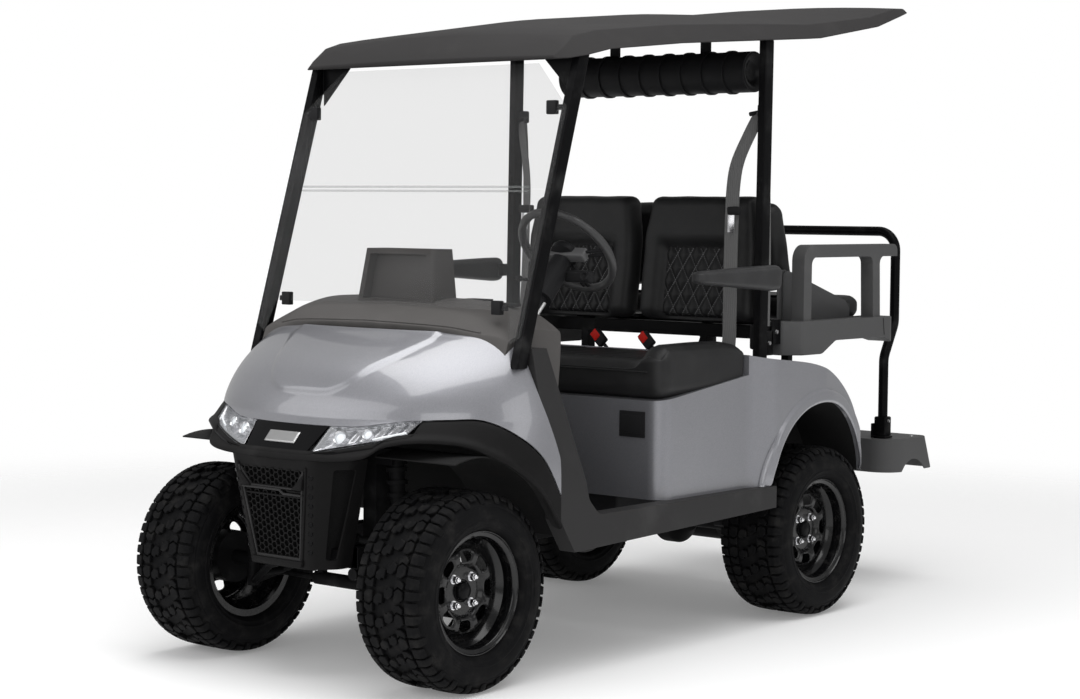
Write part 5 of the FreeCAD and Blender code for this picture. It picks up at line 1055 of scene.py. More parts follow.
@dataclass
class Nose(Assembly):
    """Painted cowl, the dark band and flares under it, lamps, badge panel and the trim of the fascia."""

    half_width: float = 0.585
    skirt_half_width: float = 0.606
    front: float = -0.165
    skirt_front: float = -0.265
    rear: float = 0.285
    seam_z: float = 0.745
    rise: float = 0.228
    skirt_drop: float = 0.112
    power: float = 2.2
    skirt_power: float = 2.5
    back: float = 0.3
    depth: float = 0.45
    levels: tuple[Triple, ...] = (
        (0.0, 1.0, 0.0), (0.15, 0.985, 0.035), (0.32, 0.965, 0.11), (0.5, 0.94, 0.235), (0.66, 0.915, 0.405),
        (0.81, 0.885, 0.61), (0.93, 0.855, 0.79), (1.0, 0.83, 0.9), (1.1, 0.79, 1.03))
    seam: tuple[Pair, ...] = (
        (-0.5, -0.14), (0.0, -0.09), (0.1, -0.035), (0.18, 0.0), (0.32, 0.022), (0.48, 0.013),
                              (0.645, -0.158),
        (0.822, -0.44), (0.975, -0.865), (1.2, -1.7))
    edge: tuple[Pair, ...] = (
        (-0.5, -0.49), (-0.22, -0.49), (-0.1, -0.43), (0.0, -0.3), (0.1, -0.245), (0.215, -0.245),
                              (0.35, -0.31),
        (0.545, -0.52), (0.79, -0.86), (0.985, -1.33), (1.1, -1.6), (1.2, -1.9))
    rear_line: tuple[Pair, ...] = (
        (-2.0, 0.0), (-0.9, 0.0), (-0.456, 0.013), (0.307, 0.116), (0.904, 0.14), (2.0, 0.14))
    lamp_inner: Pair = (0.137, 0.652)
    lamp_outer: Pair = (0.372, 0.702)
    lamp_tip: float = 0.392
    lamp_top_inner: float = 0.150
    badge_half: Pair = (0.118, 0.143)
    badge_z: float = 0.648
    plaque: tuple[float, float, float] = (0.060, 0.674, 0.703)
    inside: Triple = (0.0, along(0.3), 0.6)

    def level(self, z: float) -> Triple:
        """Plan of the nose at a height.

        Args:
            z: The height.

        Returns:
            Half of its width, place of its front and roundness.
        """
        share = (z - self.seam_z) / self.rise
        if share < 0:
            spread = min(1.0, (self.seam_z - z) / self.skirt_drop)
            return (mix(self.half_width, self.skirt_half_width, spread),
                    mix(self.front, self.skirt_front, spread),
                    mix(self.power, self.skirt_power, spread))
        width, back = curve_at(self.levels, share)
        return self.half_width * width, self.front + self.back * back, self.power

    def at(self, x: float, z: float, lift: float = 0.0) -> Vector:
        """Point of the nose straight behind a place of the front view.

        Args:
            x: Place across the cart.
            z: Height.
            lift: How far the point stands off the surface.

        Returns:
            The point.
        """
        width, front, power = self.level(z)
        width, front = width + lift, front - lift
        depth = max(0.0, 1.0 - min(1.0, abs(x) / width) ** power) ** (1 / power)
        return Vector((x, along(self.rear - (self.rear - front) * depth), z))

    def point(self, share: float, z: float, lift: float = 0.0) -> Vector:
        """Point of the nose for a share from one rear edge to the other, and a height.

        Args:
            share: From minus one to one, by angle.
            z: Height.
            lift: How far the point stands off the surface.

        Returns:
            The point.
        """
        width, front, power = self.level(z)
        inset = max(0.0, curve_at(self.rear_line, (z - self.seam_z) / self.rise)[0] * self.depth)
        reach = max(0.0, 1.0 - (inset / (self.rear - front)) ** power) ** (1 / power)
        return self.at((width + lift) * reach * math.sin(share * math.pi / 2), z, lift)

    def meets(self, line: tuple[Pair, ...], place: Callable[[float], Vector]) -> float:
        """Height at which a line of the side view meets a column of the surface.

        Args:
            line: Rows of share of the depth and share of the rise.
            place: Point of the column for a height.

        Returns:
            The height.
        """
        def miss(z: float) -> float:
            """How far the column's point lies above the line."""
            y = place(z).y - FRONT_AXLE
            return (z - self.seam_z) / self.rise - curve_at(line, (y - self.front) / self.depth)[0]

        return solve(miss, 0.3, 0.96)

    def seam_at(self, x: float) -> float:
        """Height of the paint's lower edge straight behind a place of the front view."""
        return self.meets(self.seam, lambda z: self.at(x, z))

    def lamp_floor(self, x: float) -> float:
        """Lower edge of lamps and badge panel.

        Args:
            x: Place across the cart.

        Returns:
            Its height.
        """
        inner, outer = self.lamp_inner, self.lamp_outer
        if abs(x) <= inner[0]:
            return self.badge_z
        return mix(inner[1], outer[1], (abs(x) - inner[0]) / (outer[0] - inner[0]))

    def crease(self, place: Vector) -> float:
        """Raised middle of the hood.

        Args:
            place: Point of the hood.

        Returns:
            Lift of that point.
        """
        height = (place.z - 0.812) / 0.13
        half = mix(0.125, 0.262, max(0.0, min(1.1, height)))
        inward, upward, corner = half - abs(place.x), (place.z - 0.811) * 1.25, 0.045
        within = min(inward, upward)
        if inward < corner and upward < corner:
            within = corner - math.hypot(corner - inward, corner - upward)
        fade = 1.0 - 0.55 * ease((place.z - 0.86) / 0.1)
        return 0.0085 * ease(within / 0.02 + 0.5) * fade

    def cowl(self) -> None:
        """Painted cowl from its lower seam to the dash, with the raised middle."""
        form = Form()
        columns, rows, top = 150, 64, 0.9785
        seams = [self.meets(self.seam, lambda z, s=2 * i / columns - 1: self.point(s, z)) + 0.0015
                 for i in range(columns + 1)]

        def place(u: float, v: float) -> Vector:
            """Point of the cowl."""
            index = min(columns, max(0, round(u * columns)))
            return self.point(2 * u - 1, mix(seams[index], top, v))

        made = form.sheet(columns, rows, place)
        form.outward(made, self.inside)
        form.swell(made, self.crease)
        form.wall(made, 0.004)
        form.finish("front_cowl_skin", PAINT, "cart", ["front_cowl"], sharp=50)

    def band(self) -> None:
        """Dark band under the lamps that runs on as the flares over the wheels, with a rolled lower lip."""
        form = Form()
        columns = 160
        lows, highs = [], []
        for i in range(columns + 1):
            share = 2 * i / columns - 1
            low = self.meets(self.edge, lambda z: self.point(share, z))
            seam = self.meets(self.seam, lambda z: self.point(share, z)) - 0.003
            x = abs(self.point(share, (low + seam) / 2).x)
            lows.append(low)
            highs.append(min(seam, self.lamp_floor(x) - 0.003) if x < self.lamp_tip else seam)
        profile = ((0.0, -0.034, 0.006), (0.0, -0.016, 0.0), (0.0, -0.006, -0.002), (0.0, 0.001, 0.0),
                   (0.0, 0.0045, 0.004), (0.0, 0.0055, 0.009), (0.0, 0.0042, 0.014), (0.0, 0.001, 0.019),
                   (0.0, 0.0002, 0.025), (0.25, 0.0002, 0.015), (0.5, 0.0004, 0.008), (0.75, 0.0004, 0.004),
                   (0.96, 0.0, 0.0), (1.0, -0.002, 0.0), (1.0, -0.007, 0.002))
        rows = len(profile) - 1

        def place(u: float, v: float) -> Vector:
            """Point of the band."""
            index, row = min(columns, max(0, round(u * columns))), min(rows, max(0, round(v * rows)))
            share, lift, rise = profile[row]
            return self.point(2 * u - 1, mix(lows[index], highs[index], share) + rise, lift)

        form.shell(columns, rows, place, self.inside, 0.003)
        form.finish("nose_band_and_flares", TRIM, "cart", ["fascia_band", "fender_flares"], sharp=60)

    def shadow_gap_lines(self) -> None:
        """Thin gloss black line in the band under each lamp: a painted shadow of the gap between lamp and band.
        """
        form = Form()
        for side in (-1, 1):
            form.tube([tuple(self.at(side * mix(0.16, 0.362, i / 16),
                                     self.lamp_floor(mix(0.16, 0.362, i / 16)) - mix(0.012, 0.016, i / 16),
                                     -0.0012))
                       for i in range(17)], 0.0032, 8)
        form.finish("band_slots", GLOSS_BLACK, "cart")

    def lamp_place(self, side: int, u: float, v: float, lift: float) -> Vector:
        """Point of a lamp's front face.

        Args:
            side: One for the left lamp, minus one for the right.
            u: Share from the inner to the outer end.
            v: Share from the lower to the upper edge.
            lift: How far the point stands off the nose.

        Returns:
            The point.
        """
        low_x = mix(self.lamp_inner[0], self.lamp_outer[0], u)
        high_x = mix(self.lamp_top_inner, self.lamp_tip, u)
        x = mix(low_x, high_x, v)
        return self.at(side * x, mix(self.lamp_floor(low_x), self.seam_at(high_x), v), lift)

    def lamps(self) -> None:
        """Clear lenses over bright bowls, with two round units and a light strip in each."""
        lens, bowl, rings, glow, dark = Form(), Form(), Form(), Form(), Form()
        for side in (-1, 1):
            lens.shell(28, 8, lambda u, v: self.lamp_place(side, u, v, 0.0003), self.inside, 0.003)

            def deep(u: float, v: float) -> Vector:
                """Point of the bowl, stepped like a reflector."""
                rim = min(u * 2.6, (1 - u) * 2.6, v, 1 - v)
                step = 0.004 * math.sin(u * 46) * ease(rim / 0.2)
                return self.lamp_place(side, u, v, -0.005 - 0.03 * ease(rim / 0.22) + step)

            bowl.shell(72, 20, deep, self.inside, 0.0015)
            for share, radius in ((0.2, 0.021), (0.52, 0.017)):
                centre = self.lamp_place(side, share, 0.5, -0.02)
                ahead = (0.25 * side, -0.85, 0.42)
                rings.lathe([(radius, -0.012), (radius, 0.006), (radius - 0.002, 0.009),
                             (radius - 0.005, 0.006),
                             (radius - 0.006, -0.01)], tuple(centre), ahead, 32)
                glow.lathe([(0.0, 0.006), (radius * 0.35, 0.0055), (radius * 0.62, 0.002),
                            (radius * 0.72, -0.004),
                            (0.0, -0.006)], tuple(centre), ahead, 24)
                dark.lathe([(radius - 0.0055, -0.004), (radius - 0.0055, -0.011), (0.0, -0.011),
                            (0.0, -0.004)],
                           tuple(centre), ahead, 24)
            glow.tube([tuple(self.lamp_place(side, mix(0.66, 0.97, i / 12), mix(0.2, 0.32, i / 12), -0.007))
                       for i in range(13)], 0.0028, 8)
            dark.tube([tuple(self.lamp_place(side, mix(0.02, 0.98, i / 30), 0.035,
                                             -0.002)) for i in range(31)],
                      0.0022, 8)
        lens.finish("headlamp_lenses", LENS, "cart", ["headlamps"], sharp=60)
        bowl.finish("headlamp_bowls", BOWL, "cart", sharp=40)
        rings.finish("headlamp_rings", CHROME, "cart")
        glow.finish("headlamp_elements", GLOW, "cart", sharp=60)
        dark.finish("headlamp_inner_parts", GLOSS_BLACK, "cart")

    def badge(self) -> None:
        """Gloss panel between the lamps with a small bare plaque."""
        form = Form()

        def place(u: float, v: float) -> Vector:
            """Point of the panel."""
            x = (2 * u - 1) * mix(self.badge_half[0], self.badge_half[1], v)
            return self.at(x, mix(self.badge_z, self.seam_at(x), v), -0.0015)

        form.shell(40, 12, place, self.inside, 0.003)
        form.finish("badge_panel_skin", GLOSS_BLACK, "cart", ["badge_panel"], sharp=60)
        plate = Form()

        def plaque(u: float, v: float) -> Vector:
            """Point of the plaque, its rim turned down."""
            half, low, high = self.plaque
            rim = min(u * 4.2, (1 - u) * 4.2, v, 1 - v)
            return self.at((2 * u - 1) * half, mix(low, high, v), 0.0035 * ease(rim / 0.12))

        plate.shell(48, 16, plaque, self.inside, 0.0015)
        plate.finish("bare_plaque", ZINC, "cart", sharp=60)

    def fascia_front(self, x: float, z: float, lift: float = 0.0) -> Triple:
        """Point on the flat face of the lower fascia."""
        y = mix(-0.224, -0.258, (z - 0.322) / 0.311)
        return (x, along(y - lift), z)

    def fascia_trim(self) -> None:
        """Raised frame lines round the mesh, the ledge across it and its two gussets."""
        form = Form()

        def line(points: Sequence[Pair], radius: float, ring: bool = False, lift: float = 0.001) -> None:
            """Adds a bead along points of the front face."""
            form.tube([self.fascia_front(x, z, lift) for x, z in points], radius, 8, 0.012, 4, ring)

        line(((-0.136, 0.612), (-0.128, 0.556), (-0.092, 0.334), (0.092, 0.334), (0.128, 0.556),
              (0.136, 0.612)),
             0.0042)
        line(((-0.128, 0.5495), (0.052, 0.5495), (0.06, 0.541), (0.127, 0.541)), 0.004)
        line(((-0.128, 0.5265), (0.127, 0.5265)), 0.003)
        for side in (-1, 1):
            form.prism([(side * 0.122, 0.548), (side * 0.128, 0.592), (side * 0.082, 0.548)], Plane.FRONT,
                       along(-0.262), along(-0.248), 0.002)
        form.prism([(-0.094, 0.326), (0.094, 0.326), (0.102, 0.345), (-0.102, 0.345)], Plane.FRONT,
                   along(-0.2365),
                   along(-0.222), 0.003)
        form.finish("fascia_frame_lines", TRIM, "cart")

    def build(self) -> None:
        """Builds the nose."""
        self.cowl()
        self.band()
        self.shadow_gap_lines()
        self.lamps()
        self.badge()
        self.fascia_trim()


@dataclass
class Wheel:
    """One wheel: the end of its nodes' names, its place and its side."""

    name: str
    x: float
    y: float
    side: int


@dataclass
class Wheels(Assembly):
    """All-terrain tyres on vented steel wheels with plated nuts."""

    radius: float = 0.2795
    half: float = 0.1225
    depth: float = 0.0115
    pitches: int = 26
    block_pitch: float = 0.066
    lip: float = 0.173
    rim_half: float = 0.098
    profile: tuple[Triple, ...] = (
        (0.0, 0.2795, 0.0), (0.04, 0.2795, 0.04), (0.075, 0.2788, 0.075), (0.095, 0.2765, 0.0945),
        (0.107, 0.2715, 0.1055), (0.118, 0.263, 0.1125), (0.13, 0.2515, 0.1165), (0.145, 0.237, 0.119),
        (0.16, 0.222, 0.1195))
    vents: int = 8
    wheels: tuple[Wheel, ...] = (
        Wheel("front_left", 0.451, 0.0, 1), Wheel("front_right", -0.451, 0.0, -1),
        Wheel("rear_left", 0.486, WHEELBASE, 1), Wheel("rear_right", -0.486, WHEELBASE, -1))

    def wrap(self, across: float, angle: float, height: float) -> Vector:
        """Point on the tyre for a place across its outer section, an angle and a height over it.

        Args:
            across: Distance from the middle along the section, signed.
            angle: Turn from straight up.
            height: Distance outside the section.

        Returns:
            The point, with the axle along X.
        """
        size = abs(across)
        radius, place = curve_at(self.profile, size)
        ahead, beside = curve_at(self.profile, size + 0.002), curve_at(self.profile, max(0.0, size - 0.002))
        slope = Vector((ahead[1] - beside[1], ahead[0] - beside[0])).normalized()
        radius += slope.x * height
        place -= slope.y * height
        sign = 1 if across >= 0 else -1
        return Vector((sign * place, radius * math.sin(angle), radius * math.cos(angle)))

    def tread(self, form: Form) -> None:
        """Adds the blocks of the tread: two rows in the middle, two beside them and the shoulder lugs."""
        pitch = math.tau / self.pitches
        flat = Form()
        middle = ((0.003, -0.30), (0.020, -0.36), (0.034, -0.16), (0.034, 0.06), (0.018, 0.16), (0.014, 0.02),
                  (0.003, 0.06))
        inner = ((0.039, -0.42), (0.056, -0.46), (0.071, -0.28), (0.068, 0.02), (0.052, 0.12), (0.039, -0.02))
        spur = ((0.039, 0.06), (0.050, 0.20), (0.068, 0.10), (0.071, 0.30), (0.058, 0.46), (0.039, 0.44))
        lug = ((0.077, -0.30), (0.098, -0.30), (0.132, -0.24), (0.132, 0.06), (0.098, 0.06), (0.077, 0.08))
        short = ((0.077, 0.17), (0.098, 0.15), (0.119, 0.19), (0.119, 0.60), (0.098, 0.60), (0.077, 0.62))
        for side, shift in ((1, 0.0), (-1, 0.5)):
            for outline, bevel in ((middle, 0.0016), (inner, 0.0016), (spur, 0.0014), (lug, 0.002),
                                   (short, 0.002)):
                points = [(side * a, (b * side + shift) * self.block_pitch) for a, b in outline]
                flat.prism(points, Plane.TOP, -self.depth, 0.0, bevel, 1)
        for place in (0.098, 0.108, 0.119):
            for side in (1, -1):
                bmesh.ops.bisect_plane(flat.bm, geom=flat.bm.verts[:] + flat.bm.edges[:] + flat.bm.faces[:],
                                       plane_co=(side * place, 0, 0), plane_no=(1, 0, 0), dist=1e-5)
        mesh = bpy.data.meshes.new("block_row")
        flat.bm.to_mesh(mesh)
        flat.bm.free()
        for i in range(self.pitches):
            before = len(form.bm.verts)
            form.bm.from_mesh(mesh)
            form.bm.verts.ensure_lookup_table()
            for vert in form.bm.verts[before:]:
                sink = min(0.0, vert.co.z) * (1.0 if abs(vert.co.x) < 0.1 else 0.55)
                vert.co = self.wrap(vert.co.x, (i + vert.co.y / self.block_pitch) * pitch, sink)
        bpy.data.meshes.remove(mesh)

    def tyre(self) -> Form:
        """Tyre about the X axis, its outer face towards +X."""
        form = Form()
        base = []
        for step in range(14):
            across = 0.12 * step / 13
            point = self.wrap(across, 0.0, -self.depth * (1.0 if across < 0.1 else 0.7))
            base.append((point.z, point.x))
        side = [(0.2475, 0.1150), (0.2440, 0.1168), (0.2400, 0.1168), (0.2375, 0.1185), (0.228, 0.1215),
                (0.217, 0.1222), (0.2055, 0.1212), (0.2030, 0.1225), (0.1995, 0.1222), (0.1975, 0.1198),
                (0.190, 0.1170), (0.1865, 0.1172), (0.1835, 0.1150), (0.178, 0.1070), (0.1745, 0.1005),
                (0.1740, 0.0905), (0.1595, 0.0880), (0.160, 0.078), (0.190, 0.098), (0.225, 0.108),
                (0.252, 0.088)]
        outer = base + side
        rows = outer + [(r, -x) for r, x in reversed(outer[1:])]
        made = form.lathe(rows, (0, 0, 0), (1, 0, 0), 120)
        form.outward(made, (0, 0, 0.215))
        self.tread(form)
        for turn in (30, 150, 270):
            for side_sign in (1, -1):
                bar = form.box((0.1195 * side_sign - 0.002, -0.034, 0.2105),
                               (0.1195 * side_sign + 0.0035, 0.034, 0.2155), 0.0012, 1)
                form.turn(bar, (0, 0, 0), (1, 0, 0), turn)
        return form

    def disc_level(self, radius: float) -> float:
        """Outer face of the disc.

        Args:
            radius: Distance from the axle.

        Returns:
            Place of the face along the axle.
        """
        rows = ((0.0, 0.036), (0.06, 0.036), (0.068, 0.0362), (0.076, 0.047), (0.084, 0.052), (0.104, 0.0535),
                (0.116, 0.050), (0.124, 0.036), (0.1335, 0.030))
        return curve_at(rows, radius)[0]

    def disc(self, form: Form) -> None:
        """Adds the dished disc with its round-ended vents, sector by sector."""
        count, rings = 32, 6
        sector = math.pi / self.vents
        for k in range(self.vents):
            turn = math.tau * k / self.vents

            def place(u: float, v: float) -> Vector:
                """Point between a vent's edge and its sector's border."""
                angle = math.tau * u
                across, outwards = math.cos(angle), math.sin(angle)
                power = 3.4
                scale = (abs(across) ** power + abs(outwards) ** power) ** (-1 / power)
                vent = (0.236 * across * scale, 0.097 + 0.0155 * outwards * scale)
                size = max(abs(across), abs(outwards))
                middle = (0.0665 + 0.1335) / 2
                border = (sector * across / size, middle + (0.1335 - middle) * outwards / size)
                share = v ** 0.8
                theta, radius = mix(vent[0], border[0], share), mix(vent[1], border[1], share)
                lift = -0.004 * (1 - ease(v / 0.25))
                return Vector((self.disc_level(radius) + lift, radius * math.sin(theta + turn),
                               radius * math.cos(theta + turn)))

            form.sheet(count, rings, place)
        form.sheet(64, 5, lambda u, v: Vector((
            self.disc_level(mix(0.026, 0.0665, v)), mix(0.026, 0.0665, v) * math.sin(math.tau * u),
            mix(0.026, 0.0665, v) * math.cos(math.tau * u))))
        bmesh.ops.remove_doubles(form.bm, verts=form.bm.verts, dist=2e-5)
        bmesh.ops.recalc_face_normals(form.bm, faces=form.bm.faces)
        form.outward(form.bm.verts, (-10, 0, 0))
        form.wall(list(form.bm.verts), 0.004)

    def rim(self) -> Form:
        """Steel wheel about the X axis, its outer face towards +X."""
        form = Form()
        self.disc(form)
        half, lip, seat, well = self.rim_half, self.lip, 0.1585, 0.134
        outer = [(lip, -half + 0.002), (lip, -half + 0.007), (seat, -half + 0.010), (seat, -half + 0.034),
                 (well, -half + 0.054), (well, half - 0.072), (seat, half - 0.044), (seat, half - 0.010),
                 (lip - 0.002, half - 0.0085), (lip, half - 0.006), (lip, half - 0.0015),
                 (lip - 0.0015, half),
                 (lip - 0.004, half), (lip - 0.006, half - 0.0035), (seat + 0.0005, half - 0.005),
                 (seat - 0.0035, half - 0.008), (seat - 0.0045, half - 0.012), (seat - 0.0045, half - 0.042),
                 (seat - 0.012, half - 0.05), (well - 0.0005, half - 0.066), (well - 0.0005, half - 0.074),
                 (well - 0.005, -half + 0.052), (seat - 0.005, -half + 0.032), (seat - 0.005, -half + 0.004)]
        form.lathe(outer, (0, 0, 0), (1, 0, 0), 96)
        return form

    def details(self) -> tuple[Form, Form]:
        """Cap with its rings and the nuts of one wheel, about the X axis.

        Returns:
            Black pieces and plated pieces.
        """
        black, bright = Form(), Form()
        black.lathe([(0.0, 0.0535), (0.017, 0.0525), (0.0235, 0.0495), (0.0265, 0.0445), (0.0275, 0.036),
                     (0.0275, 0.031),
                     (0.0, 0.031)], (0, 0, 0), (1, 0, 0), 40)
        black.lathe([(0.0292, 0.0345), (0.0292, 0.0385), (0.0305, 0.0393), (0.032, 0.0385), (0.0325, 0.0345)],
                    (0, 0, 0), (1, 0, 0), 40)
        for i in range(4):
            angle = math.pi / 4 + i * math.pi / 2
            centre = (0.036, 0.0508 * math.sin(angle), 0.0508 * math.cos(angle))
            nut = [(0.0108 * math.cos(k * math.pi / 3), 0.0108 * math.sin(k * math.pi / 3)) for k in range(6)]
            bright.prism([(centre[1] + a, centre[2] + b) for a, b in nut], Plane.SIDE, 0.0355, 0.0535, 0.0016,
                         2)
            bright.lathe([(0.0, 0.0), (0.0078, 0.0), (0.0074, 0.0055), (0.0045, 0.0085), (0.0, 0.0095)],
                         (0.0525, centre[1], centre[2]), (1, 0, 0), 20)
            bright.lathe([(0.0, -0.001), (0.0138, -0.001), (0.0132, 0.0022), (0.0, 0.0022)],
                         (0.0362, centre[1], centre[2]), (1, 0, 0), 24)
        black.tube([(0.072, 0.0, 0.1475), (0.086, 0.0, 0.1455), (0.104, 0.0, 0.1425)], 0.0042, 10)
        return black, bright

    def placed(self, source: Form, wheel: Wheel) -> Form:
        """Sets a copy on one wheel.

        Args:
            source: Form about the X axis.
            wheel: The wheel.

        Returns:
            The copy at its place.
        """
        form = Form()
        form.bm = source.bm.copy()
        turn = Matrix.Rotation(0.0 if wheel.side > 0 else math.pi, 4, "Z")
        shift = Matrix.Translation((wheel.x, along(wheel.y), self.radius))
        bmesh.ops.transform(form.bm, matrix=shift @ turn, verts=form.bm.verts)
        return form

    def build(self) -> None:
        """Builds the four wheels."""
        tyre, rim = self.tyre(), self.rim()
        black, bright = self.details()
        for wheel in self.wheels:
            name, body = wheel.name, f"wheel_{wheel.name}"
            self.placed(tyre, wheel).finish(f"tyre_{name}_tread", TYRE, body, [f"tyre_{name}"], 32)
            self.placed(rim, wheel).finish(f"rim_{name}_steel", WHEEL_ENAMEL, body, [f"rim_{name}"], 40)
            self.placed(black, wheel).finish(f"hub_cap_{name}", GLOSS_BLACK, body)
            self.placed(bright, wheel).finish(f"wheel_nuts_{name}", CHROME, body, (), 30)
        for form in (tyre, rim, black, bright):
            form.bm.free()


@dataclass
class Pad:
    """One upholstered block: its box before it leans, the radii of its edges and its crown."""

    low: Triple
    high: Triple
    edge: float = 0.03
    crown: float = 0.012
    cells: int = 22
    slack: float = 0.0012

    def half(self) -> Vector:
        """Half of its size along each axis."""
        return (Vector(self.high) - Vector(self.low)) / 2

    def centre(self) -> Vector:
        """Middle of its box."""
        return (Vector(self.high) + Vector(self.low)) / 2

    def shape(self, form: Form, face: int,
              lift: Callable[[float, float], float] | None = None) -> Points:
        """Adds the block with round edges, a crown on one face and slack along its seams.

        Args:
            form: Form that takes it.
            face: Axis of the crowned face.
            lift: More height of that face for its two shares from -1 to 1.

        Returns:
            The new vertices.
        """
        half, centre = self.half(), self.centre()
        block = Form()
        bmesh.ops.create_cube(block.bm, size=2.0)
        bmesh.ops.subdivide_edges(block.bm, edges=block.bm.edges[:], cuts=self.cells, use_grid_fill=True)
        made = form.take(block)
        first, second = [k for k in range(3) if k != face]
        inner = Vector([max(0.0, h - self.edge) for h in half])
        for vert in made:
            spread = Vector([math.sin(c * math.pi / 2) for c in vert.co])
            place = Vector([spread[k] * half[k] for k in range(3)])
            core = Vector([min(inner[k], max(-inner[k], place[k])) for k in range(3)])
            away = place - core
            if away.length > 1e-9:
                reach = min(self.edge, min(half))
                place = core + away.normalized() * reach
            a, b = spread[first], spread[second]
            dome = (1 - a ** 4) * (1 - b ** 4)
            share = max(0.0, spread[face])
            place[face] += share * (self.crown * dome - self.crown)
            if lift is not None:
                place[face] += share * lift(a, b)
            vert.co = place + centre
        form.swell(made, lambda co: (self.slack * math.sin(co.x * 37 + co.y * 23)
                                     * math.sin(co.z * 41 + co.x * 11)))
        return made


@dataclass
class Seats(Assembly):
    """Front bench with bolsters, quilted backs, the rear seat and the armrests."""

    lean: float = 7.2
    rear_lean: float = 15.4
    diamond: Pair = (0.052, 0.088)
    back_foot: Pair = (1.4055, 0.973)
    quilt_middle: float = 0.258
    hinge_reach: Pair = (0.2, 0.32)

    def bench_lift(self, a: float, b: float) -> float:
        """Top of the bench: bolsters at the ends, a dish for each rider.

        Args:
            a: Share across, from minus one to one.
            b: Share from front to rear, from minus one to one.

        Returns:
            Height over the pad's plain top.
        """
        outer = smooth(0.79, 0.885, abs(a))
        dish = -0.006 * smooth(0.05, 0.2, abs(a)) * smooth(0.85, 0.7, abs(a)) * (1 - b * b)
        nose = -0.02 * smooth(-0.72, -1.0, b)
        back = -0.012 * smooth(0.5, 1.0, b)
        return -0.048 * (1 - outer) + dish + nose + back * outer

    def bench(self) -> None:
        """Front bench cushion with its inset quilted channels and piping."""
        form = Form()
        pad = Pad((-0.554, 0.824, 0.7572), (0.554, 1.2695, 0.928), 0.045, 0.006, 40, 0.001)
        made = pad.shape(form, 2, self.bench_lift)
        half, centre, edge = pad.half(), pad.centre(), pad.edge
        for vert in made:
            across, back = abs(vert.co.x) - (half.x - edge), vert.co.y - centre.y - (half.y - edge)
            if across > 0 and back > 0:
                round_share, square = math.hypot(across, back), (across ** 6 + back ** 6) ** (1 / 6)
                grow = round_share / square
                vert.co.x = math.copysign(half.x - edge + across * grow, vert.co.x)
                vert.co.y = centre.y + half.y - edge + back * grow
        form.move(made, (0.0, FRONT_AXLE, 0.0))
        piece = form.finish("front_bench_cushion", SEAT_VINYL, "bench", ("front_cushion",), 180.0)
        inset = Form()
        for side in (-1, 1):
            inset.shell(48, 30, lambda u, v, side=side: self.inset_point(u, v, side),
                        spot((0.0, 1.05, 0.0)), 0.006)
        inset.finish("front_bench_insets", BENCH_QUILT, "bench", (), 180.0)
        seams = Form()
        line = [(-0.548, 0.87, 0.842), (-0.5, 0.8235, 0.842), (0.5, 0.8235, 0.842), (0.548, 0.87, 0.842)]
        seams.tube([spot(p) for p in line], 0.003, 8, 0.04, 6)
        seams.finish("front_bench_piping", SEAT_VINYL, "bench", (), 60.0)
        self.hinges("front_bench_hinges", "bench", (1.264, 0.8785))

    def hinges(self, name: str, body: str, at: Pair) -> None:
        """Builds the two hinge knuckles of a cushion.

        Args:
            name: Plain name of the piece.
            body: Body that it rides on.
            at: Distance behind the front axle, and height.
        """
        form = Form()
        for side in (-1, 1):
            form.tube([spot((side * x, *at)) for x in self.hinge_reach], 0.005, 16)
        form.finish(name, STEEL, body)

    def inset_point(self, u: float, v: float, side: int) -> Vector:
        """Point of one rider's inset on the bench.

        Args:
            u: Share from the middle of the cart outwards.
            v: Share from front to rear.
            side: One for the left rider, minus one for the right.

        Returns:
            The point.
        """
        a, b = 0.06 + 0.67 * u, -0.66 + 1.5 * v
        dome = (1 - a ** 4) * (1 - b ** 4)
        height = 0.928 + 0.006 * dome - 0.006 + self.bench_lift(a, b)
        edge = min(u, 1 - u, v, 1 - v)
        return spot((side * a * 0.548, 1.04625 + b * 0.22225,
                     height - 0.006 + 0.008 * smooth(0.0, 0.05, edge)))

    def back_lift(self, a: float, b: float) -> float:
        """Front of a back: side wings and a headrest roll around a sunken middle.

        Args:
            a: Share across, from minus one to one.
            b: Share from the lower to the upper edge, from minus one to one.

        Returns:
            Depth behind the pad's plain front.
        """
        wing = smooth(0.52, 0.72, abs(a)) * smooth(0.46, 0.2, b)
        roll = smooth(0.12, 0.3, b)
        sunk = 1 - max(wing, roll)
        return 0.024 * sunk + 0.004 * (1 - roll) * wing - 0.016 * (1 - sunk)

    def backs(self) -> None:
        """Front seat backs: shell, wings, headrest roll and the quilted lower inset."""
        form, quilt = Form(), Form()
        for side in (-1, 1):
            low = (min(side * 0.017, side * 0.483), *self.back_foot)
            high = (max(side * 0.017, side * 0.483), 1.4795, 1.385)
            pad = Pad(low, high, 0.036, 0.004, 34, 0.0009)
            made = pad.shape(form, 1)
            half, centre = pad.half(), pad.centre()
            for vert in made:
                a = (vert.co.x - centre.x) / half.x
                b = (vert.co.z - centre.z) / half.z
                front = smooth(centre.y, low[1], vert.co.y)
                vert.co.y += front * self.back_lift(a, b)
                vert.co.x -= (vert.co.x - centre.x) * 0.09 * smooth(0.1, 1.0, b)
            quilt.shell(72, 72, lambda u, v, side=side: self.quilt_point(u, v, side),
                        (side * 0.25, 1.6, 1.15), 0.01)
        for shape in (form, quilt):
            shape.turn(shape.bm.verts[:], (0.0, *self.back_foot), (1, 0, 0), -self.lean)
            shape.move(shape.bm.verts[:], (0.0, FRONT_AXLE, 0.0))
        piece = form.finish("front_seat_back_pads", SEAT_VINYL, "cart", ("seat_backs",), 180.0)
        quilt.finish("front_seat_quilting", QUILT_CLOTH, "cart", (), 180.0)

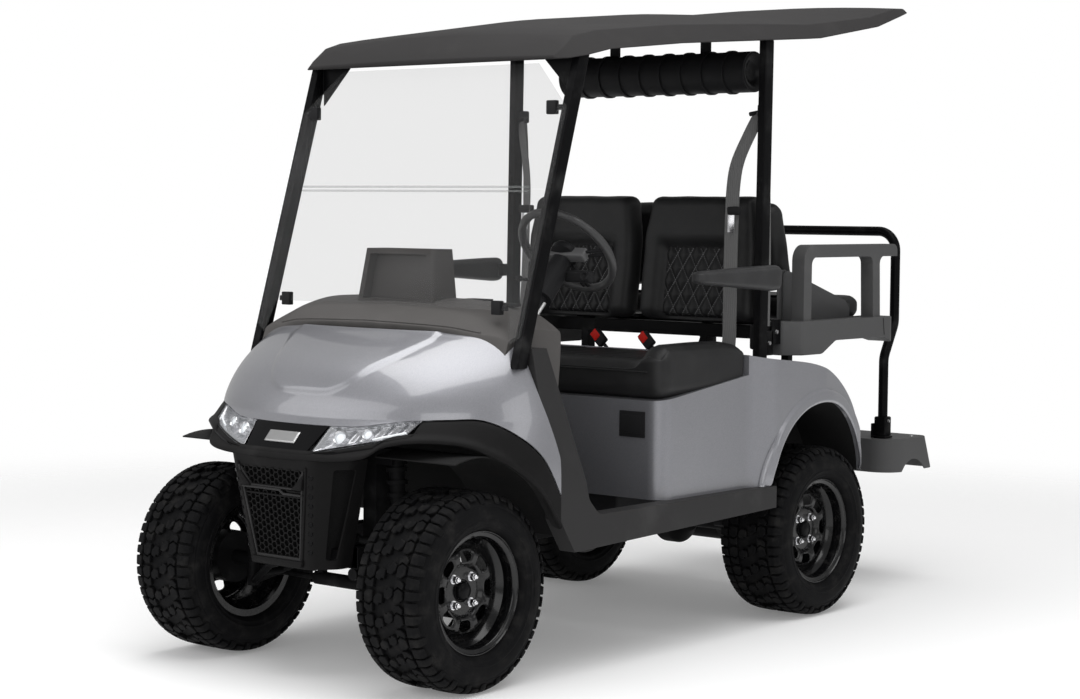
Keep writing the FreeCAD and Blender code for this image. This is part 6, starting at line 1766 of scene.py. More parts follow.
    def quilt_point(self, u: float, v: float, side: int) -> Vector:
        """Point of the quilted inset, puffed between its sewn lines.

        Args:
            u: Share across the inset.
            v: Share from its lower to its upper edge.
            side: One for the left back, minus one for the right.

        Returns:
            The point, before the back leans.
        """
        x = side * (self.quilt_middle + (u - 0.5) * 0.31)
        z = 0.985 + v * 0.245
        across, rise = (abs(x) - self.quilt_middle) / self.diamond[0], (z - 1.1) / self.diamond[1]
        lines = [abs((across + sign * rise) % 1.0 - 0.5) * 2 for sign in (-1, 1)]
        puff = math.sqrt(max(0.0, min(1.0, (1 - max(lines)) / 0.75)))
        edge = min(u, 1 - u, v, 1 - v)
        rim = smooth(0.0, 0.035, edge)
        return Vector((x, 1.4335 - 0.009 * rim - 0.0085 * puff * rim, z))

    def rear_seat(self) -> None:
        """Rear backs and the rear bench cushion."""
        form = Form()
        for side in (-1, 1):
            low = (min(side * 0.017, side * 0.439), 1.6575, 1.073)
            high = (max(side * 0.017, side * 0.439), 1.749, 1.3655)
            pad = Pad(low, high, 0.044, 0.008, 28, 0.0012)
            pad.shape(form, 1)
        form.turn(form.bm.verts[:], (0.0, 1.7, 1.073), (1, 0, 0), self.rear_lean)
        form.move(form.bm.verts[:], (0.0, FRONT_AXLE - 0.0035, 0.0))
        piece = form.finish("rear_seat_back_pads", SEAT_VINYL, "cart", ("rear_seat_backs",), 180.0)
        cushion = Form()
        pad = Pad((-0.419, 1.803, 0.9605), (0.419, 2.1755, 1.0458), 0.034, 0.007, 34, 0.001)
        made = pad.shape(cushion, 2, lambda a, b: -0.005 * smooth(0.06, 0.0, abs(a)))
        cushion.move(made, (0.0, FRONT_AXLE, 0.0))
        piece = cushion.finish("rear_bench_pad", SEAT_VINYL, "rear_bench", ("rear_cushion",), 180.0)
        self.hinges("rear_bench_hinges", "rear_bench", (1.807, 1.0413))

    def armrests(self) -> None:
        """Padded armrests that taper forwards, on steel stubs."""
        form, stubs = Form(), Form()
        for side in (-1, 1):
            low = (min(side * 0.5565, side * 0.6085), 0.952, 1.0745)
            high = (max(side * 0.5565, side * 0.6085), 1.4035, 1.1635)
            pad = Pad(low, high, 0.024, 0.004, 26, 0.0006)
            for vert in pad.shape(form, 2):
                share = 1 - (vert.co.y - low[1]) / (high[1] - low[1])
                rise = (vert.co.z - low[2]) / (high[2] - low[2])
                vert.co.z += mix(0.034, -0.017, rise) * share
                if vert.co.y > 1.36 and rise < 0.5:
                    vert.co.z += (vert.co.y - 1.36) * 0.3 * (0.5 - rise)
            stubs.block(side, (0.5345, 1.362, 1.097), (0.56, 1.424, 1.139), 0.004)
        form.move(form.bm.verts[:], (0.0, FRONT_AXLE, 0.0))
        piece = form.finish("armrest_pads", ARM_VINYL, "cart", ("armrests",), 180.0)
        stubs.finish("armrest_stubs", STEEL, "cart")

    def build(self) -> None:
        """Builds all seat pieces."""
        self.bench()
        self.backs()
        self.rear_seat()
        self.armrests()


@dataclass
class Softened:
    """A node whose edges are rounded: its name, its piece's name, its finish and the rounding's width."""

    node: str
    name: str
    finish: Finish
    width: float

    def build(self) -> None:
        """Makes the rounded piece that stands for the node."""
        form = Form()
        form.node(self.node, self.width)
        form.finish(self.name, self.finish, "cart", (self.node,), 50.0, even=True)


class Skin:
    """Surface of a CAD node, asked for the places where rays meet it."""

    def __init__(self, node: str) -> None:
        """Takes a copy of the node's surface."""
        form = Form()
        form.node(node)
        form.bm.normal_update()
        self.tree = BVHTree.FromBMesh(form.bm)
        form.bm.free()

    def hit(self, start: Vector, way: Vector) -> tuple[Vector, Vector] | None:
        """Sends a ray to the surface.

        Args:
            start: Where the ray starts.
            way: Its direction.

        Returns:
            Place and normal where it first meets the surface, or None.
        """
        place, normal, _, _ = self.tree.ray_cast(start, way)
        return None if place is None else (place, normal)

    def reach(self, start: Vector, way: Vector, fallback: float) -> Vector:
        """Sends a sideways ray to the surface.

        Args:
            start: Where the ray starts.
            way: Its direction.
            fallback: Place across the cart that stands for a miss.

        Returns:
            Where it meets the surface.
        """
        found = self.hit(start, way)
        return found[0] if found else Vector((fallback, start.y, start.z))


@dataclass
class Tub(Assembly):
    """Base of the seats with its fenders, the rockers and the small covers on them."""

    pieces: tuple[Softened, ...] = (
        Softened("rockers", "rocker_trims", ROCKER, 0.007),
                                    Softened("floor_mat", "ribbed_floor_mat", MAT, 0.002),
        Softened("lower_fascia", "fascia_shell", TRIM, 0.003))
    cover: tuple[Pair, Pair] = ((0.401, 0.498), (0.643, 0.722))
    cover_frame: float = 0.012
    shoulder: float = 0.021
    arch_centre: Pair = (1.655, 0.409)
    arch_radius: float = 0.2985
    skirt_z: float = 0.458

    def covers(self) -> None:
        """Square black covers on the front of the seat base."""
        form = Form()
        for side in (-1, 1):
            for inset, low, high, bevel in ((0.0, 0.8165, 0.8215, 0.002),
                                            (self.cover_frame, 0.8145, 0.8175, 0.0015)):
                (x_low, x_high), (z_low, z_high) = [(a + inset, b - inset) for a, b in self.cover]
                corners = ((x_low, z_low), (x_high, z_low), (x_high, z_high), (x_low, z_high))
                form.prism([(side * x, z) for x, z in corners], Plane.FRONT, along(low), along(high), bevel)
        form.box(spot((-0.03, 0.815, 0.742)), spot((0.03, 0.8215, 0.7565)), 0.002)
        form.finish("seat_base_covers", SATIN_BLACK, "cart", (), 40.0)

    def shell(self) -> None:
        """Base of the seats and its fenders, with soft shoulders and small edges elsewhere."""
        form = Form()
        form.node("rear_body")
        form.bm.normal_update()
        shoulders = []
        for edge in form.bm.edges:
            if len(edge.link_faces) != 2 or edge.calc_face_angle(0.0) < math.radians(28):
                continue
            side, top = sorted((f.normal for f in edge.link_faces), key=lambda n: -abs(n.x))
            middle = (edge.verts[0].co + edge.verts[1].co) / 2
            outer = abs(side.x) > 0.9 and abs(middle.x) > 0.55 and middle.z > 0.5
            if outer and (top.z > 0.25 or top.y > 0.5 or (top.y < -0.5 and middle.z > 0.77)):
                shoulders.append(edge)
        bmesh.ops.bevel(form.bm, geom=shoulders, offset=self.shoulder, segments=5, affect="EDGES",
                        profile=0.5,
                        material=-1, clamp_overlap=True)
        form.rounded(form.bm.verts[:], 0.004, 2, 30.0)
        form.finish("rear_body_shell", PAINT, "cart", ("rear_body",), 50.0, even=True)

    def arch_point(self, skin: Skin, u: float, v: float, side: int) -> Vector:
        """Point of the raised band around an arch.

        Args:
            skin: Surface of the fender.
            u: Share around the arch.
            v: Share from its rim outwards.
            side: One for the left arch, minus one for the right.

        Returns:
            The point.
        """
        run = mix(-0.16, 1.06, u)
        turn = math.radians(180 * min(1.0, max(0.0, run)))
        width = mix(0.046, 0.012, smooth(0.62, 0.95, run))
        radius = self.arch_radius + width * v
        drop = min(0.0, run) * 0.6 + min(0.0, 1.0 - run) * 0.6
        lift = 0.0005 + 0.0075 * smooth(1.0, 0.7, v) - 0.004 * smooth(0.12, 0.0, v)
        y, z = self.arch_centre
        place = spot((side * 0.7, y - radius * math.cos(turn), z + radius * math.sin(turn) + drop))
        outward = Vector((0.0, -math.cos(turn), math.sin(turn)))
        reach = skin.reach(place + outward * 0.006, Vector((-side, 0, 0)), side * 0.6035)
        return Vector((reach.x + side * lift, place.y, place.z))

    def arches(self) -> None:
        """Raised bands around the rear arches."""
        form, skin = Form(), Skin("rear_body")
        for side in (-1, 1):
            form.shell(64, 10, lambda u, v, side=side: self.arch_point(skin, u, v, side),
                       spot((0.0, 1.655, 0.5)), 0.0035)
        bmesh.ops.bisect_plane(form.bm, geom=form.bm.verts[:] + form.bm.edges[:] + form.bm.faces[:],
                               plane_co=(0, 0, self.skirt_z), plane_no=(0, 0, -1), clear_outer=True)
        edges = [e for e in form.bm.edges if e.is_boundary]
        bmesh.ops.holes_fill(form.bm, edges=edges, sides=0)
        form.finish("rear_arch_bands", PAINT, "cart", (), 50.0)

    def build(self) -> None:
        """Builds the tub."""
        super().build()
        self.shell()
        self.covers()
        self.arches()


@dataclass
class Cabin(Assembly):
    """Dash, storage tower, steering wheel, column, pedals and the small parts on them."""

    pieces: tuple[Softened, ...] = (Softened("pedals", "pedal_pads", STEEL, 0.003),)
    hub: Triple = (0.272, 0.716, 1.206)
    tilt: float = 42.0
    radius: float = 0.17
    half: float = 0.49
    bead_half: float = 0.4
    lip: tuple[tuple[float, ...], ...] = (
        (0.0, 0.13, 0.973, 0.118, 1.004, 1.068), (0.3, 0.147, 0.971, 0.142, 0.995, 1.062),
        (0.4, 0.16, 0.958, 0.166, 0.981, 1.038), (0.46, 0.168, 0.945, 0.176, 0.974, 1.008),
        (0.49, 0.172, 0.925, 0.186, 0.962, 0.988))
    tower_narrowing: float = 0.84
    tower_shift: float = 0.015
    rim_section: float = 0.0128
    key: Triple = (0.38, 0.668, 1.132)
    stalk: Triple = (0.16, 0.63, 1.12)
    switch_profile: tuple[Pair, ...] = ((0.0001, 0.016), (0.008, 0.015), (0.0095, 0.0), (0.0001, -0.002))
    key_profile: tuple[Pair, ...] = (
        (0.0001, 0.004), (0.008, 0.004), (0.009, 0.009), (0.0125, 0.009), (0.014, 0.0), (0.0001, -0.002))
    knob_profile: tuple[Pair, ...] = ((0.0001, 0.008), (0.0075, 0.0075), (0.0085, 0.0), (0.0001, -0.001))
    hub_profile: tuple[Pair, ...] = (
        (0.0001, 0.006), (0.03, 0.0055), (0.042, 0.0), (0.046, -0.008), (0.044, -0.022), (0.0001, -0.03))
    wing_half: float = 0.088

    def dash_rows(self, x: float) -> list[Triple]:
        """Profile of the dash.

        Args:
            x: Place across the cart.

        Returns:
            Rows of share, distance behind the front axle and height.
        """
        seam_y, seam_z, lip_y, lip_z, peak = curve_at(self.lip, abs(x))
        return [(0.0, seam_y, seam_z - 0.004), (0.1, lip_y - 0.001, lip_z - 0.007),
                (0.16, lip_y + 0.005, lip_z),
                (0.38, mix(lip_y, 0.3, 0.5), mix(lip_z, peak, 0.66)), (0.6, 0.3, peak),
                (0.74, 0.388, peak - 0.006),
                (0.84, 0.42, mix(peak, 0.69, 0.1)), (1.0, 0.396, 0.692)]

    def dash(self) -> None:
        """Dash that follows the seam of the hood, with a thin lip and a domed top."""
        form = Form()

        def place(u: float, v: float) -> Vector:
            """Point of the dash."""
            x = mix(-self.half, self.half, u)
            return spot((x, *curve_at(self.dash_rows(x), v)))

        form.shell(72, 56, place, spot((0.0, 0.3, 0.8)), 0.004)
        edge = [curve_at(self.dash_rows(self.half), i / 40) for i in range(41)]
        for side in (-1, 1):
            form.prism([(FRONT_AXLE + y, z) for y, z in edge], Plane.SIDE, side * (self.half - 0.004),
                       side * self.half)
        bead = []
        for i in range(49):
            x = mix(-self.bead_half, self.bead_half, i / 48)
            _, _, lip_y, lip_z, _ = curve_at(self.lip, abs(x))
            bead.append(spot((x, lip_y + 0.0045, lip_z + 0.0012)))
        form.tube(bead, 0.0026, 8)
        # The dash's plastic is the tower's made lighter: a painted sheen on its top.
        form.finish("dash_form", DASH_WITH_PAINTED_SHEEN, "cart", ("dash",), 50.0)

    def tower(self) -> None:
        """Storage tower with its sunken, slightly hollow front."""
        form = Form()
        form.node("dash_pod")
        form.bm.normal_update()
        front = max((f for f in form.bm.faces if f.normal.y < -0.8), key=lambda f: f.calc_area())
        bmesh.ops.inset_region(form.bm, faces=[front], thickness=0.016, use_even_offset=True)
        grown = bmesh.ops.extrude_face_region(form.bm, geom=[front])["geom"]
        sunk = [v for v in grown if isinstance(v, bmesh.types.BMVert)]
        for vert in sunk:
            vert.co.y += mix(0.03, 0.008, (vert.co.x + 0.17) / 0.34)
            vert.co.x *= 0.97
        if front.is_valid:
            bmesh.ops.delete(form.bm, geom=[front], context="FACES_ONLY")
        for vert in form.bm.verts:
            vert.co.x *= self.tower_narrowing
            vert.co.y -= self.tower_shift
        form.rounded(form.bm.verts[:], 0.0035, 3, 24.0)
        form.finish("dash_tower", TOWER, "cart", ("dash_pod",), 50.0, even=True)

    def wheel_point(self, radius: float, degrees: float, height: float) -> Vector:
        """Point on the steering wheel.

        Args:
            radius: Distance from its axis.
            degrees: Angle from its top.
            height: Distance along its axis.

        Returns:
            The point.
        """
        tilt, angle = math.radians(self.tilt), math.radians(degrees)
        axis = Vector((0.0, math.cos(tilt), math.sin(tilt)))
        up = Vector((0.0, -math.sin(tilt), math.cos(tilt)))
        round_axis = Vector((1, 0, 0)) * radius * math.sin(angle) + up * radius * math.cos(angle)
        return spot(self.hub) + round_axis + axis * height

    def grip(self) -> None:
        """Rim with its thicker grips, spokes and the pad in the middle."""
        form = Form()
        steps = 96
        ring = [self.wheel_point(self.radius - 0.0143, 360 * i / steps, 0.0) for i in range(steps)]
        made = form.tube(ring, self.rim_section, 14, ring=True)
        middle = self.wheel_point(0, 0, 0)
        form.swell(made, lambda co: 0.0008 * math.cos(24 * math.atan2(co.x - middle.x, (co - middle).length)))
        # The rim's finish is lightened as a painted highlight.
        form.finish("steering_rim", GRIP_WITH_PAINTED_HIGHLIGHT, "hand_wheel", ("steering_wheel",), 180.0)
        parts = Form()
        for degrees in (90, 180, 270):
            for shift in (-3.2, 3.2):
                path = [self.wheel_point(0.03, degrees + shift * 3, -0.012),
                        self.wheel_point(0.09, degrees + shift * 1.6, -0.012),
                        self.wheel_point(self.radius - 0.018, degrees + shift, -0.001)]
                parts.tube(path, 0.0052, 10, 0.03, 5)
        axis = self.wheel_point(0, 0, 1) - middle
        parts.bolt(self.hub_profile, tuple(middle), tuple(axis), 48)
        parts.finish("steering_spokes", SATIN_BLACK, "hand_wheel", (), 50.0)
        wing = Form()
        made = wing.box((-self.wing_half, -0.026, -0.03), (self.wing_half, 0.01, 0.03), 0.0098, 4)
        for vert in made:
            vert.co.z *= 1 - 0.55 * (vert.co.x / self.wing_half) ** 2
            vert.co.y -= 0.012 * (vert.co.x / self.wing_half) ** 2
        wing.turn(made, (0.0, 0.0, 0.0), (1, 0, 0), self.tilt)
        wing.move(made, tuple(middle))
        # The pad's finish is lightened as painted light against the shade it sits in.
        wing.finish("steering_wing_pad", WING_WITH_PAINTED_LIGHT, "hand_wheel", (), 60.0)

    def column(self) -> None:
        """Shroud of the column with its stalk, switch and key."""
        form = Form()
        form.node("steering_column", 0.003)
        form.tube([spot((0.235, 0.64, 1.115)), spot((0.175, 0.632, 1.118)), spot(self.stalk)], 0.0045, 10)
        form.bolt(self.switch_profile, spot(self.stalk), (-1, 0, 0.02), 20)
        form.box(spot((0.296, 0.668, 1.112)), spot((0.396, 0.698, 1.148)), 0.009, 3)
        form.bolt(self.key_profile, spot(self.key), (0.15, -0.9, 0.25), 24)
        form.finish("column_shroud", SATIN_BLACK, "cart", ("steering_column",), 50.0, even=True)
        rods = Form()
        for x in (0.252, 0.292):
            rods.tube([spot((x, 0.42, 0.885)), spot((x, 0.585, 1.05))], 0.006, 12)
        rods.finish("column_rods", ZINC, "cart")

    def dash_details(self) -> None:
        """Switches, their panel and the knobs of the dash."""
        form = Form()
        for low_x, high_x in ((0.2, 0.285), (0.3, 0.39)):
            corners = ((low_x, 0.33), (high_x, 0.325), (high_x, 0.36), (low_x, 0.368))
            form.prism([(x, along(y)) for x, y in corners], Plane.TOP, 1.05,
                       1.0685 - max(0.0, high_x - 0.3) * 0.1, 0.002)
        form.prism([(0.19, 0.985), (0.36, 0.985), (0.352, 1.035), (0.198, 1.035)], Plane.FRONT,
                   along(0.423), along(0.4285), 0.0018)
        form.finish("dash_fittings", GLOSS_BLACK, "cart", (), 40.0)
        knobs = Form()
        for x in (0.215, 0.245, 0.305, 0.335):
            knobs.bolt(self.knob_profile, spot((x, 0.4285, 1.01)), (0, 1, 0), 24)
        knobs.finish("dash_knobs", SATIN_BLACK, "cart", (), 40.0)

    def build(self) -> None:
        """Builds the cabin."""
        super().build()
        self.dash()
        self.tower()
        self.grip()
        self.column()
        self.dash_details()


@dataclass
class Rear(Assembly):
    """Side bins with their hoops, the grab bar with its sleeves and the foot step."""

    pieces: tuple[Softened, ...] = (
        Softened("rear_trays", "rear_side_bins", TRAY, 0.007),
                                    Softened("foot_step", "step_moulding", TRAY, 0.007),
        Softened("seat_frame", "seat_frame_welded", STEEL, 0.0025))
    bar_x: float = 0.4
    step_top: float = 0.5222
    sleeve_bolt: tuple[Pair, ...] = ((0.0001, 0.006), (0.005, 0.0058), (0.0062, 0.0), (0.0001, 0.0))
    step_bolt: tuple[Pair, ...] = ((0.0001, 0.004), (0.006, 0.003), (0.0075, 0.0), (0.0001, 0.0))
    plate_bolt: tuple[Pair, ...] = ((0.0001, 0.006), (0.0065, 0.0055), (0.008, 0.0), (0.0001, 0.0))
    post_plates: tuple[Triple, ...] = ((1.463, 0.905, 0.05), (1.505, 0.94, 0.052))
    panel_outline: tuple[Pair, ...] = (
        (1.625, 0.968), (2.035, 0.968), (2.035, 1.0), (2.01, 1.028), (1.665, 1.132), (1.64, 1.135),
                                       (1.625, 1.12))

    def sleeves(self) -> None:
        """Steel sleeves and plates that hold the grab bar on the step and at the deck."""
        form, bolts = Form(), Form()
        for side in (-1, 1):
            x = side * self.bar_x
            form.box(spot((x - 0.026, 2.346, 0.523)), spot((x + 0.026, 2.398, 0.531)), 0.002)
            form.box(spot((x - 0.0225, 2.3485, 0.53)), spot((x + 0.0225, 2.3955, 0.6)), 0.005)
            form.box(spot((x - 0.03, 2.34, 0.523)), spot((x - 0.024, 2.40, 0.575)), 0.002)
            bolts.bolt(self.sleeve_bolt, spot((x + side * 0.0226, 2.372, 0.585)), (side, 0, 0))
            for dx, y in ((-0.1, 2.36), (-0.1, 2.50), (0.045, 2.50)):
                bolts.bolt(self.step_bolt, spot((x + dx * side, y, self.step_top)), (0, 0, 1), 16)
        form.finish("grab_bar_sleeves", STEEL, "cart", (), 40.0)
        bolts.finish("step_bolts", ZINC, "cart", (), 40.0)

    def brackets(self) -> None:
        """Plates with bolts under the bins and beside the rear roof posts."""
        form, bolts = Form(), Form()
        for side in (-1, 1):
            for y, z, wide in self.post_plates:
                form.block(side, (0.508, y - wide / 2, z - 0.04), (0.5125, y + wide / 2, z + 0.04), 0.002)
                bolts.bolt(self.plate_bolt, spot((side * 0.5125, y, z)), (side, 0, 0))
            form.block(side, (0.43, 1.48, 0.905), (0.508, 1.535, 0.911), 0.002)
        form.finish("post_brackets", STEEL, "cart", (), 40.0)
        bolts.finish("post_bracket_bolts", ZINC, "cart", (), 40.0)

    def panels(self) -> None:
        """Slanted panels between the hoops and the rear seat, in a plastic lighter than the bins as painted
        light on panels that sit in shade.
        """
        form = Form()
        for side in (-1, 1):
            form.prism([(along(y), z) for y, z in self.panel_outline], Plane.SIDE, side * 0.454,
                       side * 0.4605, 0.0022)
        form.finish("slanted_side_panels", PANEL_WITH_PAINTED_LIGHT, "cart", (), 40.0)

    def seams(self) -> None:
        """Fine parting line on each bin."""
        form = Form()
        for side in (-1, 1):
            form.tube([spot((side * 0.5663, 2.092, 0.912)), spot((side * 0.5663, 2.084, 0.968))], 0.0014, 8)
        form.finish("bin_parting_lines", SATIN_BLACK, "cart", (), 60.0)

    def build(self) -> None:
        """Builds the rear."""
        super().build()
        self.sleeves()
        self.brackets()
        self.panels()
        self.seams()


@dataclass
class Top(Assembly):
    """Roof, posts, windshield hardware and the ends of the sound bar."""

    pieces: tuple[Softened, ...] = (
        Softened("roof", "roof_moulding", ROOF, 0.006),
                                    Softened("front_posts", "front_post_tubes", STEEL, 0.004),
        Softened("rear_posts", "rear_post_tubes", STEEL, 0.004))
    fold_z: float = 1.388
    clips: tuple[Pair, ...] = ((1.622, 0.478), (1.052, 0.424))
    cone: tuple[Pair, ...] = (
        (0.0001, -0.016), (0.02, -0.018), (0.036, -0.012), (0.05, -0.001), (0.062, 0.0), (0.066, -0.002),
        (0.066, -0.012), (0.0001, -0.022))

    def pane_y(self, z: float) -> float:
        """Distance of the windshield behind the front axle at a height, on its outer face."""
        return mix(0.182, 0.424, (z - 0.95) / (1.752 - 0.95))

    def hardware(self) -> None:
        """Hinge strip across the fold, clips and rubber edge of the windshield."""
        rubber, clips = Form(), Form()
        for dz in (-0.006, 0.006):
            z = self.fold_z + dz
            y = self.pane_y(z) - 0.001
            rubber.tube([spot((-0.455, y, z)), spot((0.455, y, z))], 0.0035, 10)
        for side in (-1, 1):
            for z, x in self.clips:
                y = self.pane_y(z)
                clips.block(side, (x - 0.017, y - 0.007, z - 0.02), (x + 0.017, y + 0.012, z + 0.02), 0.003)
                clips.block(side, (x, y + 0.002, z - 0.008), (x + 0.035, y + 0.011, z + 0.008), 0.002)
        rubber.finish("windshield_hinge", CLEAR_TRIM, "cart", (), 60.0)
        clips.finish("windshield_clips", SATIN_BLACK, "cart", (), 40.0)

    def bar_details(self) -> None:
        """Speaker faces and end caps of the sound bar."""
        form = Form()
        for side in (-1, 1):
            form.bolt(self.cone, spot((side * 0.3855, 1.5435, 1.7865)), (side, 0, 0), 48)
        form.finish("sound_bar_ends", GLOSS_BLACK, "cart", (), 40.0)

    def build(self) -> None:
        """Builds the top."""
        super().build()
        self.hardware()
        self.bar_details()


@dataclass
class Belts(Assembly):
    """Shoulder belts with guides, tongues and retractors, and the buckles between the seats."""

    half: float = 0.0225
    thickness: float = 0.0016
    lean: float = -45.0
    front_run: tuple[Triple, ...] = (
        (0.503, 1.412, 1.648), (0.476, 1.392, 1.58), (0.444, 1.372, 1.49), (0.432, 1.366, 1.41),
                                     (0.43, 1.362, 1.3),
        (0.43, 1.358, 1.15), (0.434, 1.352, 1.0), (0.44, 1.342, 0.92), (0.444, 1.325, 0.85),
                                     (0.446, 1.305, 0.79))
    rear_run: tuple[Triple, ...] = (
        (0.503, 1.432, 1.655), (0.5, 1.44, 1.5), (0.5035, 1.446, 1.2), (0.5035, 1.446, 0.96))

    def strap(self, form: Form, side: int) -> None:
        """Adds the two runs of one belt: over the back to the seat, and down to the retractor.

        Args:
            form: Form that takes them.
            side: One for the left belt, minus one for the right.
        """
        for run, across in ((self.front_run, (side * 0.94, 0.34, 0)), (self.rear_run, (side * 0.3, 0.95, 0))):
            form.ribbon([(side * x, y, z) for x, y, z in run], self.half, self.thickness, across)

    def build(self) -> None:
        """Builds straps, hardware and buckles."""
        straps, hard, metal, red = Form(), Form(), Form(), Form()
        for side in (-1, 1):
            self.strap(straps, side)
            hard.block(side, (0.493, 1.402, 1.63), (0.517, 1.452, 1.672), 0.006, 3)
            hard.tube([spot((side * 0.475, 1.39, 1.64)), spot((side * 0.501, 1.44, 1.652))], 0.007, 12)
            hard.block(side, (0.402, 1.356, 1.318), (0.462, 1.372, 1.345), 0.004)
            metal.block(side, (0.418, 1.355, 1.262), (0.444, 1.3575, 1.318), 0.0008)
            hard.block(side, (0.47, 1.41, 0.885), (0.506, 1.46, 0.965), 0.008, 3)
            at = spot((0.06 + side * 0.1, 1.345, 0.85))
            stalk = hard.box(at + Vector((-0.006, -0.003, -0.005)), at + Vector((0.006, 0.003, 0.06)), 0.0015)
            case = hard.box(at + Vector((-0.019, -0.011, 0.045)), at + Vector((0.019, 0.011, 0.1)), 0.005, 3)
            knob = red.box(at + Vector((-0.0145, -0.0135, 0.07)), at + Vector((0.0145, 0.0, 0.1025)), 0.003,
                           3)
            hard.turn(stalk + case, at, (0, 1, 0), self.lean)
            red.turn(knob, at, (0, 1, 0), self.lean)
        straps.finish("belt_webbing_runs", WEBBING, "cart", ("seat_belts",), 60.0)
        hard.finish("belt_hardware", SATIN_BLACK, "cart", (), 40.0)
        metal.finish("belt_tongues", CHROME, "cart", (), 40.0)
        red.finish("buckle_buttons", RED, "cart", (), 40.0)


@dataclass
class Running(Assembly):
    """Frame, floor, liners and battery with rounded edges."""

    pieces: tuple[Softened, ...] = tuple(
        Softened(node, f"{node}_welded", finish, width) for node, finish, width in (
            ("frame_rails", CHASSIS, 0.004), ("cross_members", CHASSIS, 0.002),
                                                                                    ("wheel_liners", LINER,
                                                                                     0.004),
            ("floor_pan", LINER, 0.004), ("battery", SATIN_BLACK, 0.01)))


@dataclass
class Grille(Assembly):
    """Honeycomb front of the fascia with its frame lines, ledge, corner webs and backing."""

    cell: float = 0.0112
    wall: float = 0.0017
    depth: float = 0.011
    stud: tuple[Pair, ...] = ((0.0001, 0.0022), (0.0065, 0.002), (0.0082, 0.0), (0.0001, -0.002))

    def face_y(self, z: float) -> float:
        """Distance of the fascia's front behind the front axle at a height."""
        return -0.2245 - (z - 0.342) * 0.1318

    def front(self, x: float, z: float, out: float = 0.0) -> Vector:
        """Point on the fascia's front, or as far before it as out says."""
        return spot((x, self.face_y(z) - out, z))

    def honeycomb(self, form: Form, low: Pair, high: Pair) -> None:
        """Adds a honeycomb clipped to a trapezoid.

        Args:
            form: Form that takes it.
            low: Half width and height of its lower edge.
            high: Half width and height of its upper edge.
        """
        flat = Form()
        step_x, step_z = self.cell * 1.5, self.cell * math.sqrt(3)
        for i in range(-10, 11):
            for k in range(-2, 14):
                cell = bmesh.ops.create_circle(flat.bm, cap_ends=True, segments=6, radius=self.cell)["verts"]
                bmesh.ops.rotate(flat.bm, verts=cell, cent=(0, 0, 0),
                                 matrix=Matrix.Rotation(math.radians(30), 3, "Z"))
                bmesh.ops.translate(flat.bm, verts=cell,
                                    vec=(i * step_x, low[1] + (k + (i % 2) / 2) * step_z, 0))
        bmesh.ops.remove_doubles(flat.bm, verts=flat.bm.verts, dist=1e-4)
        faces = flat.bm.faces[:]
        bmesh.ops.inset_individual(flat.bm, faces=faces, thickness=self.wall)
        bmesh.ops.delete(flat.bm, geom=faces, context="FACES")
        lean = Vector((high[1] - low[1], low[0] - high[0], 0)).normalized()
        cuts = [((0, low[1], 0), (0, -1, 0)), ((0, high[1], 0), (0, 1, 0)),
                ((low[0], low[1], 0), tuple(lean)),
                ((-low[0], low[1], 0), (-lean.x, lean.y, 0))]
        for point, normal in cuts:
            bmesh.ops.bisect_plane(flat.bm, geom=flat.bm.verts[:] + flat.bm.edges[:] + flat.bm.faces[:],
                                   plane_co=point, plane_no=normal, clear_outer=True)
        grown = bmesh.ops.extrude_face_region(flat.bm, geom=flat.bm.faces[:], use_keep_orig=True)["geom"]
        for vert in (item for item in grown if isinstance(item, bmesh.types.BMVert)):
            vert.co.z += self.depth
        for vert in flat.bm.verts:
            x, z, back = vert.co
            vert.co = spot((x, self.face_y(z) + 0.002 + back, z))
        bmesh.ops.recalc_face_normals(flat.bm, faces=flat.bm.faces)
        form.take(flat)

    def bars(self) -> None:
        """Frame lines, ledge with its step and corner webs."""
        form, front = Form(), self.front
        for side in (-1, 1):
            form.tube([front(side * 0.1165, 0.54, 0.001), front(side * 0.0865, 0.352, 0.001)], 0.0032, 10)
            form.tube([front(side * 0.1275, 0.603, 0.001), front(side * 0.1165, 0.54, 0.001)], 0.003, 10)
            web = [(side * 0.124, 0.6), (side * 0.121, 0.59), (side * 0.1165, 0.548), (side * 0.082, 0.548)]
            made = form.prism(web, Plane.FRONT, 0.0, 0.008, 0.0015)
            for vert in made:
                vert.co.y += FRONT_AXLE + self.face_y(vert.co.z) - 0.001
        form.tube([front(-0.118, 0.5435, 0.004), front(0.03, 0.5435, 0.004), front(0.045, 0.533, 0.004),
                   front(0.1165, 0.533, 0.004)], 0.0036, 10, 0.01, 5)
        form.tube([front(-0.118, 0.549, 0.001), front(0.118, 0.549, 0.001)], 0.003, 10)
        lip = [(-0.092, 0.338), (0.092, 0.338), (0.0875, 0.353), (-0.0875, 0.353)]
        made = form.prism(lip, Plane.FRONT, 0.0, 0.012, 0.002)
        for vert in made:
            vert.co.y += FRONT_AXLE + self.face_y(vert.co.z) - 0.004
        form.finish("grille_bars", EDGE_TRIM, "cart", (), 50.0)

    def backing(self) -> None:
        """Dark sheets behind the honeycomb and behind the side pockets."""
        form = Form()

        def middle(u: float, v: float) -> Vector:
            """Point of the sheet behind the honeycomb."""
            z = mix(0.345, 0.602, v)
            return spot((mix(-0.118, 0.118, u) * mix(0.74, 1.0, v), self.face_y(z) + 0.019, z))

        form.shell(8, 8, middle, spot((0.0, 0.0, 0.45)), 0.003)
        for side in (-1, 1):

            def pocket(u: float, v: float) -> Vector:
                """Point of the sheet behind one side pocket."""
                across = mix(mix(0.105, 0.15, v), mix(0.13, 0.185, v), u)
                return spot((side * across, mix(-0.205, -0.1, u), mix(0.335, 0.615, v)))

            form.shell(10, 10, pocket, spot((0.0, -0.1, 0.45)), 0.003)
        form.finish("fascia_backing", LINER, "cart", (), 50.0)

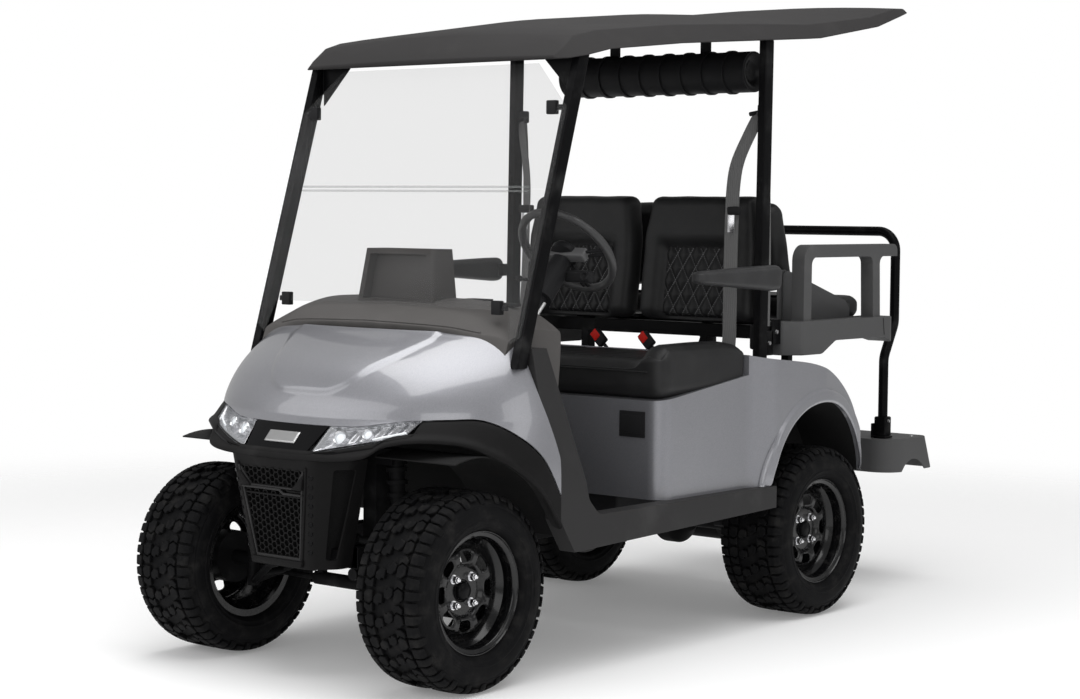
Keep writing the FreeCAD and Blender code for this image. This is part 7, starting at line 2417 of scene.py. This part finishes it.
    def studs(self) -> None:
        """Columns of small hexagons beside the front edges."""
        form, skin = Form(), Skin("lower_fascia")
        for side in (-1, 1):
            for i in range(9):
                z = mix(0.372, 0.585, i / 8)
                x = mix(0.118, 0.155, (z - 0.33) / 0.3)
                found = skin.hit(spot((side * x, -0.5, z)), Vector((0, 1, 0)))
                if found:
                    form.bolt(self.stud, *found)
        form.finish("fascia_hexagons", GLOSS_BLACK, "cart", (), 30.0)

    def build(self) -> None:
        """Builds the grille."""
        form = Form()
        self.honeycomb(form, (0.0865, 0.352), (0.1165, 0.538))
        self.honeycomb(form, (0.118, 0.553), (0.1255, 0.603))
        form.finish("grille_honeycomb", TRIM, "cart", ("grille",), 40.0)
        self.bars()
        self.backing()
        self.studs()


NODE_FINISHES: dict[str, Finish] = {
    "front_cowl": PAINT, "rear_body": PAINT, "fascia_band": TRIM, "fender_flares": TRIM, "lower_fascia": TRIM,
    "grille": SATIN_BLACK, "badge_panel": GLOSS_BLACK, "headlamps": LENS, "wheel_liners": LINER, "dash": DASH_WITH_PAINTED_SHEEN,
    "dash_pod": DASH_WITH_PAINTED_SHEEN, "steering_wheel": SATIN_BLACK, "steering_column": SATIN_BLACK, "floor_pan": LINER,
    "floor_mat": MAT, "pedals": STEEL, "rockers": TRIM, "battery": SATIN_BLACK, "front_cushion": SEAT_VINYL,
    "seat_backs": SEAT_VINYL, "rear_seat_backs": SEAT_VINYL, "rear_cushion": SEAT_VINYL,
                                    "armrests": SEAT_VINYL,
    "seat_frame": STEEL, "rear_trays": TRAY, "grab_bar": STEEL, "foot_step": TRAY, "front_posts": STEEL,
    "rear_posts": STEEL, "windshield_lower": SCREEN, "windshield_upper": SCREEN, "roof": ROOF,
    "sound_bar": SATIN_BLACK, "seat_belts": WEBBING, "rear_shocks": SATIN_BLACK, "leaf_springs": CHASSIS,
    "tyre_front_left": TYRE, "tyre_front_right": TYRE, "tyre_rear_left": TYRE, "tyre_rear_right": TYRE,
    "rim_front_left": WHEEL_ENAMEL, "rim_front_right": WHEEL_ENAMEL, "rim_rear_left": WHEEL_ENAMEL,
    "rim_rear_right": WHEEL_ENAMEL,
}
ASSEMBLIES: tuple[Assembly, ...] = (
    Nose(), Wheels(), Grille(), Seats(), Tub(), Cabin(), Rear(), Top(), Belts(), Running())


@dataclass
class Studio:
    """Camera, floor, world and lamps."""

    camera_place: Triple = (4.542, -5.76125, 1.333)
    yaw: float = 39.49
    pitch: float = 3.6
    roll: float = 0.51
    lens: float = 74.687
    sensor: float = 36.0

    def camera(self) -> None:
        """Sets the camera where the picture was taken from."""
        data = bpy.data.cameras.new("view")
        data.lens = self.lens
        data.sensor_width = self.sensor
        data.clip_end = 60.0
        camera = bpy.data.objects.new("view", data)
        yaw, pitch = math.radians(self.yaw), math.radians(self.pitch)
        look = Vector((-math.sin(yaw) * math.cos(pitch), math.cos(yaw) * math.cos(pitch), -math.sin(pitch)))
        camera.rotation_mode = "QUATERNION"
        camera.rotation_quaternion = look.to_track_quat("-Z", "Y") @ Quaternion((0, 0, 1),
                                                                                math.radians(self.roll))
        camera.location = self.camera_place
        bpy.context.scene.collection.objects.link(camera)
        bpy.context.scene.camera = camera

    def floor(self) -> None:
        """Adds a wide pale floor that keeps the shadow."""
        form = Form()
        form.sheet(1, 1, lambda u, v: Vector((u * 60 - 30, v * 60 - 30, -0.001)))
        mesh = bpy.data.meshes.new("floor")
        form.bm.to_mesh(mesh)
        form.bm.free()
        graph = Graph("floor_white")
        x, y, _ = graph.axes()
        reach = (x * x + y * y).maths("SQRT")
        mesh.materials.append(graph.surface({
            "Base Color": (0.86, 0.86, 0.86), "Roughness": 0.75, "Specular IOR Level": 0.2,
            "Emission Color": (1.0, 1.0, 1.0), "Emission Strength": 0.16, "Alpha": 1.0 - reach.ramp(2.6, 5.5),
        }))
        floor = bpy.data.objects.new("floor", mesh)
        bpy.context.scene.collection.objects.link(floor)

    def world(self) -> None:
        """White surroundings for the eye, dimmer as light and in reflections."""
        world = bpy.data.worlds.new("studio")
        bpy.context.scene.world = world
        world.use_nodes = True
        tree = world.node_tree
        tree.nodes.clear()
        path = tree.nodes.new("ShaderNodeLightPath")
        seen = tree.nodes.new("ShaderNodeMath")
        seen.operation = "MAXIMUM"
        tree.links.new(path.outputs["Is Camera Ray"], seen.inputs[0])
        tree.links.new(path.outputs["Is Transmission Ray"], seen.inputs[1])
        soft, white = tree.nodes.new("ShaderNodeBackground"), tree.nodes.new("ShaderNodeBackground")
        soft.inputs["Strength"].default_value = 0.42
        white.inputs["Strength"].default_value = 1.0
        for background in (soft, white):
            background.inputs["Color"].default_value = (1.0, 1.0, 1.0, 1.0)
        mixed = tree.nodes.new("ShaderNodeMixShader")
        output = tree.nodes.new("ShaderNodeOutputWorld")
        tree.links.new(seen.outputs[0], mixed.inputs[0])
        tree.links.new(soft.outputs[0], mixed.inputs[1])
        tree.links.new(white.outputs[0], mixed.inputs[2])
        tree.links.new(mixed.outputs[0], output.inputs["Surface"])

    def lamp(self, name: str, place: Triple, aim: Triple, size: Pair, power: float) -> None:
        """Adds a soft rectangular lamp.

        Args:
            name: Plain name.
            place: Where it hangs.
            aim: Point that it faces.
            size: Width and height in metres.
            power: Power in watts.
        """
        data = bpy.data.lights.new(name, "AREA")
        data.shape = "RECTANGLE"
        data.size, data.size_y = size
        data.energy = power
        lamp = bpy.data.objects.new(name, data)
        lamp.location = place
        lamp.rotation_mode = "QUATERNION"
        lamp.rotation_quaternion = (Vector(aim) - Vector(place)).to_track_quat("-Z", "Y")
        bpy.context.scene.collection.objects.link(lamp)

    def build(self) -> None:
        """Sets up the whole studio."""
        self.camera()
        self.floor()
        self.world()
        self.lamp("overhead", (0.5, -0.5, 5.0), (0.0, 0.0, 0.5), (5.0, 5.0), 245.0)
        self.lamp("near_fill", (4.2, -5.5, 2.2), (0.2, -0.2, 0.7), (4.0, 3.0), 60.0)
        self.lamp("front_soft", (-2.5, -6.0, 3.0), (0.0, -0.8, 0.7), (6.0, 4.5), 110.0)
        self.lamp("side_soft", (6.0, 0.5, 2.5), (0.0, 0.2, 0.8), (3.0, 2.5), 32.0)
        bpy.context.scene.view_settings.view_transform = "Standard"
        log.info("studio ready")


def dress_nodes() -> None:
    """Gives every node of the frame its finish."""
    for name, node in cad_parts.items():
        finish = NODE_FINISHES.get(name, CHASSIS)
        node.data.materials.clear()
        node.data.materials.append(finish.material())


def main() -> None:
    """Builds and dresses the cart, one sub-assembly after another."""
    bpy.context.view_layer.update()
    dress_nodes()
    for assembly in ASSEMBLIES:
        assembly.build()
        log.info("%s done", type(assembly).__name__)
    Studio().build()


if __name__ == "__main__":
    main()
